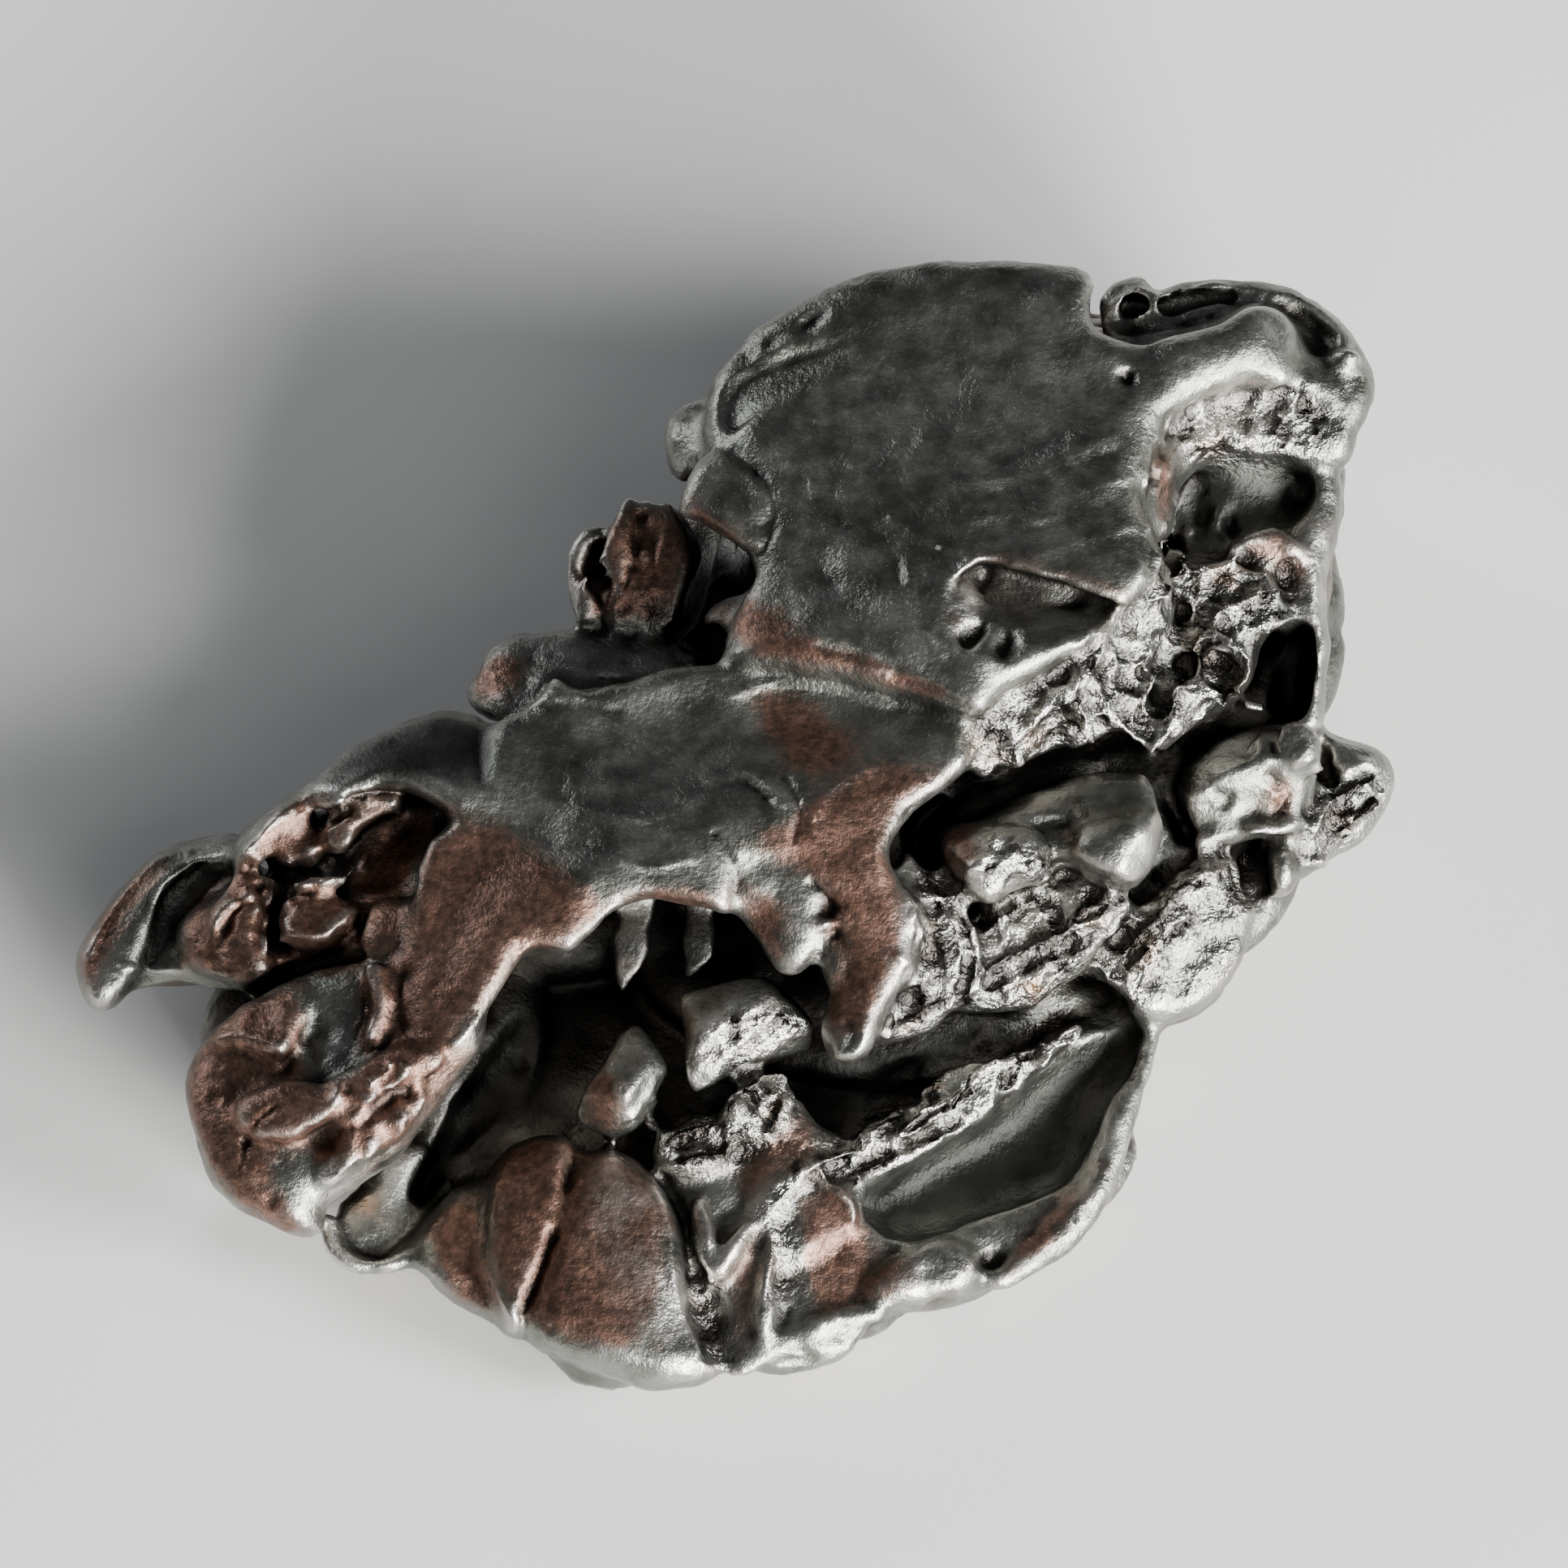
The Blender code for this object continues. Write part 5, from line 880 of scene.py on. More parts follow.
# %% The hollows on the left
def left_hollows(heap):
    """The big black hollow at the front, the hollow at the far side, and the grooves of the left."""
    hollow(heap, [
        (560, 1336, 5), (590, 1292, 5.4), (610, 1252, 5.8), (640, 1206, 6.2), (664, 1180, 6.6), (700, 1180, 6.8),
        (730, 1156, 7.2), (762, 1128, 7.6), (800, 1118, 7.8), (870, 1126, 7.8), (904, 1136, 7.6), (924, 1166, 7.4),
        (950, 1200, 7), (990, 1212, 6.8), (1000, 1236, 6.4), (930, 1300, 5.6), (838, 1330, 5), (826, 1360, 4.8),
        (790, 1400, 4.4), (740, 1396, 4.4), (690, 1384, 4.6), (636, 1390, 4.4), (598, 1412, 4.2), (560, 1444, 4),
        (520, 1484, 3.6), (500, 1462, 4), (528, 1404, 4.4), (548, 1362, 4.8),
    ], 3.8, 1.2)
    hollow(heap, [
        (856, 696, 8.8), (866, 668, 9.2), (890, 680, 9.5), (920, 694, 9.8), (940, 690, 10), (930, 720, 9.6),
        (906, 730, 9.4), (880, 742, 9.2), (862, 762, 9), (880, 782, 8.8), (900, 790, 8.8), (884, 806, 8.4),
        (848, 804, 8.2), (832, 784, 8.2), (844, 746, 8.4),
    ], 2.2, 0.9)
    ridge(heap, [(764, 636, 10.1, 0.2), (750, 680, 9.9, 0.24), (728, 714, 9.5, 0.24), (716, 748, 9.1, 0.2)], 3)
    ridge(heap, [(789, 622, 10.3, 0.2), (784, 670, 10.2, 0.24), (770, 720, 9.8, 0.22), (764, 764, 9.1, 0.2)], 3)
    ridge(heap, [(811, 622, 10.2, 0.18), (806, 676, 10.1, 0.22), (798, 730, 9.8, 0.2)], 3)
    hollow(heap, [
        (446, 1046, 8.6), (470, 1014, 8.9), (504, 992, 9.2), (534, 1004, 9.6), (528, 1040, 9.4), (508, 1070, 9.2),
        (490, 1096, 9), (450, 1100, 8.6), (426, 1094, 8.4),
    ], 1.2, 0.8)
    ridge(heap, [(384, 984, 9.2, 0.2), (390, 1010, 9, 0.22), (372, 1034, 8.9, 0.2)], 2)
    ridge(heap, [(320, 1072, 8.4, 0.25), (366, 1074, 8.6, 0.28), (410, 1066, 8.8, 0.25)], 2)
    ridge(heap, [(340, 1166, 7.8, 0.3), (342, 1104, 8, 0.34), (396, 1096, 8.6, 0.26), (446, 1100, 8.8, 0.26),
                 (444, 1150, 8.5, 0.26)], 2)
    ridge(heap, [(296, 1238, 6.4, 0.3), (340, 1202, 7, 0.42), (400, 1176, 8, 0.36), (450, 1172, 8.6, 0.3)], 3)
    ridge(heap, [(292, 1052, 7.2, 0.2), (244, 1066, 6.8, 0.26), (206, 1100, 6.4, 0.3), (190, 1150, 6, 0.24)], 2)
    knob(heap, (412, 1246, 10), 22, 50, 1.0, -10)
    ridge(heap, [(306, 1410, 8, 0.3), (316, 1450, 7.6, 0.4), (336, 1490, 6.9, 0.3)], 1.5)
    knob(heap, (370, 1440, 8.7), 20, 30, 0.8, -20)
    ridge(heap, [(256, 1290, 8.2, 0.2), (296, 1300, 8.6, 0.3), (352, 1322, 9, 0.24)], 2)
    ridge(heap, [(404, 1398, 8.1, 0.12), (440, 1372, 8.5, 0.2), (484, 1350, 8.8, 0.12)], 1.5)
    ridge(heap, [(600, 1440, 6.4, 0.2), (594, 1510, 5.8, 0.25), (608, 1580, 5, 0.22), (640, 1630, 4.2, 0.2)], 2)
    ridge(heap, [(704, 1396, 7, 0.3), (710, 1430, 6.9, 0.26), (700, 1460, 6.8, 0.18)], 1.6)
    ridge(heap, [(668, 1540, 6.1, 0.16), (652, 1580, 5.4, 0.3), (642, 1614, 4.8, 0.34), (650, 1644, 4, 0.26)], 1.6)
    ridge(heap, [(842, 1474, 5.6, 0.34), (846, 1530, 5, 0.36), (862, 1590, 4.2, 0.3), (892, 1650, 3.4, 0.3)], 3)
    ridge(heap, [(934, 1516, 4.8, 0.16), (920, 1570, 4.3, 0.2), (906, 1630, 3.6, 0.16)], 2)
    ridge(heap, [(1070, 1520, 3.6, 0.2), (1062, 1570, 3.2, 0.28), (1064, 1604, 2.8, 0.24)], 2)
    for stripe in range(6):
        down = 1520 + 20 * stripe
        high = 5.0 - 0.27 * stripe
        ridge(heap, [(984, down - 10, high, 0.1), (972, down + 4, high, 0.15), (960, down + 18, high, 0.1)], 1.5)


# %% What stands free in the recess and the pits
def recess_folds(heap):
    """The small curled bits behind the horn's crest, and the crumbs in the pits."""
    ridge(heap, [(1372, 382, 11.3, 0.3), (1382, 360, 11.6, 0.3), (1404, 350, 11.8, 0.28), (1424, 364, 11.7, 0.3),
                 (1426, 386, 11.4, 0.26)])
    ridge(heap, [(1436, 392, 11.3, 0.26), (1462, 378, 11.5, 0.3), (1496, 372, 11.5, 0.26), (1524, 362, 11.5, 0.2)])
    ridge(heap, [(1396, 394, 11.3, 0.2), (1410, 376, 11.5, 0.24)])
    ridge(heap, [(1516, 676, 10.2, 0.4), (1540, 660, 10.4, 0.5), (1572, 658, 10.2, 0.5), (1594, 676, 10, 0.5)])
    ridge(heap, [(1478, 642, 9.9, 0.3), (1498, 624, 10.1, 0.36), (1512, 606, 10, 0.3)])


# %% [markdown]
# ## Fusing the forms
# The solids are fused by a voxel remesh and the hollows are cut out of them with a Boolean. What stands free in
# a hollow, such as the chunks at the front, is added after the cut. One more remesh gives a single even skin.

# %% Fusing helpers
TABLE_CUT = 0.0003
TABLE_NEAR = 0.00006


def applied(made):
    """The object with its modifiers applied."""
    bpy.context.view_layer.update()
    graph = bpy.context.evaluated_depsgraph_get()
    mesh = bpy.data.meshes.new_from_object(made.evaluated_get(graph))
    made.modifiers.clear()
    old = made.data
    made.data = mesh
    bpy.data.meshes.remove(old)
    return made


def add_remesh(made):
    """One even closed skin around everything in the object."""
    skin = made.modifiers.new("skin", "REMESH")
    skin.mode = "VOXEL"
    skin.voxel_size = VOXEL


def fused(name, forms):
    """One object around all these forms."""
    heap = Heap()
    for form in forms:
        form(heap)
    mesh = bpy.data.meshes.new(name)
    mesh.from_pydata(np.concatenate(heap.corners).tolist(), [], heap.faces)
    made = bpy.data.objects.new(name, mesh)
    bpy.context.scene.collection.objects.link(made)
    add_remesh(made)
    return applied(made)


def joined(body, other, operation):
    """The body after a Boolean with the other object, which is used up."""
    step = body.modifiers.new(operation.lower(), "BOOLEAN")
    step.operation = operation
    step.solver = "MANIFOLD"
    step.object = other
    applied(body)
    bpy.data.objects.remove(other)
    return body


# %% Reading and writing the corners of a mesh
def corners_of(mesh):
    found = np.empty(len(mesh.vertices) * 3)
    mesh.vertices.foreach_get("co", found)
    return found.reshape(-1, 3)


def normals_of(mesh):
    found = np.empty(len(mesh.vertices) * 3)
    mesh.vertex_normals.foreach_get("vector", found)
    return found.reshape(-1, 3)


def edges_of(mesh):
    found = np.empty(len(mesh.edges) * 2, int)
    mesh.edges.foreach_get("vertices", found)
    return found.reshape(-1, 2)


def put_corners(mesh, corners):
    mesh.vertices.foreach_set("co", corners.ravel())
    mesh.update()


def spread(values, edges, rounds, share=1.0):
    """Averages values over their neighbours on the mesh, round after round."""
    rows = values.reshape(len(values), -1).copy()
    count = len(rows)
    start, end = edges[:, 0], edges[:, 1]
    degree = np.bincount(edges.ravel(), minlength=count)
    for _ in range(rounds):
        for k in range(rows.shape[1]):
            column = rows[:, k]
            total = np.bincount(start, column[end], count) + np.bincount(end, column[start], count)
            rows[:, k] = column + share * (total / degree - column)
    return rows.reshape(values.shape)


def keep_largest(mesh):
    """Deletes every loose shell but the largest."""
    edges = edges_of(mesh)
    group = np.arange(len(mesh.vertices))
    while True:
        low = np.minimum(group[edges[:, 0]], group[edges[:, 1]])
        new = group.copy()
        np.minimum.at(new, edges[:, 0], low)
        np.minimum.at(new, edges[:, 1], low)
        new = new[new]
        if (new == group).all():
            break
        group = new
    names, sizes = np.unique(group, return_counts=True)
    loose = np.nonzero(group != names[sizes.argmax()])[0]
    shape = bmesh.new()
    shape.from_mesh(mesh)
    shape.verts.ensure_lookup_table()
    bmesh.ops.delete(shape, geom=[shape.verts[int(k)] for k in loose], context="VERTS")
    shape.to_mesh(mesh)
    shape.free()


def wear_flat(mesh, cut):
    """Lowers the mesh until it stands this deep in the table, and flattens all that is below or near it."""
    places = corners_of(mesh)
    places[:, 2] -= places[:, 2].min() + cut
    places[:, 2] = np.where(places[:, 2] < TABLE_NEAR, 0, places[:, 2])
    put_corners(mesh, places)


# %% Fuse the lump
body = fused("meteorite_body", (shield, lower_plate, far_side, left_side, left_lobe, right_wall, right_knobs,
                                broken_face, bottom_boss, shell, core, table_side))
body = joined(body, fused("hollows", (top_hollows, gap_hollows, left_hollows)), "DIFFERENCE")
body = joined(body, fused("islands", (front_knobs, recess_folds)), "UNION")
add_remesh(body)
applied(body)
keep_largest(body.data)
wear_flat(body.data, TABLE_CUT)
tell("fused body:", len(body.data.polygons), "faces")

# %% [markdown]
# ## Sculpting
# A sculptor would now take small brushes to it. In code, a brush stroke is a path in the photograph: near it
# the metal is pushed toward the viewer for a crest, or away for a crease. Only what the photograph sees is
# pushed, which a coarse map of the nearest depth decides.

# %% What the photograph sees
SEEN_CELL = 8
SEEN_CELLS = PHOTO // SEEN_CELL + 2
SEEN_SLACK = 0.0008


def seen_at(corners):
    """Pixels across, pixels down and metres toward the viewer."""
    around = corners - AIM
    return np.stack([around @ ACROSS / PIXEL + VIEW_CENTRE, VIEW_CENTRE - around @ UPWARD / PIXEL,
                     around @ TOWARD], axis=1)


def in_view(seen, normals):
    """1 where nothing stands in front of the metal and it faces the viewer."""
    cell = np.clip((seen[:, :2] // SEEN_CELL).astype(int), 0, SEEN_CELLS - 1)
    depth = np.full((SEEN_CELLS, SEEN_CELLS), -1.0)
    np.maximum.at(depth, (cell[:, 0], cell[:, 1]), seen[:, 2])
    near = seen[:, 2] > depth[cell[:, 0], cell[:, 1]] - SEEN_SLACK
    return (near & (normals @ TOWARD > 0.05)).astype(float)


def eased(share):
    share = np.clip(share, 0, 1)
    return share * share * (3 - 2 * share)


def region(seen, outline, soft):
    """1 inside an outline of the photograph, 0 outside, with a soft edge in pixels."""
    loop = np.array(outline, float)
    found = np.zeros(len(seen))
    close = ((seen[:, :2] > loop.min(0) - soft) & (seen[:, :2] < loop.max(0) + soft)).all(1)
    spots = seen[close, :2]
    if len(spots):
        away = np.concatenate([far_from(part, loop) for part in np.array_split(spots, len(spots) // 20000 + 1)])
        found[close] = eased(np.where(inside(spots, loop), away, -away) / soft + 0.5)
    return found


def regions(seen, outlines, soft, view):
    """The highest of several regions, where the photograph sees the metal."""
    found = np.zeros(len(seen))
    for outline in outlines:
        found = np.maximum(found, region(seen, outline, soft) * view)
    return found


def stroke(seen, path, wide):
    """How close each corner lies to a smooth path of pixels: 1 on it, 0 this many pixels away."""
    knots = np.array([(x, y, 0) for x, y in path], float)
    line = smooth_path(knots, wide / 2, False)[:, :2]
    found = np.zeros(len(seen))
    close = ((seen[:, :2] > line.min(0) - wide) & (seen[:, :2] < line.max(0) + wide)).all(1)
    if close.any():
        found[close] = np.clip(1 - far_from(seen[close, :2], line, False) / wide, 0, 1)
    return found


# %% [markdown]
# The strokes are listed by width in pixels and height in millimetres. Creases have a negative height.

# %% The strokes
STROKES = [
    (5, 0.1, [
        [(1085, 585), (1100, 556), (1125, 522), (1140, 545)], [(1040, 560), (1060, 590)], [(980, 720), (990, 740)],
        [(1290, 560), (1330, 540)], [(700, 900), (705, 960), (712, 1010)],
    ]),
    (8, 0.16, [
        [(880, 960), (910, 950), (940, 965), (962, 992)], [(1000, 1010), (1030, 970), (1078, 944)],
        [(838, 600), (848, 574), (880, 549)], [(890, 570), (925, 590), (950, 640), (936, 676)],
        [(900, 860), (960, 842), (1030, 850), (1090, 870)], [(250, 1286), (300, 1278), (345, 1290)],
        [(720, 1000), (790, 1010), (850, 990)], [(1100, 640), (1150, 670), (1190, 680)],
        [(1120, 700), (1128, 760), (1160, 810)], [(760, 1060), (800, 1070), (850, 1060)],
    ]),
    (9, -0.2, [
        [(884, 976), (916, 966), (948, 988)], [(978, 1034), (986, 1000), (966, 962)],
        [(1100, 836), (1150, 854), (1204, 884)], [(905, 560), (944, 600), (950, 650), (938, 682)],
        [(360, 1240), (364, 1280), (350, 1330)], [(640, 880), (700, 870), (760, 880)],
        [(1010, 800), (1060, 812), (1110, 826)], [(880, 1030), (900, 1060), (910, 1090)],
    ]),
    (6, 0.09, [
        [(1180, 600), (1240, 590), (1310, 560), (1370, 540)], [(1200, 640), (1270, 630), (1350, 600), (1410, 590)],
        [(1260, 690), (1330, 670), (1400, 650)], [(1010, 520), (1060, 500), (1120, 500)],
        [(960, 560), (1000, 600), (1020, 660)], [(1130, 780), (1180, 800), (1230, 810)],
    ]),
    (6, -0.09, [
        [(1190, 616), (1250, 604), (1320, 576), (1380, 558)], [(1220, 660), (1290, 648), (1370, 620)],
        [(1060, 640), (1100, 680), (1110, 740)], [(980, 540), (1020, 590), (1036, 650)],
        [(700, 940), (760, 950), (820, 930)], [(640, 1020), (690, 1040), (740, 1040)],
    ]),
    (26, 0.12, [
        [(1120, 560), (1200, 520), (1300, 500)], [(1180, 640), (1250, 620), (1330, 560)],
        [(1040, 700), (1100, 740), (1120, 800)], [(1000, 480), (1080, 450), (1160, 440)],
        [(1280, 640), (1340, 650), (1400, 640)], [(640, 950), (700, 980), (780, 960)],
    ]),
    (26, -0.12, [
        [(1160, 600), (1230, 570), (1310, 540)], [(1210, 660), (1290, 600), (1370, 560)],
        [(960, 640), (1010, 700), (1060, 780)], [(1290, 400), (1320, 440), (1300, 500)],
        [(660, 1020), (720, 1040), (800, 1020)], [(1230, 840), (1180, 830), (1130, 780)],
    ]),
    (9, 0.34, [
        [(302, 1052), (325, 1028), (348, 1006), (372, 988)], [(404, 1012), (434, 990), (490, 988)],
        [(372, 1092), (410, 1086), (448, 1060)], [(300, 1088), (326, 1082), (346, 1092)],
        [(262, 1146), (276, 1124), (306, 1104)], [(356, 1150), (400, 1154), (438, 1122)],
        [(108, 1180), (140, 1120), (190, 1064), (232, 1046)], [(150, 1196), (200, 1198), (280, 1206)],
    ]),
    (8, -0.22, [
        [(300, 1440), (310, 1396), (340, 1366)], [(380, 1206), (372, 1260), (392, 1312)],
        [(446, 1200), (452, 1250), (430, 1300)], [(500, 1200), (490, 1240), (500, 1270)],
    ]),
    (12, 0.16, [
        [(350, 1406), (400, 1376), (420, 1330)], [(276, 1340), (286, 1400), (310, 1450)],
        [(400, 1400), (450, 1372), (500, 1330)], [(300, 1260), (330, 1236), (352, 1240)],
        [(540, 1180), (520, 1220), (530, 1260)],
    ]),
    (12, -0.45, [
        [(702, 1396), (708, 1430), (698, 1464)], [(684, 1522), (664, 1572), (646, 1616), (648, 1646)],
    ]),
    (20, -0.25, [
        [(704, 1430), (692, 1490), (682, 1530)], [(540, 1480), (560, 1540), (600, 1600)],
    ]),
    (6, -0.08, [
        [(720, 1420), (760, 1424), (800, 1450)], [(716, 1440), (760, 1440), (806, 1480)],
        [(712, 1464), (750, 1458), (790, 1490)], [(740, 1404), (780, 1416), (820, 1460)],
    ]),
    (14, 0.3, [
        [(800, 1446), (826, 1510), (836, 1590), (868, 1656)], [(1230, 1010), (1280, 1002), (1330, 1006)],
        [(1180, 1060), (1216, 1076), (1250, 1050)], [(640, 1400), (620, 1440), (608, 1500)],
    ]),
    (7, 0.22, [
        [(592, 1476), (598, 1560), (640, 1630)], [(560, 1290), (604, 1240), (650, 1170)],
        [(692, 1176), (724, 1148), (762, 1116)], [(600, 893), (648, 866), (684, 828), (765, 835), (838, 817)],
    ]),
    (10, -0.3, [
        [(1290, 1086), (1296, 1050), (1280, 1024)], [(322, 1100), (326, 1130), (318, 1160)],
        [(1000, 1090), (1020, 1110), (1030, 1150)], [(1044, 1262), (1052, 1276), (1046, 1290)],
        [(1500, 980), (1516, 986), (1508, 994)], [(1566, 960), (1584, 976), (1576, 1000)],
        [(980, 1662), (1000, 1672), (960, 1676)],
    ]),
]
TORN_STROKES = [
    (8, 0.3, [
        [(1120, 1110), (1150, 1140), (1166, 1196)], [(1106, 1180), (1130, 1200), (1140, 1250)],
        [(1214, 1150), (1250, 1120), (1300, 1100)], [(1220, 1196), (1270, 1166), (1330, 1140)],
        [(1320, 1130), (1350, 1112), (1386, 1112)], [(1100, 1270), (1140, 1250), (1176, 1226)],
    ]),
    (7, -0.3, [
        [(1136, 1080), (1150, 1120), (1152, 1170)], [(1190, 1130), (1196, 1180), (1186, 1226)],
        [(1222, 1214), (1276, 1184), (1336, 1160)], [(1282, 1086), (1290, 1120), (1312, 1150)],
    ]),
    (4, 0.16, [
        [(1390, 1200), (1430, 1156), (1466, 1126)], [(1376, 1180), (1420, 1136), (1450, 1110)],
        [(1400, 1226), (1430, 1190), (1450, 1160)], [(1440, 1110), (1470, 1086), (1500, 1070)],
        [(1360, 1196), (1400, 1160), (1420, 1136)],
    ]),
    (4, -0.16, [
        [(1384, 1190), (1426, 1144), (1460, 1116)], [(1396, 1212), (1430, 1170), (1470, 1136)],
        [(1366, 1206), (1390, 1186), (1410, 1160)],
    ]),
    (8, 0.3, [
        [(1056, 1448), (1110, 1424), (1170, 1398)], [(1060, 1400), (1110, 1372), (1160, 1340)],
    ]),
    (7, -0.3, [
        [(1040, 1436), (1056, 1412), (1064, 1396)], [(1116, 1416), (1128, 1390), (1146, 1370)],
        [(1172, 1390), (1184, 1360), (1206, 1336)], [(1240, 1340), (1254, 1314), (1272, 1296)],
    ]),
    (8, 0.3, [
        [(812, 1420), (840, 1392), (880, 1384), (904, 1400)], [(830, 1438), (866, 1424), (900, 1426)],
        [(906, 1376), (912, 1344), (934, 1336), (938, 1362)], [(950, 1330), (966, 1350), (958, 1384)],
        [(1640, 990), (1668, 972), (1700, 960)], [(1650, 1030), (1680, 1008), (1704, 984)],
    ]),
    (8, -0.3, [
        [(836, 1410), (868, 1404), (890, 1412)], [(920, 1356), (926, 1380), (944, 1390)],
        [(1656, 1000), (1690, 990)], [(1646, 1010), (1660, 1030)],
    ]),
]
TORN = [
    [(1436, 520), (1500, 486), (1600, 476), (1646, 520), (1640, 562), (1456, 572)],
    [(1430, 700), (1456, 680), (1512, 676), (1600, 690), (1605, 750), (1560, 800), (1550, 860), (1490, 890),
     (1440, 930), (1400, 914), (1300, 930), (1205, 970), (1190, 900), (1240, 856), (1290, 836), (1350, 790),
     (1404, 736)],
    [(1135, 1050), (1190, 1100), (1216, 1130), (1260, 1086), (1316, 1064), (1400, 1106), (1376, 1164), (1304, 1222),
     (1262, 1250), (1180, 1256), (1100, 1290), (1082, 1268), (1130, 1190), (1134, 1120)],
    [(1396, 1120), (1438, 1062), (1490, 1040), (1534, 1048), (1540, 1086), (1556, 1116), (1500, 1136), (1450, 1165),
     (1430, 1230), (1384, 1244), (1346, 1216), (1344, 1188)],
    [(1440, 1210), (1480, 1150), (1530, 1144), (1510, 1210), (1450, 1240)],
    [(922, 1500), (938, 1464), (974, 1426), (1018, 1402), (1060, 1370), (1110, 1342), (1160, 1308), (1220, 1276),
     (1290, 1240), (1340, 1244), (1350, 1262), (1292, 1306), (1232, 1350), (1190, 1386), (1120, 1426), (1060, 1456),
     (1000, 1456), (950, 1500)],
    [(796, 1404), (828, 1370), (878, 1362), (904, 1324), (944, 1308), (986, 1330), (994, 1370), (962, 1406),
     (912, 1436), (870, 1452), (830, 1446)],
    [(850, 1560), (890, 1580), (904, 1680), (880, 1680), (852, 1620)],
    [(948, 1500), (985, 1500), (984, 1590), (950, 1600)],
    [(1630, 970), (1700, 940), (1722, 960), (1700, 1020), (1640, 1066), (1596, 1060), (1610, 1000)],
    [(866, 1300), (872, 1262), (900, 1244), (960, 1240), (1000, 1256), (960, 1290), (890, 1316)],
    [(800, 745), (840, 740), (846, 776), (806, 780)],
    [(1216, 1040), (1290, 1044), (1320, 1076), (1290, 1090), (1230, 1104), (1200, 1096)],
]
SMOOTH = [
    [(880, 520), (1000, 380), (1200, 320), (1330, 330), (1400, 430), (1440, 500), (1400, 600), (1420, 700),
     (1340, 780), (1200, 870), (1000, 830), (900, 800), (960, 700), (950, 600)],
    [(610, 900), (700, 850), (900, 830), (1190, 890), (1150, 970), (1000, 1050), (900, 1090), (760, 1100),
     (640, 1150), (540, 1270), (500, 1240), (530, 1060)],
    [(400, 960), (440, 920), (560, 880), (600, 960), (500, 965)],
    [(1070, 1480), (1200, 1390), (1340, 1280), (1400, 1260), (1360, 1350), (1310, 1440), (1120, 1520)],
    [(640, 1400), (800, 1430), (860, 1600), (880, 1690), (700, 1660), (610, 1560)],
]

# %% [markdown]
# ## Crumbs on the torn places
# Where the metal was pulled apart, small crumbs stand in rows along the pull. A Geometry Nodes tree strews them:
# points on the faces where the torn share is high, a small faceted ball on each, turned along the pull and
# scaled at random. A remesh then welds them to the skin. The helpers make a node, set its options, fill its
# inputs and give back its outputs, so that a row of steps reads like a recipe.

# %% Storing attributes
def store(mesh, name, values):
    """Keeps one number for each corner under a name that nodes can read."""
    kept = mesh.attributes.get(name) or mesh.attributes.new(name, "FLOAT", "POINT")
    kept.data.foreach_set("value", values.astype(np.float32))


def set_inputs(modifier, **given):
    """Sets the named inputs of a Geometry Nodes modifier by their identifiers."""
    for item in modifier.node_group.interface.items_tree:
        if item.in_out == "INPUT" and item.name in given:
            modifier[item.identifier] = given[item.name]


# %% Node helpers
def node_tools(tree):
    """Short ways to add nodes to this tree: any node, any sum, and the three sums used most."""

    def add(kind, inputs, **options):
        """The outputs of a new node with these options and inputs; a list links several to one input."""
        node = tree.nodes.new(kind)
        for option, value in options.items():
            setattr(node, option, value)
        for key, values in inputs.items():
            for value in values if isinstance(values, list) else [values]:
                if isinstance(value, bpy.types.NodeSocket):
                    tree.links.new(value, node.inputs[key])
                else:
                    node.inputs[key].default_value = value
        return node.outputs

    def maths(operation, first, second, **options):
        return add("ShaderNodeMath", {0: first, 1: second}, operation=operation, **options)[0]

    def plus(first, second):
        return maths("ADD", first, second)

    def minus(first, second):
        return maths("SUBTRACT", first, second)

    def times(first, second, **options):
        return maths("MULTIPLY", first, second, **options)

    return add, maths, plus, minus, times


def geometry_tree(name, inputs):
    """A Geometry Nodes tree, and the outputs that give its named inputs."""
    tree = bpy.data.node_groups.new(name, "GeometryNodeTree")
    tree.interface.new_socket("Geometry", in_out="INPUT", socket_type="NodeSocketGeometry")
    for label, kind, value in inputs:
        socket = tree.interface.new_socket(label, in_out="INPUT", socket_type="NodeSocket" + kind)
        if value is not None:
            socket.default_value = value
    tree.interface.new_socket("Geometry", in_out="OUTPUT", socket_type="NodeSocketGeometry")
    return tree, tree.nodes.new("NodeGroupInput").outputs


# %% The crumb tree
PULL = tuple(ACROSS * 0.64 + UPWARD * 0.77)
CRUMB_LEAST, CRUMB_MOST = (0.7, 0.5, 0.35), (2.4, 1.0, 1.1)
CRUMB_INPUTS = (("Density", "Float", 2.4e6), ("Crumb size", "Float", 0.00034), ("Turn", "Float", 0.5),
                ("Seed", "Int", 3), ("Metal", "Material", None))


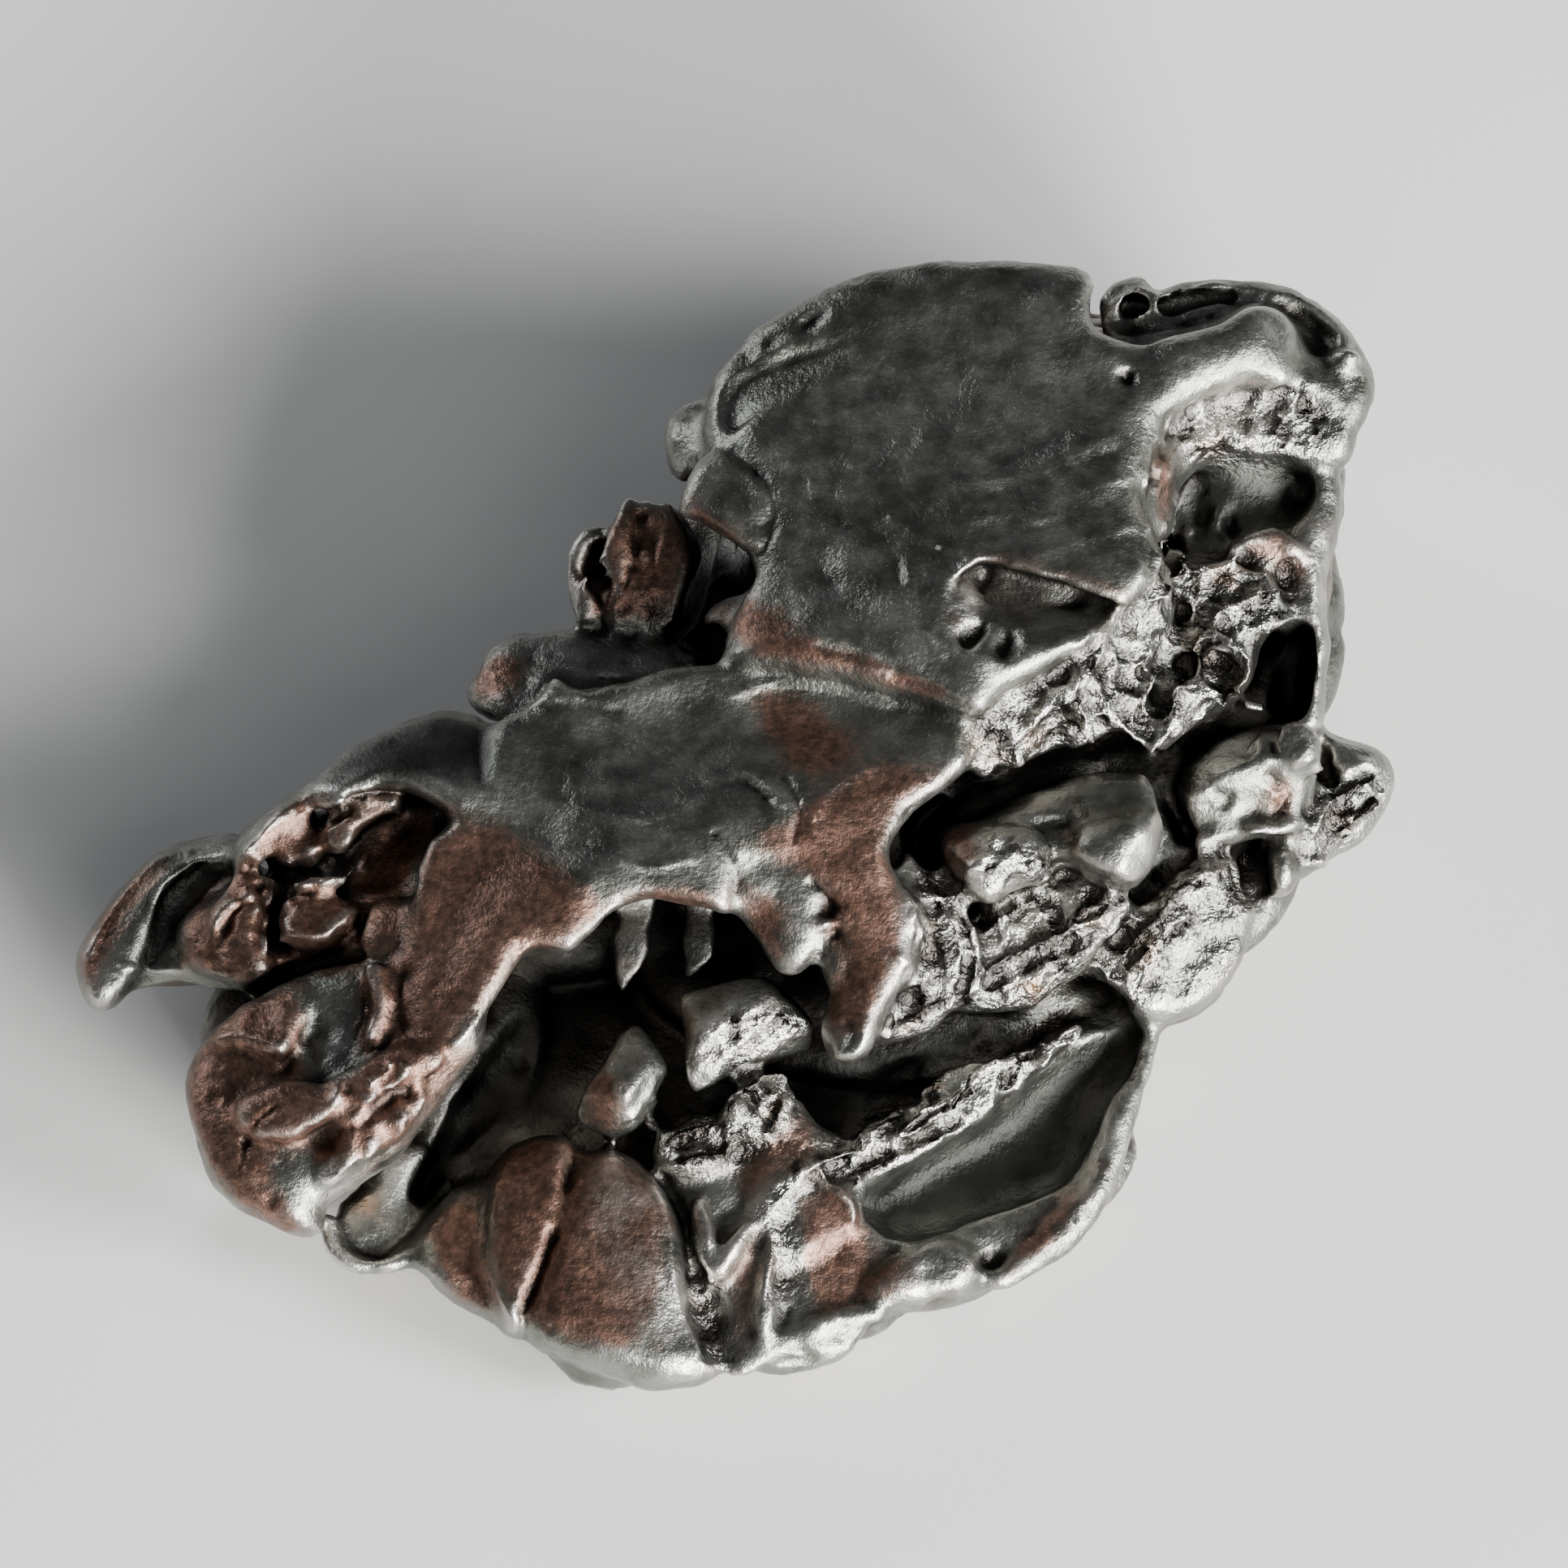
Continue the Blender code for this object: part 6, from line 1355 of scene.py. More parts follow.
def crumb_tree():
    """A Geometry Nodes tree that strews crumbs over the torn share of a skin."""
    tree, given = geometry_tree("torn_crumbs", CRUMB_INPUTS)
    add, _, _, _, times = node_tools(tree)
    torn_share = add("GeometryNodeInputNamedAttribute", {"Name": "torn"}, data_type="FLOAT")[0]
    strewn = add("GeometryNodeDistributePointsOnFaces", {
        "Mesh": given["Geometry"], "Density": times(torn_share, given["Density"]), "Seed": given["Seed"]})
    aligned = add("FunctionNodeAlignRotationToVector", {"Rotation": strewn["Rotation"], "Vector": PULL},
                  axis="X", pivot_axis="Z")
    spin = add("FunctionNodeRandomValue", {
        "Min": times(given["Turn"], -1), "Max": given["Turn"], "Seed": given["Seed"]}, data_type="FLOAT_VECTOR")
    turned = add("FunctionNodeRotateRotation", {0: aligned[0], 1: spin["Value"]}, rotation_space="LOCAL")
    stretch = add("FunctionNodeRandomValue", {"Min": CRUMB_LEAST, "Max": CRUMB_MOST}, data_type="FLOAT_VECTOR")
    sized = add("ShaderNodeVectorMath", {0: stretch["Value"], "Scale": given["Crumb size"]}, operation="SCALE")
    ball = add("GeometryNodeMeshIcoSphere", {"Radius": 1, "Subdivisions": 1})
    crumbs = add("GeometryNodeInstanceOnPoints", {
        "Points": strewn["Points"], "Instance": ball["Mesh"], "Rotation": turned[0], "Scale": sized[0]})
    real = add("GeometryNodeRealizeInstances", {"Geometry": crumbs["Instances"]})
    both = add("GeometryNodeJoinGeometry", {"Geometry": [real["Geometry"], given["Geometry"]]})
    dressed = add("GeometryNodeSetMaterial", {"Geometry": both["Geometry"], "Material": given["Metal"]})
    add("NodeGroupOutput", {"Geometry": dressed["Geometry"]})
    return tree


# %% Strew the crumbs
CRUMBLY = [
    [(1450, 620), (1500, 590), (1520, 610), (1500, 650), (1460, 676)],
    [(1446, 516), (1500, 492), (1600, 480), (1640, 520), (1634, 552), (1500, 552), (1456, 566), (1446, 620),
     (1440, 664), (1418, 664), (1404, 590)],
    [(1410, 700), (1440, 690), (1460, 676), (1516, 680), (1600, 740), (1560, 785), (1550, 830), (1520, 862),
     (1450, 904), (1418, 924), (1380, 900), (1262, 938), (1206, 962), (1198, 900), (1216, 868), (1300, 830),
     (1360, 770)],
    [(1116, 1056), (1150, 1070), (1206, 1130), (1256, 1096), (1310, 1080), (1390, 1106), (1366, 1156), (1304, 1210),
     (1262, 1244), (1180, 1250), (1100, 1282), (1086, 1262), (1130, 1190)],
    [(1060, 1390), (1130, 1345), (1200, 1300), (1330, 1250), (1340, 1262), (1296, 1306), (1196, 1386), (1060, 1454),
     (1030, 1440)],
    [(904, 1340), (944, 1314), (982, 1330), (984, 1366), (950, 1400)],
    [(1190, 1060), (1240, 1030), (1300, 1060), (1216, 1110)],
    [(1636, 950), (1700, 944), (1710, 990), (1650, 1046), (1626, 1010)],
    [(1550, 900), (1606, 890), (1620, 950), (1592, 1006), (1560, 990)],
    [(764, 1342), (800, 1330), (806, 1380), (776, 1398)], [(868, 1262), (960, 1246), (996, 1258), (870, 1326)],
    [(300, 1050), (370, 980), (490, 976), (500, 996), (400, 1046), (400, 1110), (330, 1170), (240, 1180),
     (290, 1090)],
    [(424, 1330), (540, 1290), (560, 1320), (500, 1390), (420, 1450), (410, 1390)],
    [(1176, 676), (1206, 690), (1196, 716), (1206, 746), (1168, 770), (1180, 730)],
    [(1350, 1200), (1420, 1110), (1500, 1060), (1540, 1100), (1440, 1160), (1380, 1230)],
]
CRUMBLY_SOFT = 14

iron = bpy.data.materials.new("weathered_iron")
seen = seen_at(corners_of(body.data))
view = in_view(seen, normals_of(body.data))
store(body.data, "torn", regions(seen, CRUMBLY, CRUMBLY_SOFT, view))
crumbs = body.modifiers.new("crumbs", "NODES")
crumbs.node_group = crumb_tree()
set_inputs(crumbs, Metal=iron)
applied(body)
before = len(body.data.vertices)
add_remesh(body)
applied(body)
keep_largest(body.data)
tell("corners with crumbs:", before, "after the remesh:", len(body.data.vertices))

# %% Sculpt the strokes
SOFTEN_SHARE = 0.5
TORN_SOFT = 22
CALM_SOFT = 60

mesh = body.data
edges = edges_of(mesh)
corners = spread(corners_of(mesh), edges, 1, SOFTEN_SHARE)
put_corners(mesh, corners)
normals = normals_of(mesh)
seen = seen_at(corners)
view = spread(in_view(seen, normals), edges, 3)
push = np.zeros(len(corners))
for wide, high, paths in STROKES + TORN_STROKES:
    for path in paths:
        push += stroke(seen, path, wide) * high
put_corners(mesh, corners + TOWARD * (push * view * MM)[:, None])
torn = spread(regions(seen, TORN, TORN_SOFT, view), edges, 2)
calm = spread(regions(seen, SMOOTH, CALM_SOFT, view), edges, 2)
tell("strokes, torn share:", round(float(torn.mean()), 3))

# %% [markdown]
# ## The relief of the whole surface
# What repeats all over is left to Geometry Nodes: a slow swell, the thumb-marks and dents that the air melted
# into the metal, and the pulled ridges of the torn places. The tree moves each point along its normal by the
# sum of its textures. The torn share of each corner comes in as an attribute, and so does how far the
# photograph leaves it unseen: there the metal gets the thumb prints that melting in the air left on such lumps.

# %% Keep the shares
store(body.data, "torn", torn)
store(body.data, "calm", calm)
store(body.data, "unseen", spread(1 - in_view(seen, normals), edges, 8))

# %% The relief tree
THUMB_REACH, DENT_REACH, POCK_REACH = 0.62, 0.62, 0.50
DENT_GAIN, POCK_GAIN = 2.6, 4.0
RIDGE_MEAN = 0.9
PULL_SQUASH = 0.72
RELIEF_INPUTS = [(label, "Float", size) for label, size in (
    ("Swell size", 0.0045), ("Swell height", 0.00050), ("Dent size", 0.0024), ("Dent depth", 0.00030),
    ("Thumb size", 0.0040), ("Thumb depth", 0.00085), ("Pock size", 0.0011), ("Pock depth", 0.00014),
    ("Torn size", 0.0011), ("Torn height", 0.00043), ("Grit size", 0.00050), ("Grit height", 0.00042),
)] + [("Metal", "Material", None)]


def relief_tree():
    """A Geometry Nodes tree that weathers a skin of metal."""
    tree, given = geometry_tree("weathered_relief", RELIEF_INPUTS)
    add, maths, plus, minus, times = node_tools(tree)
    spot = add("GeometryNodeInputPosition", {})[0]

    def scaled(where, size):
        return add("ShaderNodeVectorMath", {0: where, "Scale": maths("DIVIDE", 1.0, size)}, operation="SCALE")[0]

    def noise(where, size, detail, kind="FBM"):
        return add("ShaderNodeTexNoise", {"Vector": scaled(where, size), "Scale": 1.0, "Detail": detail},
                   noise_type=kind, normalize=kind == "FBM")[0]

    def pits(name, reach, gain):
        """Round dents of this name's size and depth, one round each Voronoi point."""
        near = add("ShaderNodeTexVoronoi", {
            "Smoothness": 0.25, "Vector": scaled(spot, given[name + " size"]), "Scale": 1.0,
        }, feature="SMOOTH_F1")["Distance"]
        near = maths("MAXIMUM", minus(reach, near), 0.0)
        return times(times(near, near), times(given[name + " depth"], gain))

    def share_of(name):
        return add("GeometryNodeInputNamedAttribute", {"Name": name}, data_type="FLOAT")["Attribute"]

    torn_share = share_of("torn")
    whole_share = times(minus(1.0, times(torn_share, 0.7)), minus(1.0, times(share_of("calm"), 0.6)))
    swell = times(minus(noise(spot, given["Swell size"], 3.0), 0.5), given["Swell height"])
    dents, pocks = pits("Dent", DENT_REACH, DENT_GAIN), pits("Pock", POCK_REACH, POCK_GAIN)
    smooth_part = minus(swell, times(plus(dents, pocks), whole_share))
    smooth_part = minus(smooth_part, times(pits("Thumb", THUMB_REACH, DENT_GAIN), share_of("unseen")))

    along = add("ShaderNodeVectorMath", {0: spot, 1: PULL}, operation="DOT_PRODUCT")["Value"]
    shift = add("ShaderNodeVectorMath", {0: PULL, "Scale": times(along, PULL_SQUASH)}, operation="SCALE")[0]
    squashed = add("ShaderNodeVectorMath", {0: spot, 1: shift}, operation="SUBTRACT")[0]
    ridges = minus(noise(squashed, given["Torn size"], 2.0, "RIDGED_MULTIFRACTAL"), RIDGE_MEAN)
    torn_part = times(times(ridges, given["Torn height"]), torn_share)

    grit = times(minus(noise(spot, given["Grit size"], 1.0), 0.5), given["Grit height"])
    grit = times(grit, plus(times(torn_share, 0.9), 0.1))
    away = plus(plus(smooth_part, torn_part), grit)
    move = add("ShaderNodeVectorMath", {0: add("GeometryNodeInputNormal", {})[0], "Scale": away}, operation="SCALE")
    moved = add("GeometryNodeSetPosition", {"Geometry": given["Geometry"], "Offset": move[0]})
    real = add("GeometryNodeRealizeInstances", {"Geometry": moved["Geometry"]})
    dressed = add("GeometryNodeSetMaterial", {"Geometry": real["Geometry"], "Material": given["Metal"]})
    add("NodeGroupOutput", {"Geometry": dressed["Geometry"]})
    return tree


relief = body.modifiers.new("relief", "NODES")
relief.node_group = relief_tree()
set_inputs(relief, Metal=iron)
applied(body)
tell("relief applied")

# %% [markdown]
# The sculpted skin has far more faces than it needs on its smooth parts. The Decimate modifier takes them out
# where the surface is flat and keeps them where it bends. Then the lump is fitted into the solid part's box.

# %% Fewer faces, same shape
MOST_TRIANGLES = 196000


def fit_to(mesh, box):
    """Squeezes the mesh by a hair, so that it fills the box of the solid part."""
    low, high = np.array(box[0]), np.array(box[1])
    places = corners_of(mesh)
    own_low, own_high = places.min(0), places.max(0)
    places = low + (places - own_low) / (own_high - own_low) * (high - low)
    put_corners(mesh, places)
    return (own_high - own_low) / MM


fewer = body.modifiers.new("fewer", "DECIMATE")
fewer.ratio = MOST_TRIANGLES / (2 * len(body.data.polygons))
applied(body)
wear_flat(body.data, 0)
print("size before fitting, mm:", fit_to(body.data, solid_box))
body.data.calc_loop_triangles()
body.data.polygons.foreach_set("use_smooth", [True] * len(body.data.polygons))
tell("triangles:", len(body.data.loop_triangles))

# %% [markdown]
# ## Where the iron is dark, rusty or polished, and where light and shade are painted
# Each corner keeps a few numbers for the material: how sharp the edge is there, how much open sky it sees, and
# how rusty, polished or amber the photograph shows it. Little open sky and the listed hollows get painted shade;
# the polish places are partly polished metal and partly painted highlight.

# %% Masks of the look
RUST = [
    [(225, 1300), (290, 1230), (370, 1200), (386, 1260), (376, 1300), (396, 1330), (440, 1320), (440, 1250),
     (430, 1190), (500, 1150), (560, 1270), (600, 1290), (540, 1400), (410, 1440), (396, 1420), (350, 1420),
     (346, 1460), (380, 1500), (400, 1520), (330, 1520), (260, 1440), (225, 1360)],
    [(520, 1040), (600, 1000), (700, 1060), (760, 1120), (700, 1180), (640, 1210), (560, 1290), (480, 1270),
     (500, 1150)],
    [(760, 1095), (840, 1085), (905, 1100), (895, 1130), (780, 1125)],
    [(290, 1060), (370, 970), (420, 1000), (480, 980), (560, 1000), (520, 1100), (500, 1180), (400, 1200),
     (300, 1220), (220, 1190), (230, 1110)],
    [(95, 1190), (120, 1120), (190, 1050), (230, 1060), (180, 1110), (140, 1180), (120, 1230)],
    [(370, 960), (420, 985), (490, 965), (560, 990), (590, 1000), (570, 1020), (480, 990), (410, 1010)],
    [(700, 700), (760, 620), (850, 620), (860, 700), (820, 770), (720, 765)],
    [(838, 600), (860, 610), (930, 665), (940, 690), (880, 670), (835, 640)],
    [(850, 770), (870, 730), (900, 715), (930, 730), (960, 790), (930, 800), (870, 775)],
    [(900, 740), (960, 740), (1010, 790), (1100, 820), (1180, 850), (1150, 870), (1040, 830), (940, 820),
     (900, 790)],
    [(920, 850), (980, 845), (1030, 890), (1080, 900), (1040, 960), (970, 960), (930, 900)],
    [(900, 1030), (960, 1010), (1000, 980), (1090, 930), (1160, 940), (1190, 950), (1110, 1000), (1090, 1040),
     (1120, 1120), (1110, 1180), (1070, 1270), (1020, 1280), (1010, 1230), (1040, 1160), (1010, 1090), (940, 1060)],
    [(575, 850), (590, 810), (640, 800), (660, 830), (620, 870), (585, 870)],
    [(600, 1400), (690, 1390), (800, 1430), (830, 1500), (820, 1600), (780, 1660), (700, 1650), (640, 1620),
     (600, 1540)],
    [(520, 1510), (590, 1450), (610, 1560), (640, 1620), (560, 1600)],
    [(980, 1470), (1040, 1450), (1080, 1520), (1070, 1600), (1000, 1620), (985, 1540)],
    [(900, 1560), (925, 1500), (940, 1500), (930, 1600), (930, 1660), (905, 1670)],
    [(1060, 1600), (1080, 1550), (1120, 1530), (1130, 1570), (1100, 1600)],
    [(1230, 1570), (1250, 1520), (1310, 1460), (1340, 1440), (1330, 1480), (1290, 1540)],
    [(1185, 670), (1240, 680), (1330, 705), (1400, 730), (1395, 755), (1350, 745), (1280, 725), (1220, 705)],
    [(1520, 690), (1540, 655), (1590, 645), (1620, 700), (1600, 745), (1560, 700)],
    [(1410, 560), (1440, 545), (1450, 600), (1440, 660), (1420, 640)],
    [(1148, 1040), (1165, 1010), (1200, 1010), (1210, 1060), (1180, 1090), (1155, 1070)],
    [(1290, 1010), (1320, 1010), (1340, 1050), (1320, 1060)], [(1545, 1000), (1558, 950), (1600, 965), (1590, 1015)],
    [(710, 1330), (740, 1310), (770, 1330), (770, 1400), (720, 1390)],
    [(835, 1230), (858, 1240), (850, 1320), (836, 1300)], [(756, 1176), (800, 1176), (790, 1196), (764, 1220)],
    [(950, 1390), (1000, 1350), (1010, 1420), (960, 1450), (910, 1480), (900, 1440)],
    [(904, 1080), (960, 1104), (978, 1120), (972, 1180), (950, 1190), (918, 1150)],
    [(1010, 1070), (1060, 1060), (1060, 1140), (1030, 1200), (1010, 1150)],
]
# Places of polished metal that also stand for highlights: bare metal colour is painted where bright reflections
# fall, so they are partly real polish and partly painted highlight.
POLISHED = [
    [(1180, 1060), (1220, 1030), (1270, 1050), (1260, 1090), (1215, 1110)],
    [(1350, 1040), (1420, 1010), (1430, 1050), (1400, 1085), (1350, 1075)],
    [(860, 1260), (900, 1240), (1000, 1250), (985, 1285), (930, 1300), (870, 1330)],
    [(690, 1420), (790, 1425), (830, 1490), (830, 1600), (790, 1640), (750, 1540), (710, 1470)],
    [(796, 1440), (834, 1490), (846, 1560), (870, 1640), (850, 1660), (812, 1580), (806, 1500)],
    [(852, 1470), (884, 1490), (886, 1560), (866, 1576)],
    [(930, 1496), (900, 1520), (866, 1584), (884, 1592), (914, 1552)],
    [(930, 1580), (950, 1500), (965, 1500), (955, 1640), (930, 1660)],
    [(800, 1440), (835, 1490), (850, 1550), (880, 1640), (885, 1690), (820, 1700), (800, 1640), (810, 1560),
     (790, 1480)],
    [(1440, 520), (1500, 470), (1580, 460), (1600, 500), (1500, 500)],
    [(1595, 660), (1640, 650), (1640, 740), (1620, 760), (1600, 720)],
    [(1115, 1090), (1140, 1140), (1130, 1200), (1090, 1290), (1060, 1310), (1080, 1240), (1110, 1180)],
    [(1100, 990), (1150, 950), (1195, 930), (1190, 960), (1130, 1000), (1100, 1040)],
    [(640, 1160), (660, 1165), (600, 1250), (560, 1300), (575, 1240)],
    [(690, 1165), (760, 1105), (770, 1120), (700, 1185)], [(884, 1104), (914, 1096), (914, 1128), (892, 1130)],
    [(980, 1106), (1006, 1114), (1006, 1170), (984, 1188)],
    [(1090, 1560), (1150, 1530), (1200, 1540), (1180, 1590), (1110, 1605)],
    [(1330, 1460), (1370, 1400), (1385, 1370), (1370, 1440), (1330, 1510)],
    [(1170, 680), (1210, 680), (1205, 790), (1170, 790)],
    [(390, 1490), (400, 1440), (500, 1420), (540, 1340), (580, 1290), (600, 1290), (560, 1350), (500, 1440),
     (440, 1480), (400, 1520)],
]
AMBER = [
    [(1255, 1210), (1290, 1200), (1300, 1225), (1270, 1236)], [(440, 1478), (470, 1472), (468, 1494)],
]
# Outlines of the black hollows and gaps, painted near black as their shadow.
OXIDE = [
    [(636, 1190), (664, 1174), (700, 1176), (730, 1150), (762, 1122), (800, 1112), (872, 1120), (908, 1132),
     (930, 1162), (956, 1196), (1004, 1236), (996, 1250), (960, 1214), (930, 1192), (880, 1196), (836, 1212),
     (790, 1220), (740, 1226), (650, 1230)],
    [(600, 1260), (652, 1222), (700, 1200), (760, 1215), (830, 1215), (836, 1250), (800, 1250), (760, 1250),
     (740, 1300), (700, 1340), (700, 1390), (640, 1385), (590, 1410), (520, 1480), (505, 1460), (560, 1340)],
    [(990, 1300), (1050, 1314), (1090, 1292), (1200, 1256), (1290, 1244), (1252, 1270), (1160, 1308), (1120, 1340),
     (1056, 1372), (1040, 1396), (1005, 1400), (986, 1352)],
    [(1068, 1470), (1190, 1394), (1300, 1316), (1384, 1256), (1408, 1262), (1396, 1308), (1346, 1404), (1316, 1444),
     (1190, 1496), (1090, 1514)],
    [(1456, 600), (1500, 556), (1600, 566), (1622, 590), (1610, 630), (1560, 652), (1520, 676), (1466, 684)],
    [(1556, 840), (1566, 796), (1600, 762), (1622, 770), (1620, 840), (1600, 884), (1560, 875)],
    [(1130, 1010), (1200, 972), (1270, 946), (1340, 926), (1400, 920), (1430, 940), (1400, 946), (1330, 952),
     (1250, 978), (1190, 1000), (1150, 1020)],
    [(1440, 960), (1460, 930), (1490, 900), (1600, 880), (1560, 900), (1480, 940)],
    [(400, 960), (440, 920), (560, 880), (604, 900), (596, 960), (500, 965)],
    [(800, 640), (845, 640), (880, 672), (935, 692), (905, 745), (890, 800), (830, 812), (812, 765), (826, 700)],
    [(585, 890), (612, 895), (606, 968), (585, 975)],
    [(900, 1600), (915, 1570), (936, 1510), (926, 1580), (912, 1660), (900, 1680)],
]
RUST_SOFT, POLISH_SOFT, OXIDE_SOFT, AMBER_SOFT, TORN_MASK_SOFT = 44, 26, 24, 16, 30
UNSEEN_RUST = 0.62
SHARP_BEND = 2500
SKY_RAYS = 14
SKY_REACH = 0.012
SKY_START = 0.00015
SKY_LEAN = 0.4


def open_sky(mesh, corners, normals, edges):
    """How much of the space before each corner is free of metal."""
    tree = BVHTree.FromPolygons(corners.tolist(), [tuple(face.vertices) for face in mesh.polygons])
    rng = np.random.default_rng(3)
    free = np.zeros(len(corners))
    starts = corners + normals * SKY_START
    for k in range(len(corners)):
        normal = normals[k]
        start = Vector(starts[k])
        hits = 0
        for way in SKY_WAYS[rng.integers(len(SKY_WAYS))]:
            facing = way if way @ normal > 0 else -way
            hits += tree.ray_cast(start, Vector(facing + normal * SKY_LEAN), SKY_REACH)[0] is None
        free[k] = hits / SKY_RAYS
    return spread(free, edges, 2)


sky_rng = np.random.default_rng(5)
SKY_WAYS = sky_rng.normal(size=(64, SKY_RAYS, 3))
SKY_WAYS /= np.linalg.norm(SKY_WAYS, axis=2, keepdims=True)

mesh = body.data
edges = edges_of(mesh)
corners, normals = corners_of(mesh), normals_of(mesh)
across_edges = corners[edges[:, 1]] - corners[edges[:, 0]]
lengths = np.linalg.norm(across_edges, axis=1)
turn = ((normals[edges[:, 1]] - normals[edges[:, 0]]) * across_edges).sum(1) / np.maximum(lengths, 1e-7) ** 2
count = len(corners)
degree = np.bincount(edges.ravel(), minlength=count)
bent = (np.bincount(edges[:, 0], turn, count) + np.bincount(edges[:, 1], turn, count)) / degree
store(mesh, "edge", np.clip(spread(bent, edges, 1) / SHARP_BEND, -1, 1))
seen = seen_at(corners)
view = spread(in_view(seen, normals), edges, 3)
store(mesh, "torn", spread(regions(seen, TORN, TORN_MASK_SOFT, view), edges, 2))
rusted = np.maximum(regions(seen, RUST, RUST_SOFT, view), UNSEEN_RUST * (1 - view))
store(mesh, "rust", spread(rusted, edges, 2))
# The polish share is partly polished metal and partly painted highlight.
store(mesh, "polish", spread(regions(seen, POLISHED, POLISH_SOFT, view), edges, 2))
# This share marks the hollows and gaps where a black shadow is painted, seen or not.
store(mesh, "oxide", spread(regions(seen, OXIDE, OXIDE_SOFT, np.ones(count)), edges, 2))
store(mesh, "amber", spread(regions(seen, AMBER, AMBER_SOFT, view), edges, 1))
tell("masks")
# The open sky share also sets painted shade: corners that see little sky turn near black in the material.
store(mesh, "sky", open_sky(mesh, corners, normals, edges))
tell("sky")

# %% [markdown]
# ## The iron
# Old meteoritic iron has a thin dark skin of oxide, bluish grey to black. Where it was rubbed, the bare metal
# shines through on crests and edges, and rust sits in sheltered places. Light and shade are painted in too: the
# polish places are partly painted highlight, and hollows and creases turn near black as painted shade. The
# material mixes all these by the corner attributes and by noise, so that no border is a plain line.

# %% Helpers for the iron
def iron_tools(add):
    """Short ways to add the nodes that the iron is made of."""

    def ranged(value, low, high, new_low=0.0, new_high=1.0):
        return add("ShaderNodeMapRange", {
            "Value": value, "From Min": low, "From Max": high, "To Min": new_low, "To Max": new_high,
        }, interpolation_type="SMOOTHSTEP")[0]

    def mix(share, first, second):
        return add("ShaderNodeMix", {"Factor": share, 6: first, 7: second}, data_type="RGBA")[2]

    def named(name):
        return add("ShaderNodeAttribute", {}, attribute_name=name)["Fac"]

    def noise(where, scale, detail, roughness):
        return add("ShaderNodeTexNoise", {
            "Vector": where, "Scale": scale, "Detail": detail, "Roughness": roughness})[0]

    return ranged, mix, named, noise


# %% The iron material
DARK_LOW, DARK_HIGH = (0.125, 0.126, 0.112, 1), (0.270, 0.275, 0.252, 1)
BARE_LOW, BARE_HIGH = (0.48, 0.465, 0.435, 1), (0.72, 0.70, 0.665, 1)
RUSTY_LOW, RUSTY_HIGH = (0.085, 0.045, 0.032, 1), (0.215, 0.113, 0.080, 1)
AMBER_GLOW = (0.40, 0.19, 0.06, 1)
BRONZE = (0.30, 0.195, 0.14, 1)
# Near black for the painted shade in hollows and creases that see little sky.
SOOT = (0.014, 0.011, 0.010, 1)
# Near black for the painted shadow in the listed hollows and gaps.
BLACK_OXIDE = (0.016, 0.016, 0.015, 1)
BUMP_HEIGHT = 0.00022


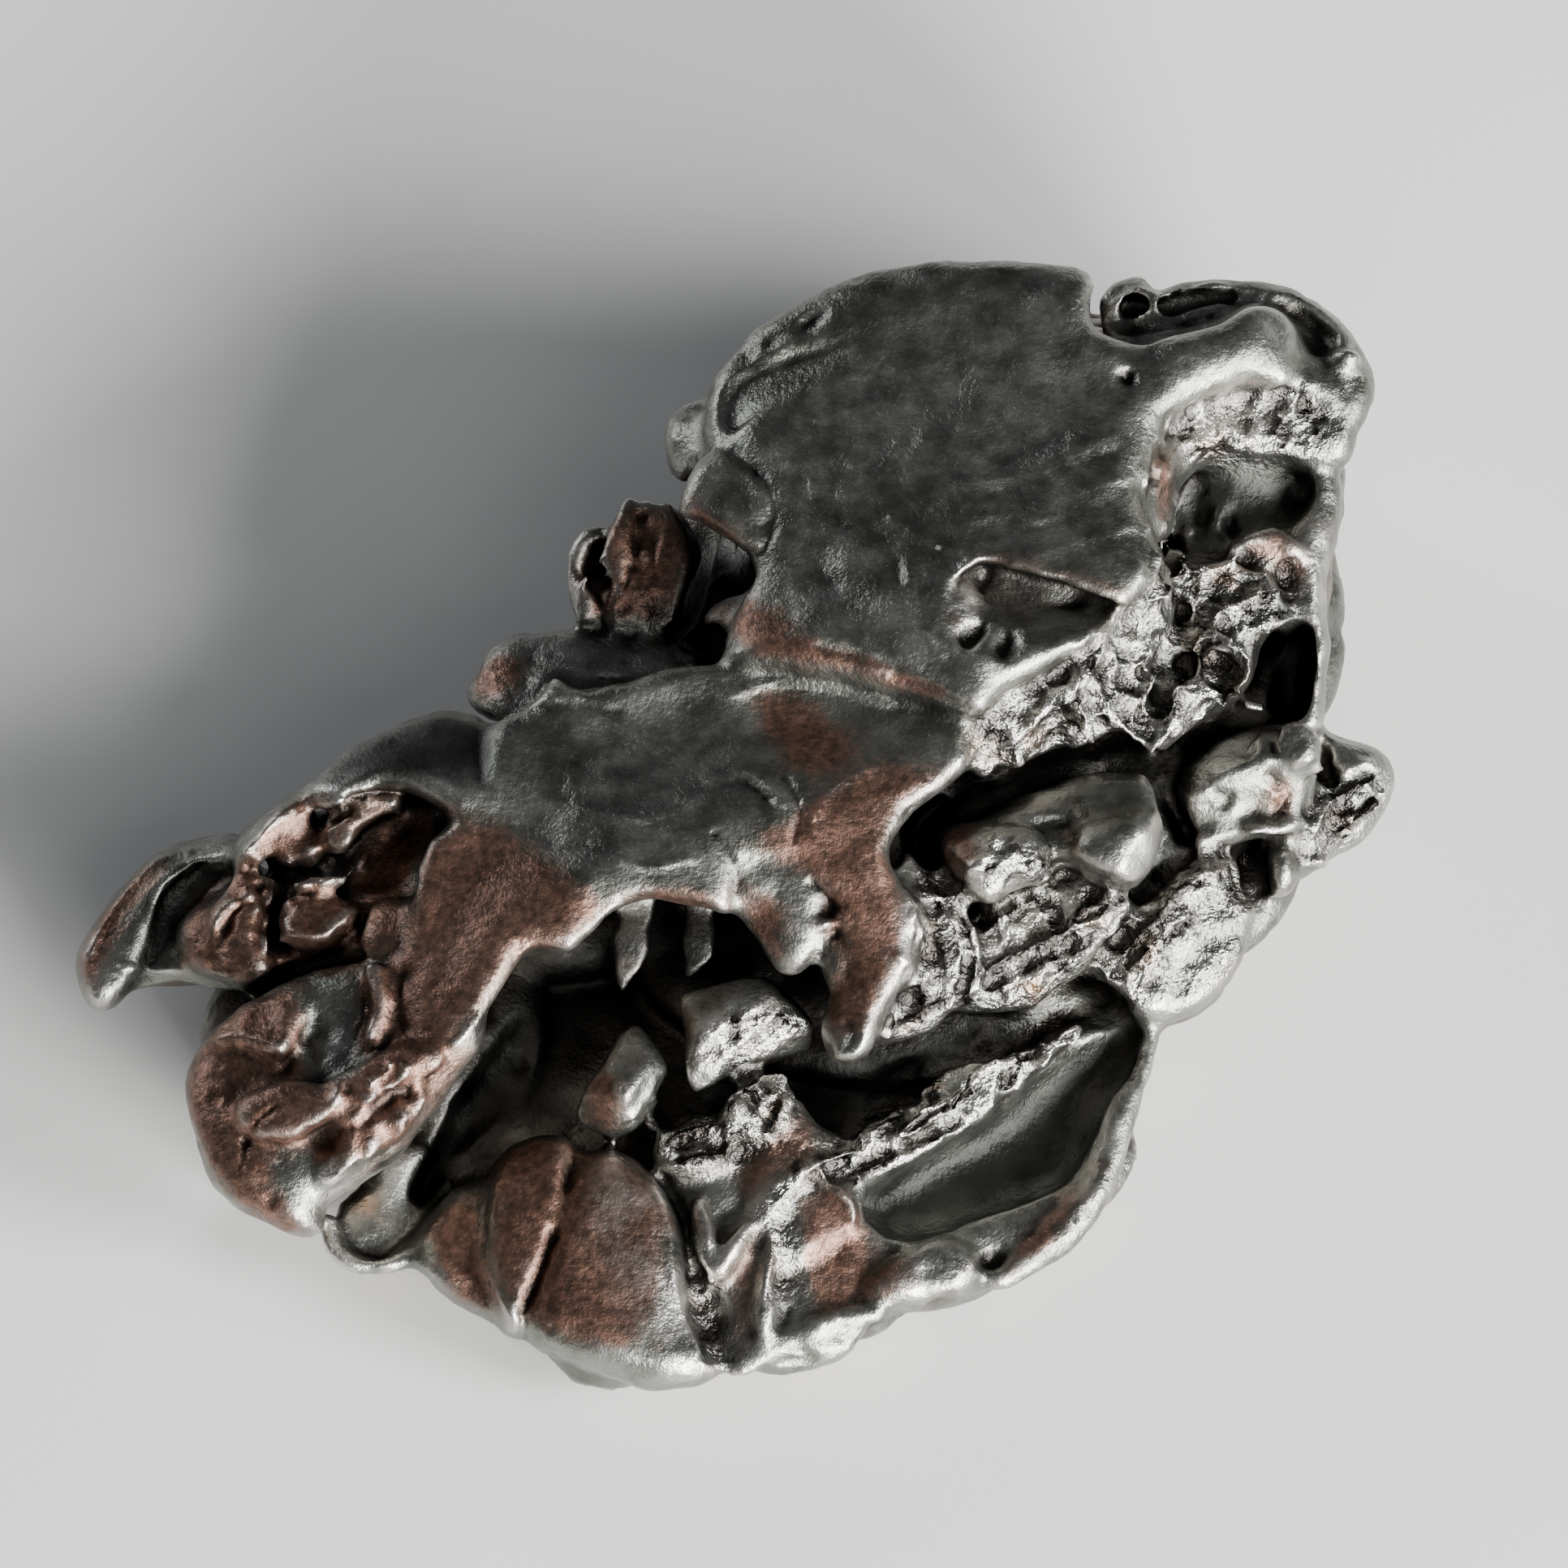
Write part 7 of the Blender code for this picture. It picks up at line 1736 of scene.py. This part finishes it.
def build_iron(material):
    """Dark oxidised skin, bare metal, rust, painted shade and painted highlight, mixed by attributes and noise."""
    material.use_nodes = True
    tree = material.node_tree
    tree.nodes.clear()
    add, maths, plus, minus, times = node_tools(tree)
    ranged, mix, named, noise = iron_tools(add)
    where = add("ShaderNodeTexCoord", {})["Object"]
    edge, sky, torn_share = named("edge"), named("sky"), named("torn")
    rust_place, polish_place, amber_place = named("rust"), named("polish"), named("amber")
    # Share of painted shadow in the listed hollows, weaker on torn metal.
    oxide = times(named("oxide"), minus(1.0, times(torn_share, 0.7)))
    broad, blotch = noise(where, 160, 4.0, 0.55), noise(where, 620, 5.0, 0.65)
    speckle, grain = noise(where, 2300, 2.0, 0.6), noise(where, 4200, 3.0, 0.7)
    cloudy = plus(times(broad, 0.5), times(blotch, 0.5))

    dark = mix(ranged(cloudy, 0.34, 0.66), DARK_LOW, DARK_HIGH)
    bare = mix(ranged(broad, 0.3, 0.7), BARE_LOW, BARE_HIGH)
    rusty = mix(ranged(speckle, 0.3, 0.7), RUSTY_LOW, RUSTY_HIGH)

    # Bare metal on convex edges (wear), on torn metal and on the polish places, which are partly painted highlight.
    rubbed = plus(ranged(edge, 0.1, 0.6, 0.0, 0.7), times(polish_place, 0.5))
    rubbed = plus(rubbed, times(torn_share, 0.48))
    rubbed = times(rubbed, ranged(plus(blotch, times(speckle, 0.4)), 0.45, 0.8))
    rubbed = times(rubbed, ranged(sky, 0.15, 0.6), use_clamp=True)
    ragged = plus(cloudy, plus(times(speckle, 0.18), times(grain, 0.30)))
    rust_share = times(ranged(plus(rust_place, ragged), 1.05, 1.72), minus(1.0, times(rubbed, 0.6)), use_clamp=True)
    # Concave creases get painted shade.
    creased = ranged(edge, -0.42, 0.02, 1.0, 0.0)

    colour = mix(rubbed, dark, bare)
    bronze_share = ranged(noise(where, 420, 4.0, 0.6), 0.54, 0.68, 0.0, 0.55)
    colour = mix(times(bronze_share, maths("MAXIMUM", torn_share, polish_place)), colour, BRONZE)
    colour = mix(times(rust_share, 0.92), colour, rusty)
    colour = mix(times(amber_place, ranged(blotch, 0.4, 0.6)), colour, AMBER_GLOW)
    # Painted shade: the colour goes to near black where little sky is open and in concave creases.
    open_share = times(ranged(sky, 0.08, 0.45, 0.10, 1.0), minus(1.0, times(creased, 0.85)))
    colour = mix(open_share, SOOT, colour)
    # Painted shadow: the listed hollows and gaps go near black, less where rust shows.
    colour = mix(times(times(oxide, 0.88), minus(1.0, times(rust_share, 0.6))), colour, BLACK_OXIDE)

    rough = plus(ranged(blotch, 0.25, 0.75, 0.27, 0.40), times(rust_share, 0.05))
    rough = plus(plus(rough, times(grain, 0.06)), times(oxide, 0.12))
    rough = minus(minus(rough, times(torn_share, 0.08)), times(rubbed, 0.06))
    high = plus(times(grain, 0.5), times(speckle, ranged(torn_share, 0.0, 1.0, 0.35, 0.9)))
    bump = add("ShaderNodeBump", {
        "Distance": BUMP_HEIGHT, "Strength": ranged(torn_share, 0.0, 1.0, 0.5, 1.0),
        "Height": plus(high, times(blotch, 0.4))})[0]
    shader = add("ShaderNodeBsdfPrincipled", {
        "Base Color": colour, "Metallic": ranged(rust_share, 0.2, 1.0, 0.97, 0.90), "Roughness": rough,
        "Normal": bump})[0]
    add("ShaderNodeOutputMaterial", {"Surface": shader})


build_iron(iron)
body.data.materials.clear()
body.data.materials.append(iron)
tell("iron")

# %% [markdown]
# ## The floor, the light and the camera
# Dark metal shows its shape by what it mirrors, so most light comes from two strong panels low at the front
# right. A weak one in front, a faint sky, and a small one at the back left for the thin pale rims go with them.
# The camera looks down from 60 degrees above the table, from far away with a long lens.

# %% Floor, lights and camera
def plain_material(name, colour, rough):
    material = bpy.data.materials.new(name)
    material.use_nodes = True
    shader = material.node_tree.nodes["Principled BSDF"]
    shader.inputs["Base Color"].default_value = colour
    shader.inputs["Roughness"].default_value = rough
    return material


def panel(name, from_way, away, size, power, colour=(1, 1, 1)):
    """A square light at this distance, looking at the lump."""
    light = bpy.data.lights.new(name, "AREA")
    light.size = size
    light.energy = power
    light.color = colour
    lamp = bpy.data.objects.new(name, light)
    way = Vector(from_way).normalized()
    lamp.location = way * away
    lamp.rotation_euler = way.to_track_quat("Z", "Y").to_euler()
    bpy.context.scene.collection.objects.link(lamp)


bpy.ops.mesh.primitive_plane_add(size=6, location=(0, 0, -0.00005))
floor = bpy.context.object
floor.name = "floor"
floor.data.materials.append(plain_material("floor_paper", (0.75, 0.75, 0.74, 1), 0.85))

world = bpy.data.worlds.new("studio")
world.use_nodes = True
world.node_tree.nodes["Background"].inputs[0].default_value = (0.9, 0.95, 1, 1)
world.node_tree.nodes["Background"].inputs[1].default_value = 0.08
bpy.context.scene.world = world
panel("key", (0.52, -0.78, 0.26), 0.8, 0.30, 23, (1, 0.985, 0.96))
panel("side", (0.85, -0.35, 0.45), 0.8, 0.30, 12)
panel("front", (0.15, -0.72, 0.62), 0.9, 0.5, 1.8)
panel("back", (-0.7, 0.6, 0.30), 0.9, 0.20, 2.5, (0.93, 0.96, 1))

CAMERA_AWAY = 2.5
SENSOR = 36
lens = bpy.data.cameras.new("camera")
lens.sensor_width = SENSOR
lens.lens = SENSOR * CAMERA_AWAY / (PHOTO * PIXEL)
lens.clip_end = 20
camera = bpy.data.objects.new("camera", lens)
camera.location = Vector(TOWARD * CAMERA_AWAY + AIM)
camera.rotation_euler = Vector(TOWARD).to_track_quat("Z", "Y").to_euler()
bpy.context.scene.collection.objects.link(camera)
bpy.context.scene.camera = camera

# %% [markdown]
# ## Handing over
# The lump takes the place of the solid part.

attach(body, "root")
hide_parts("meteorite")
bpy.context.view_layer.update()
tell("sizes written")
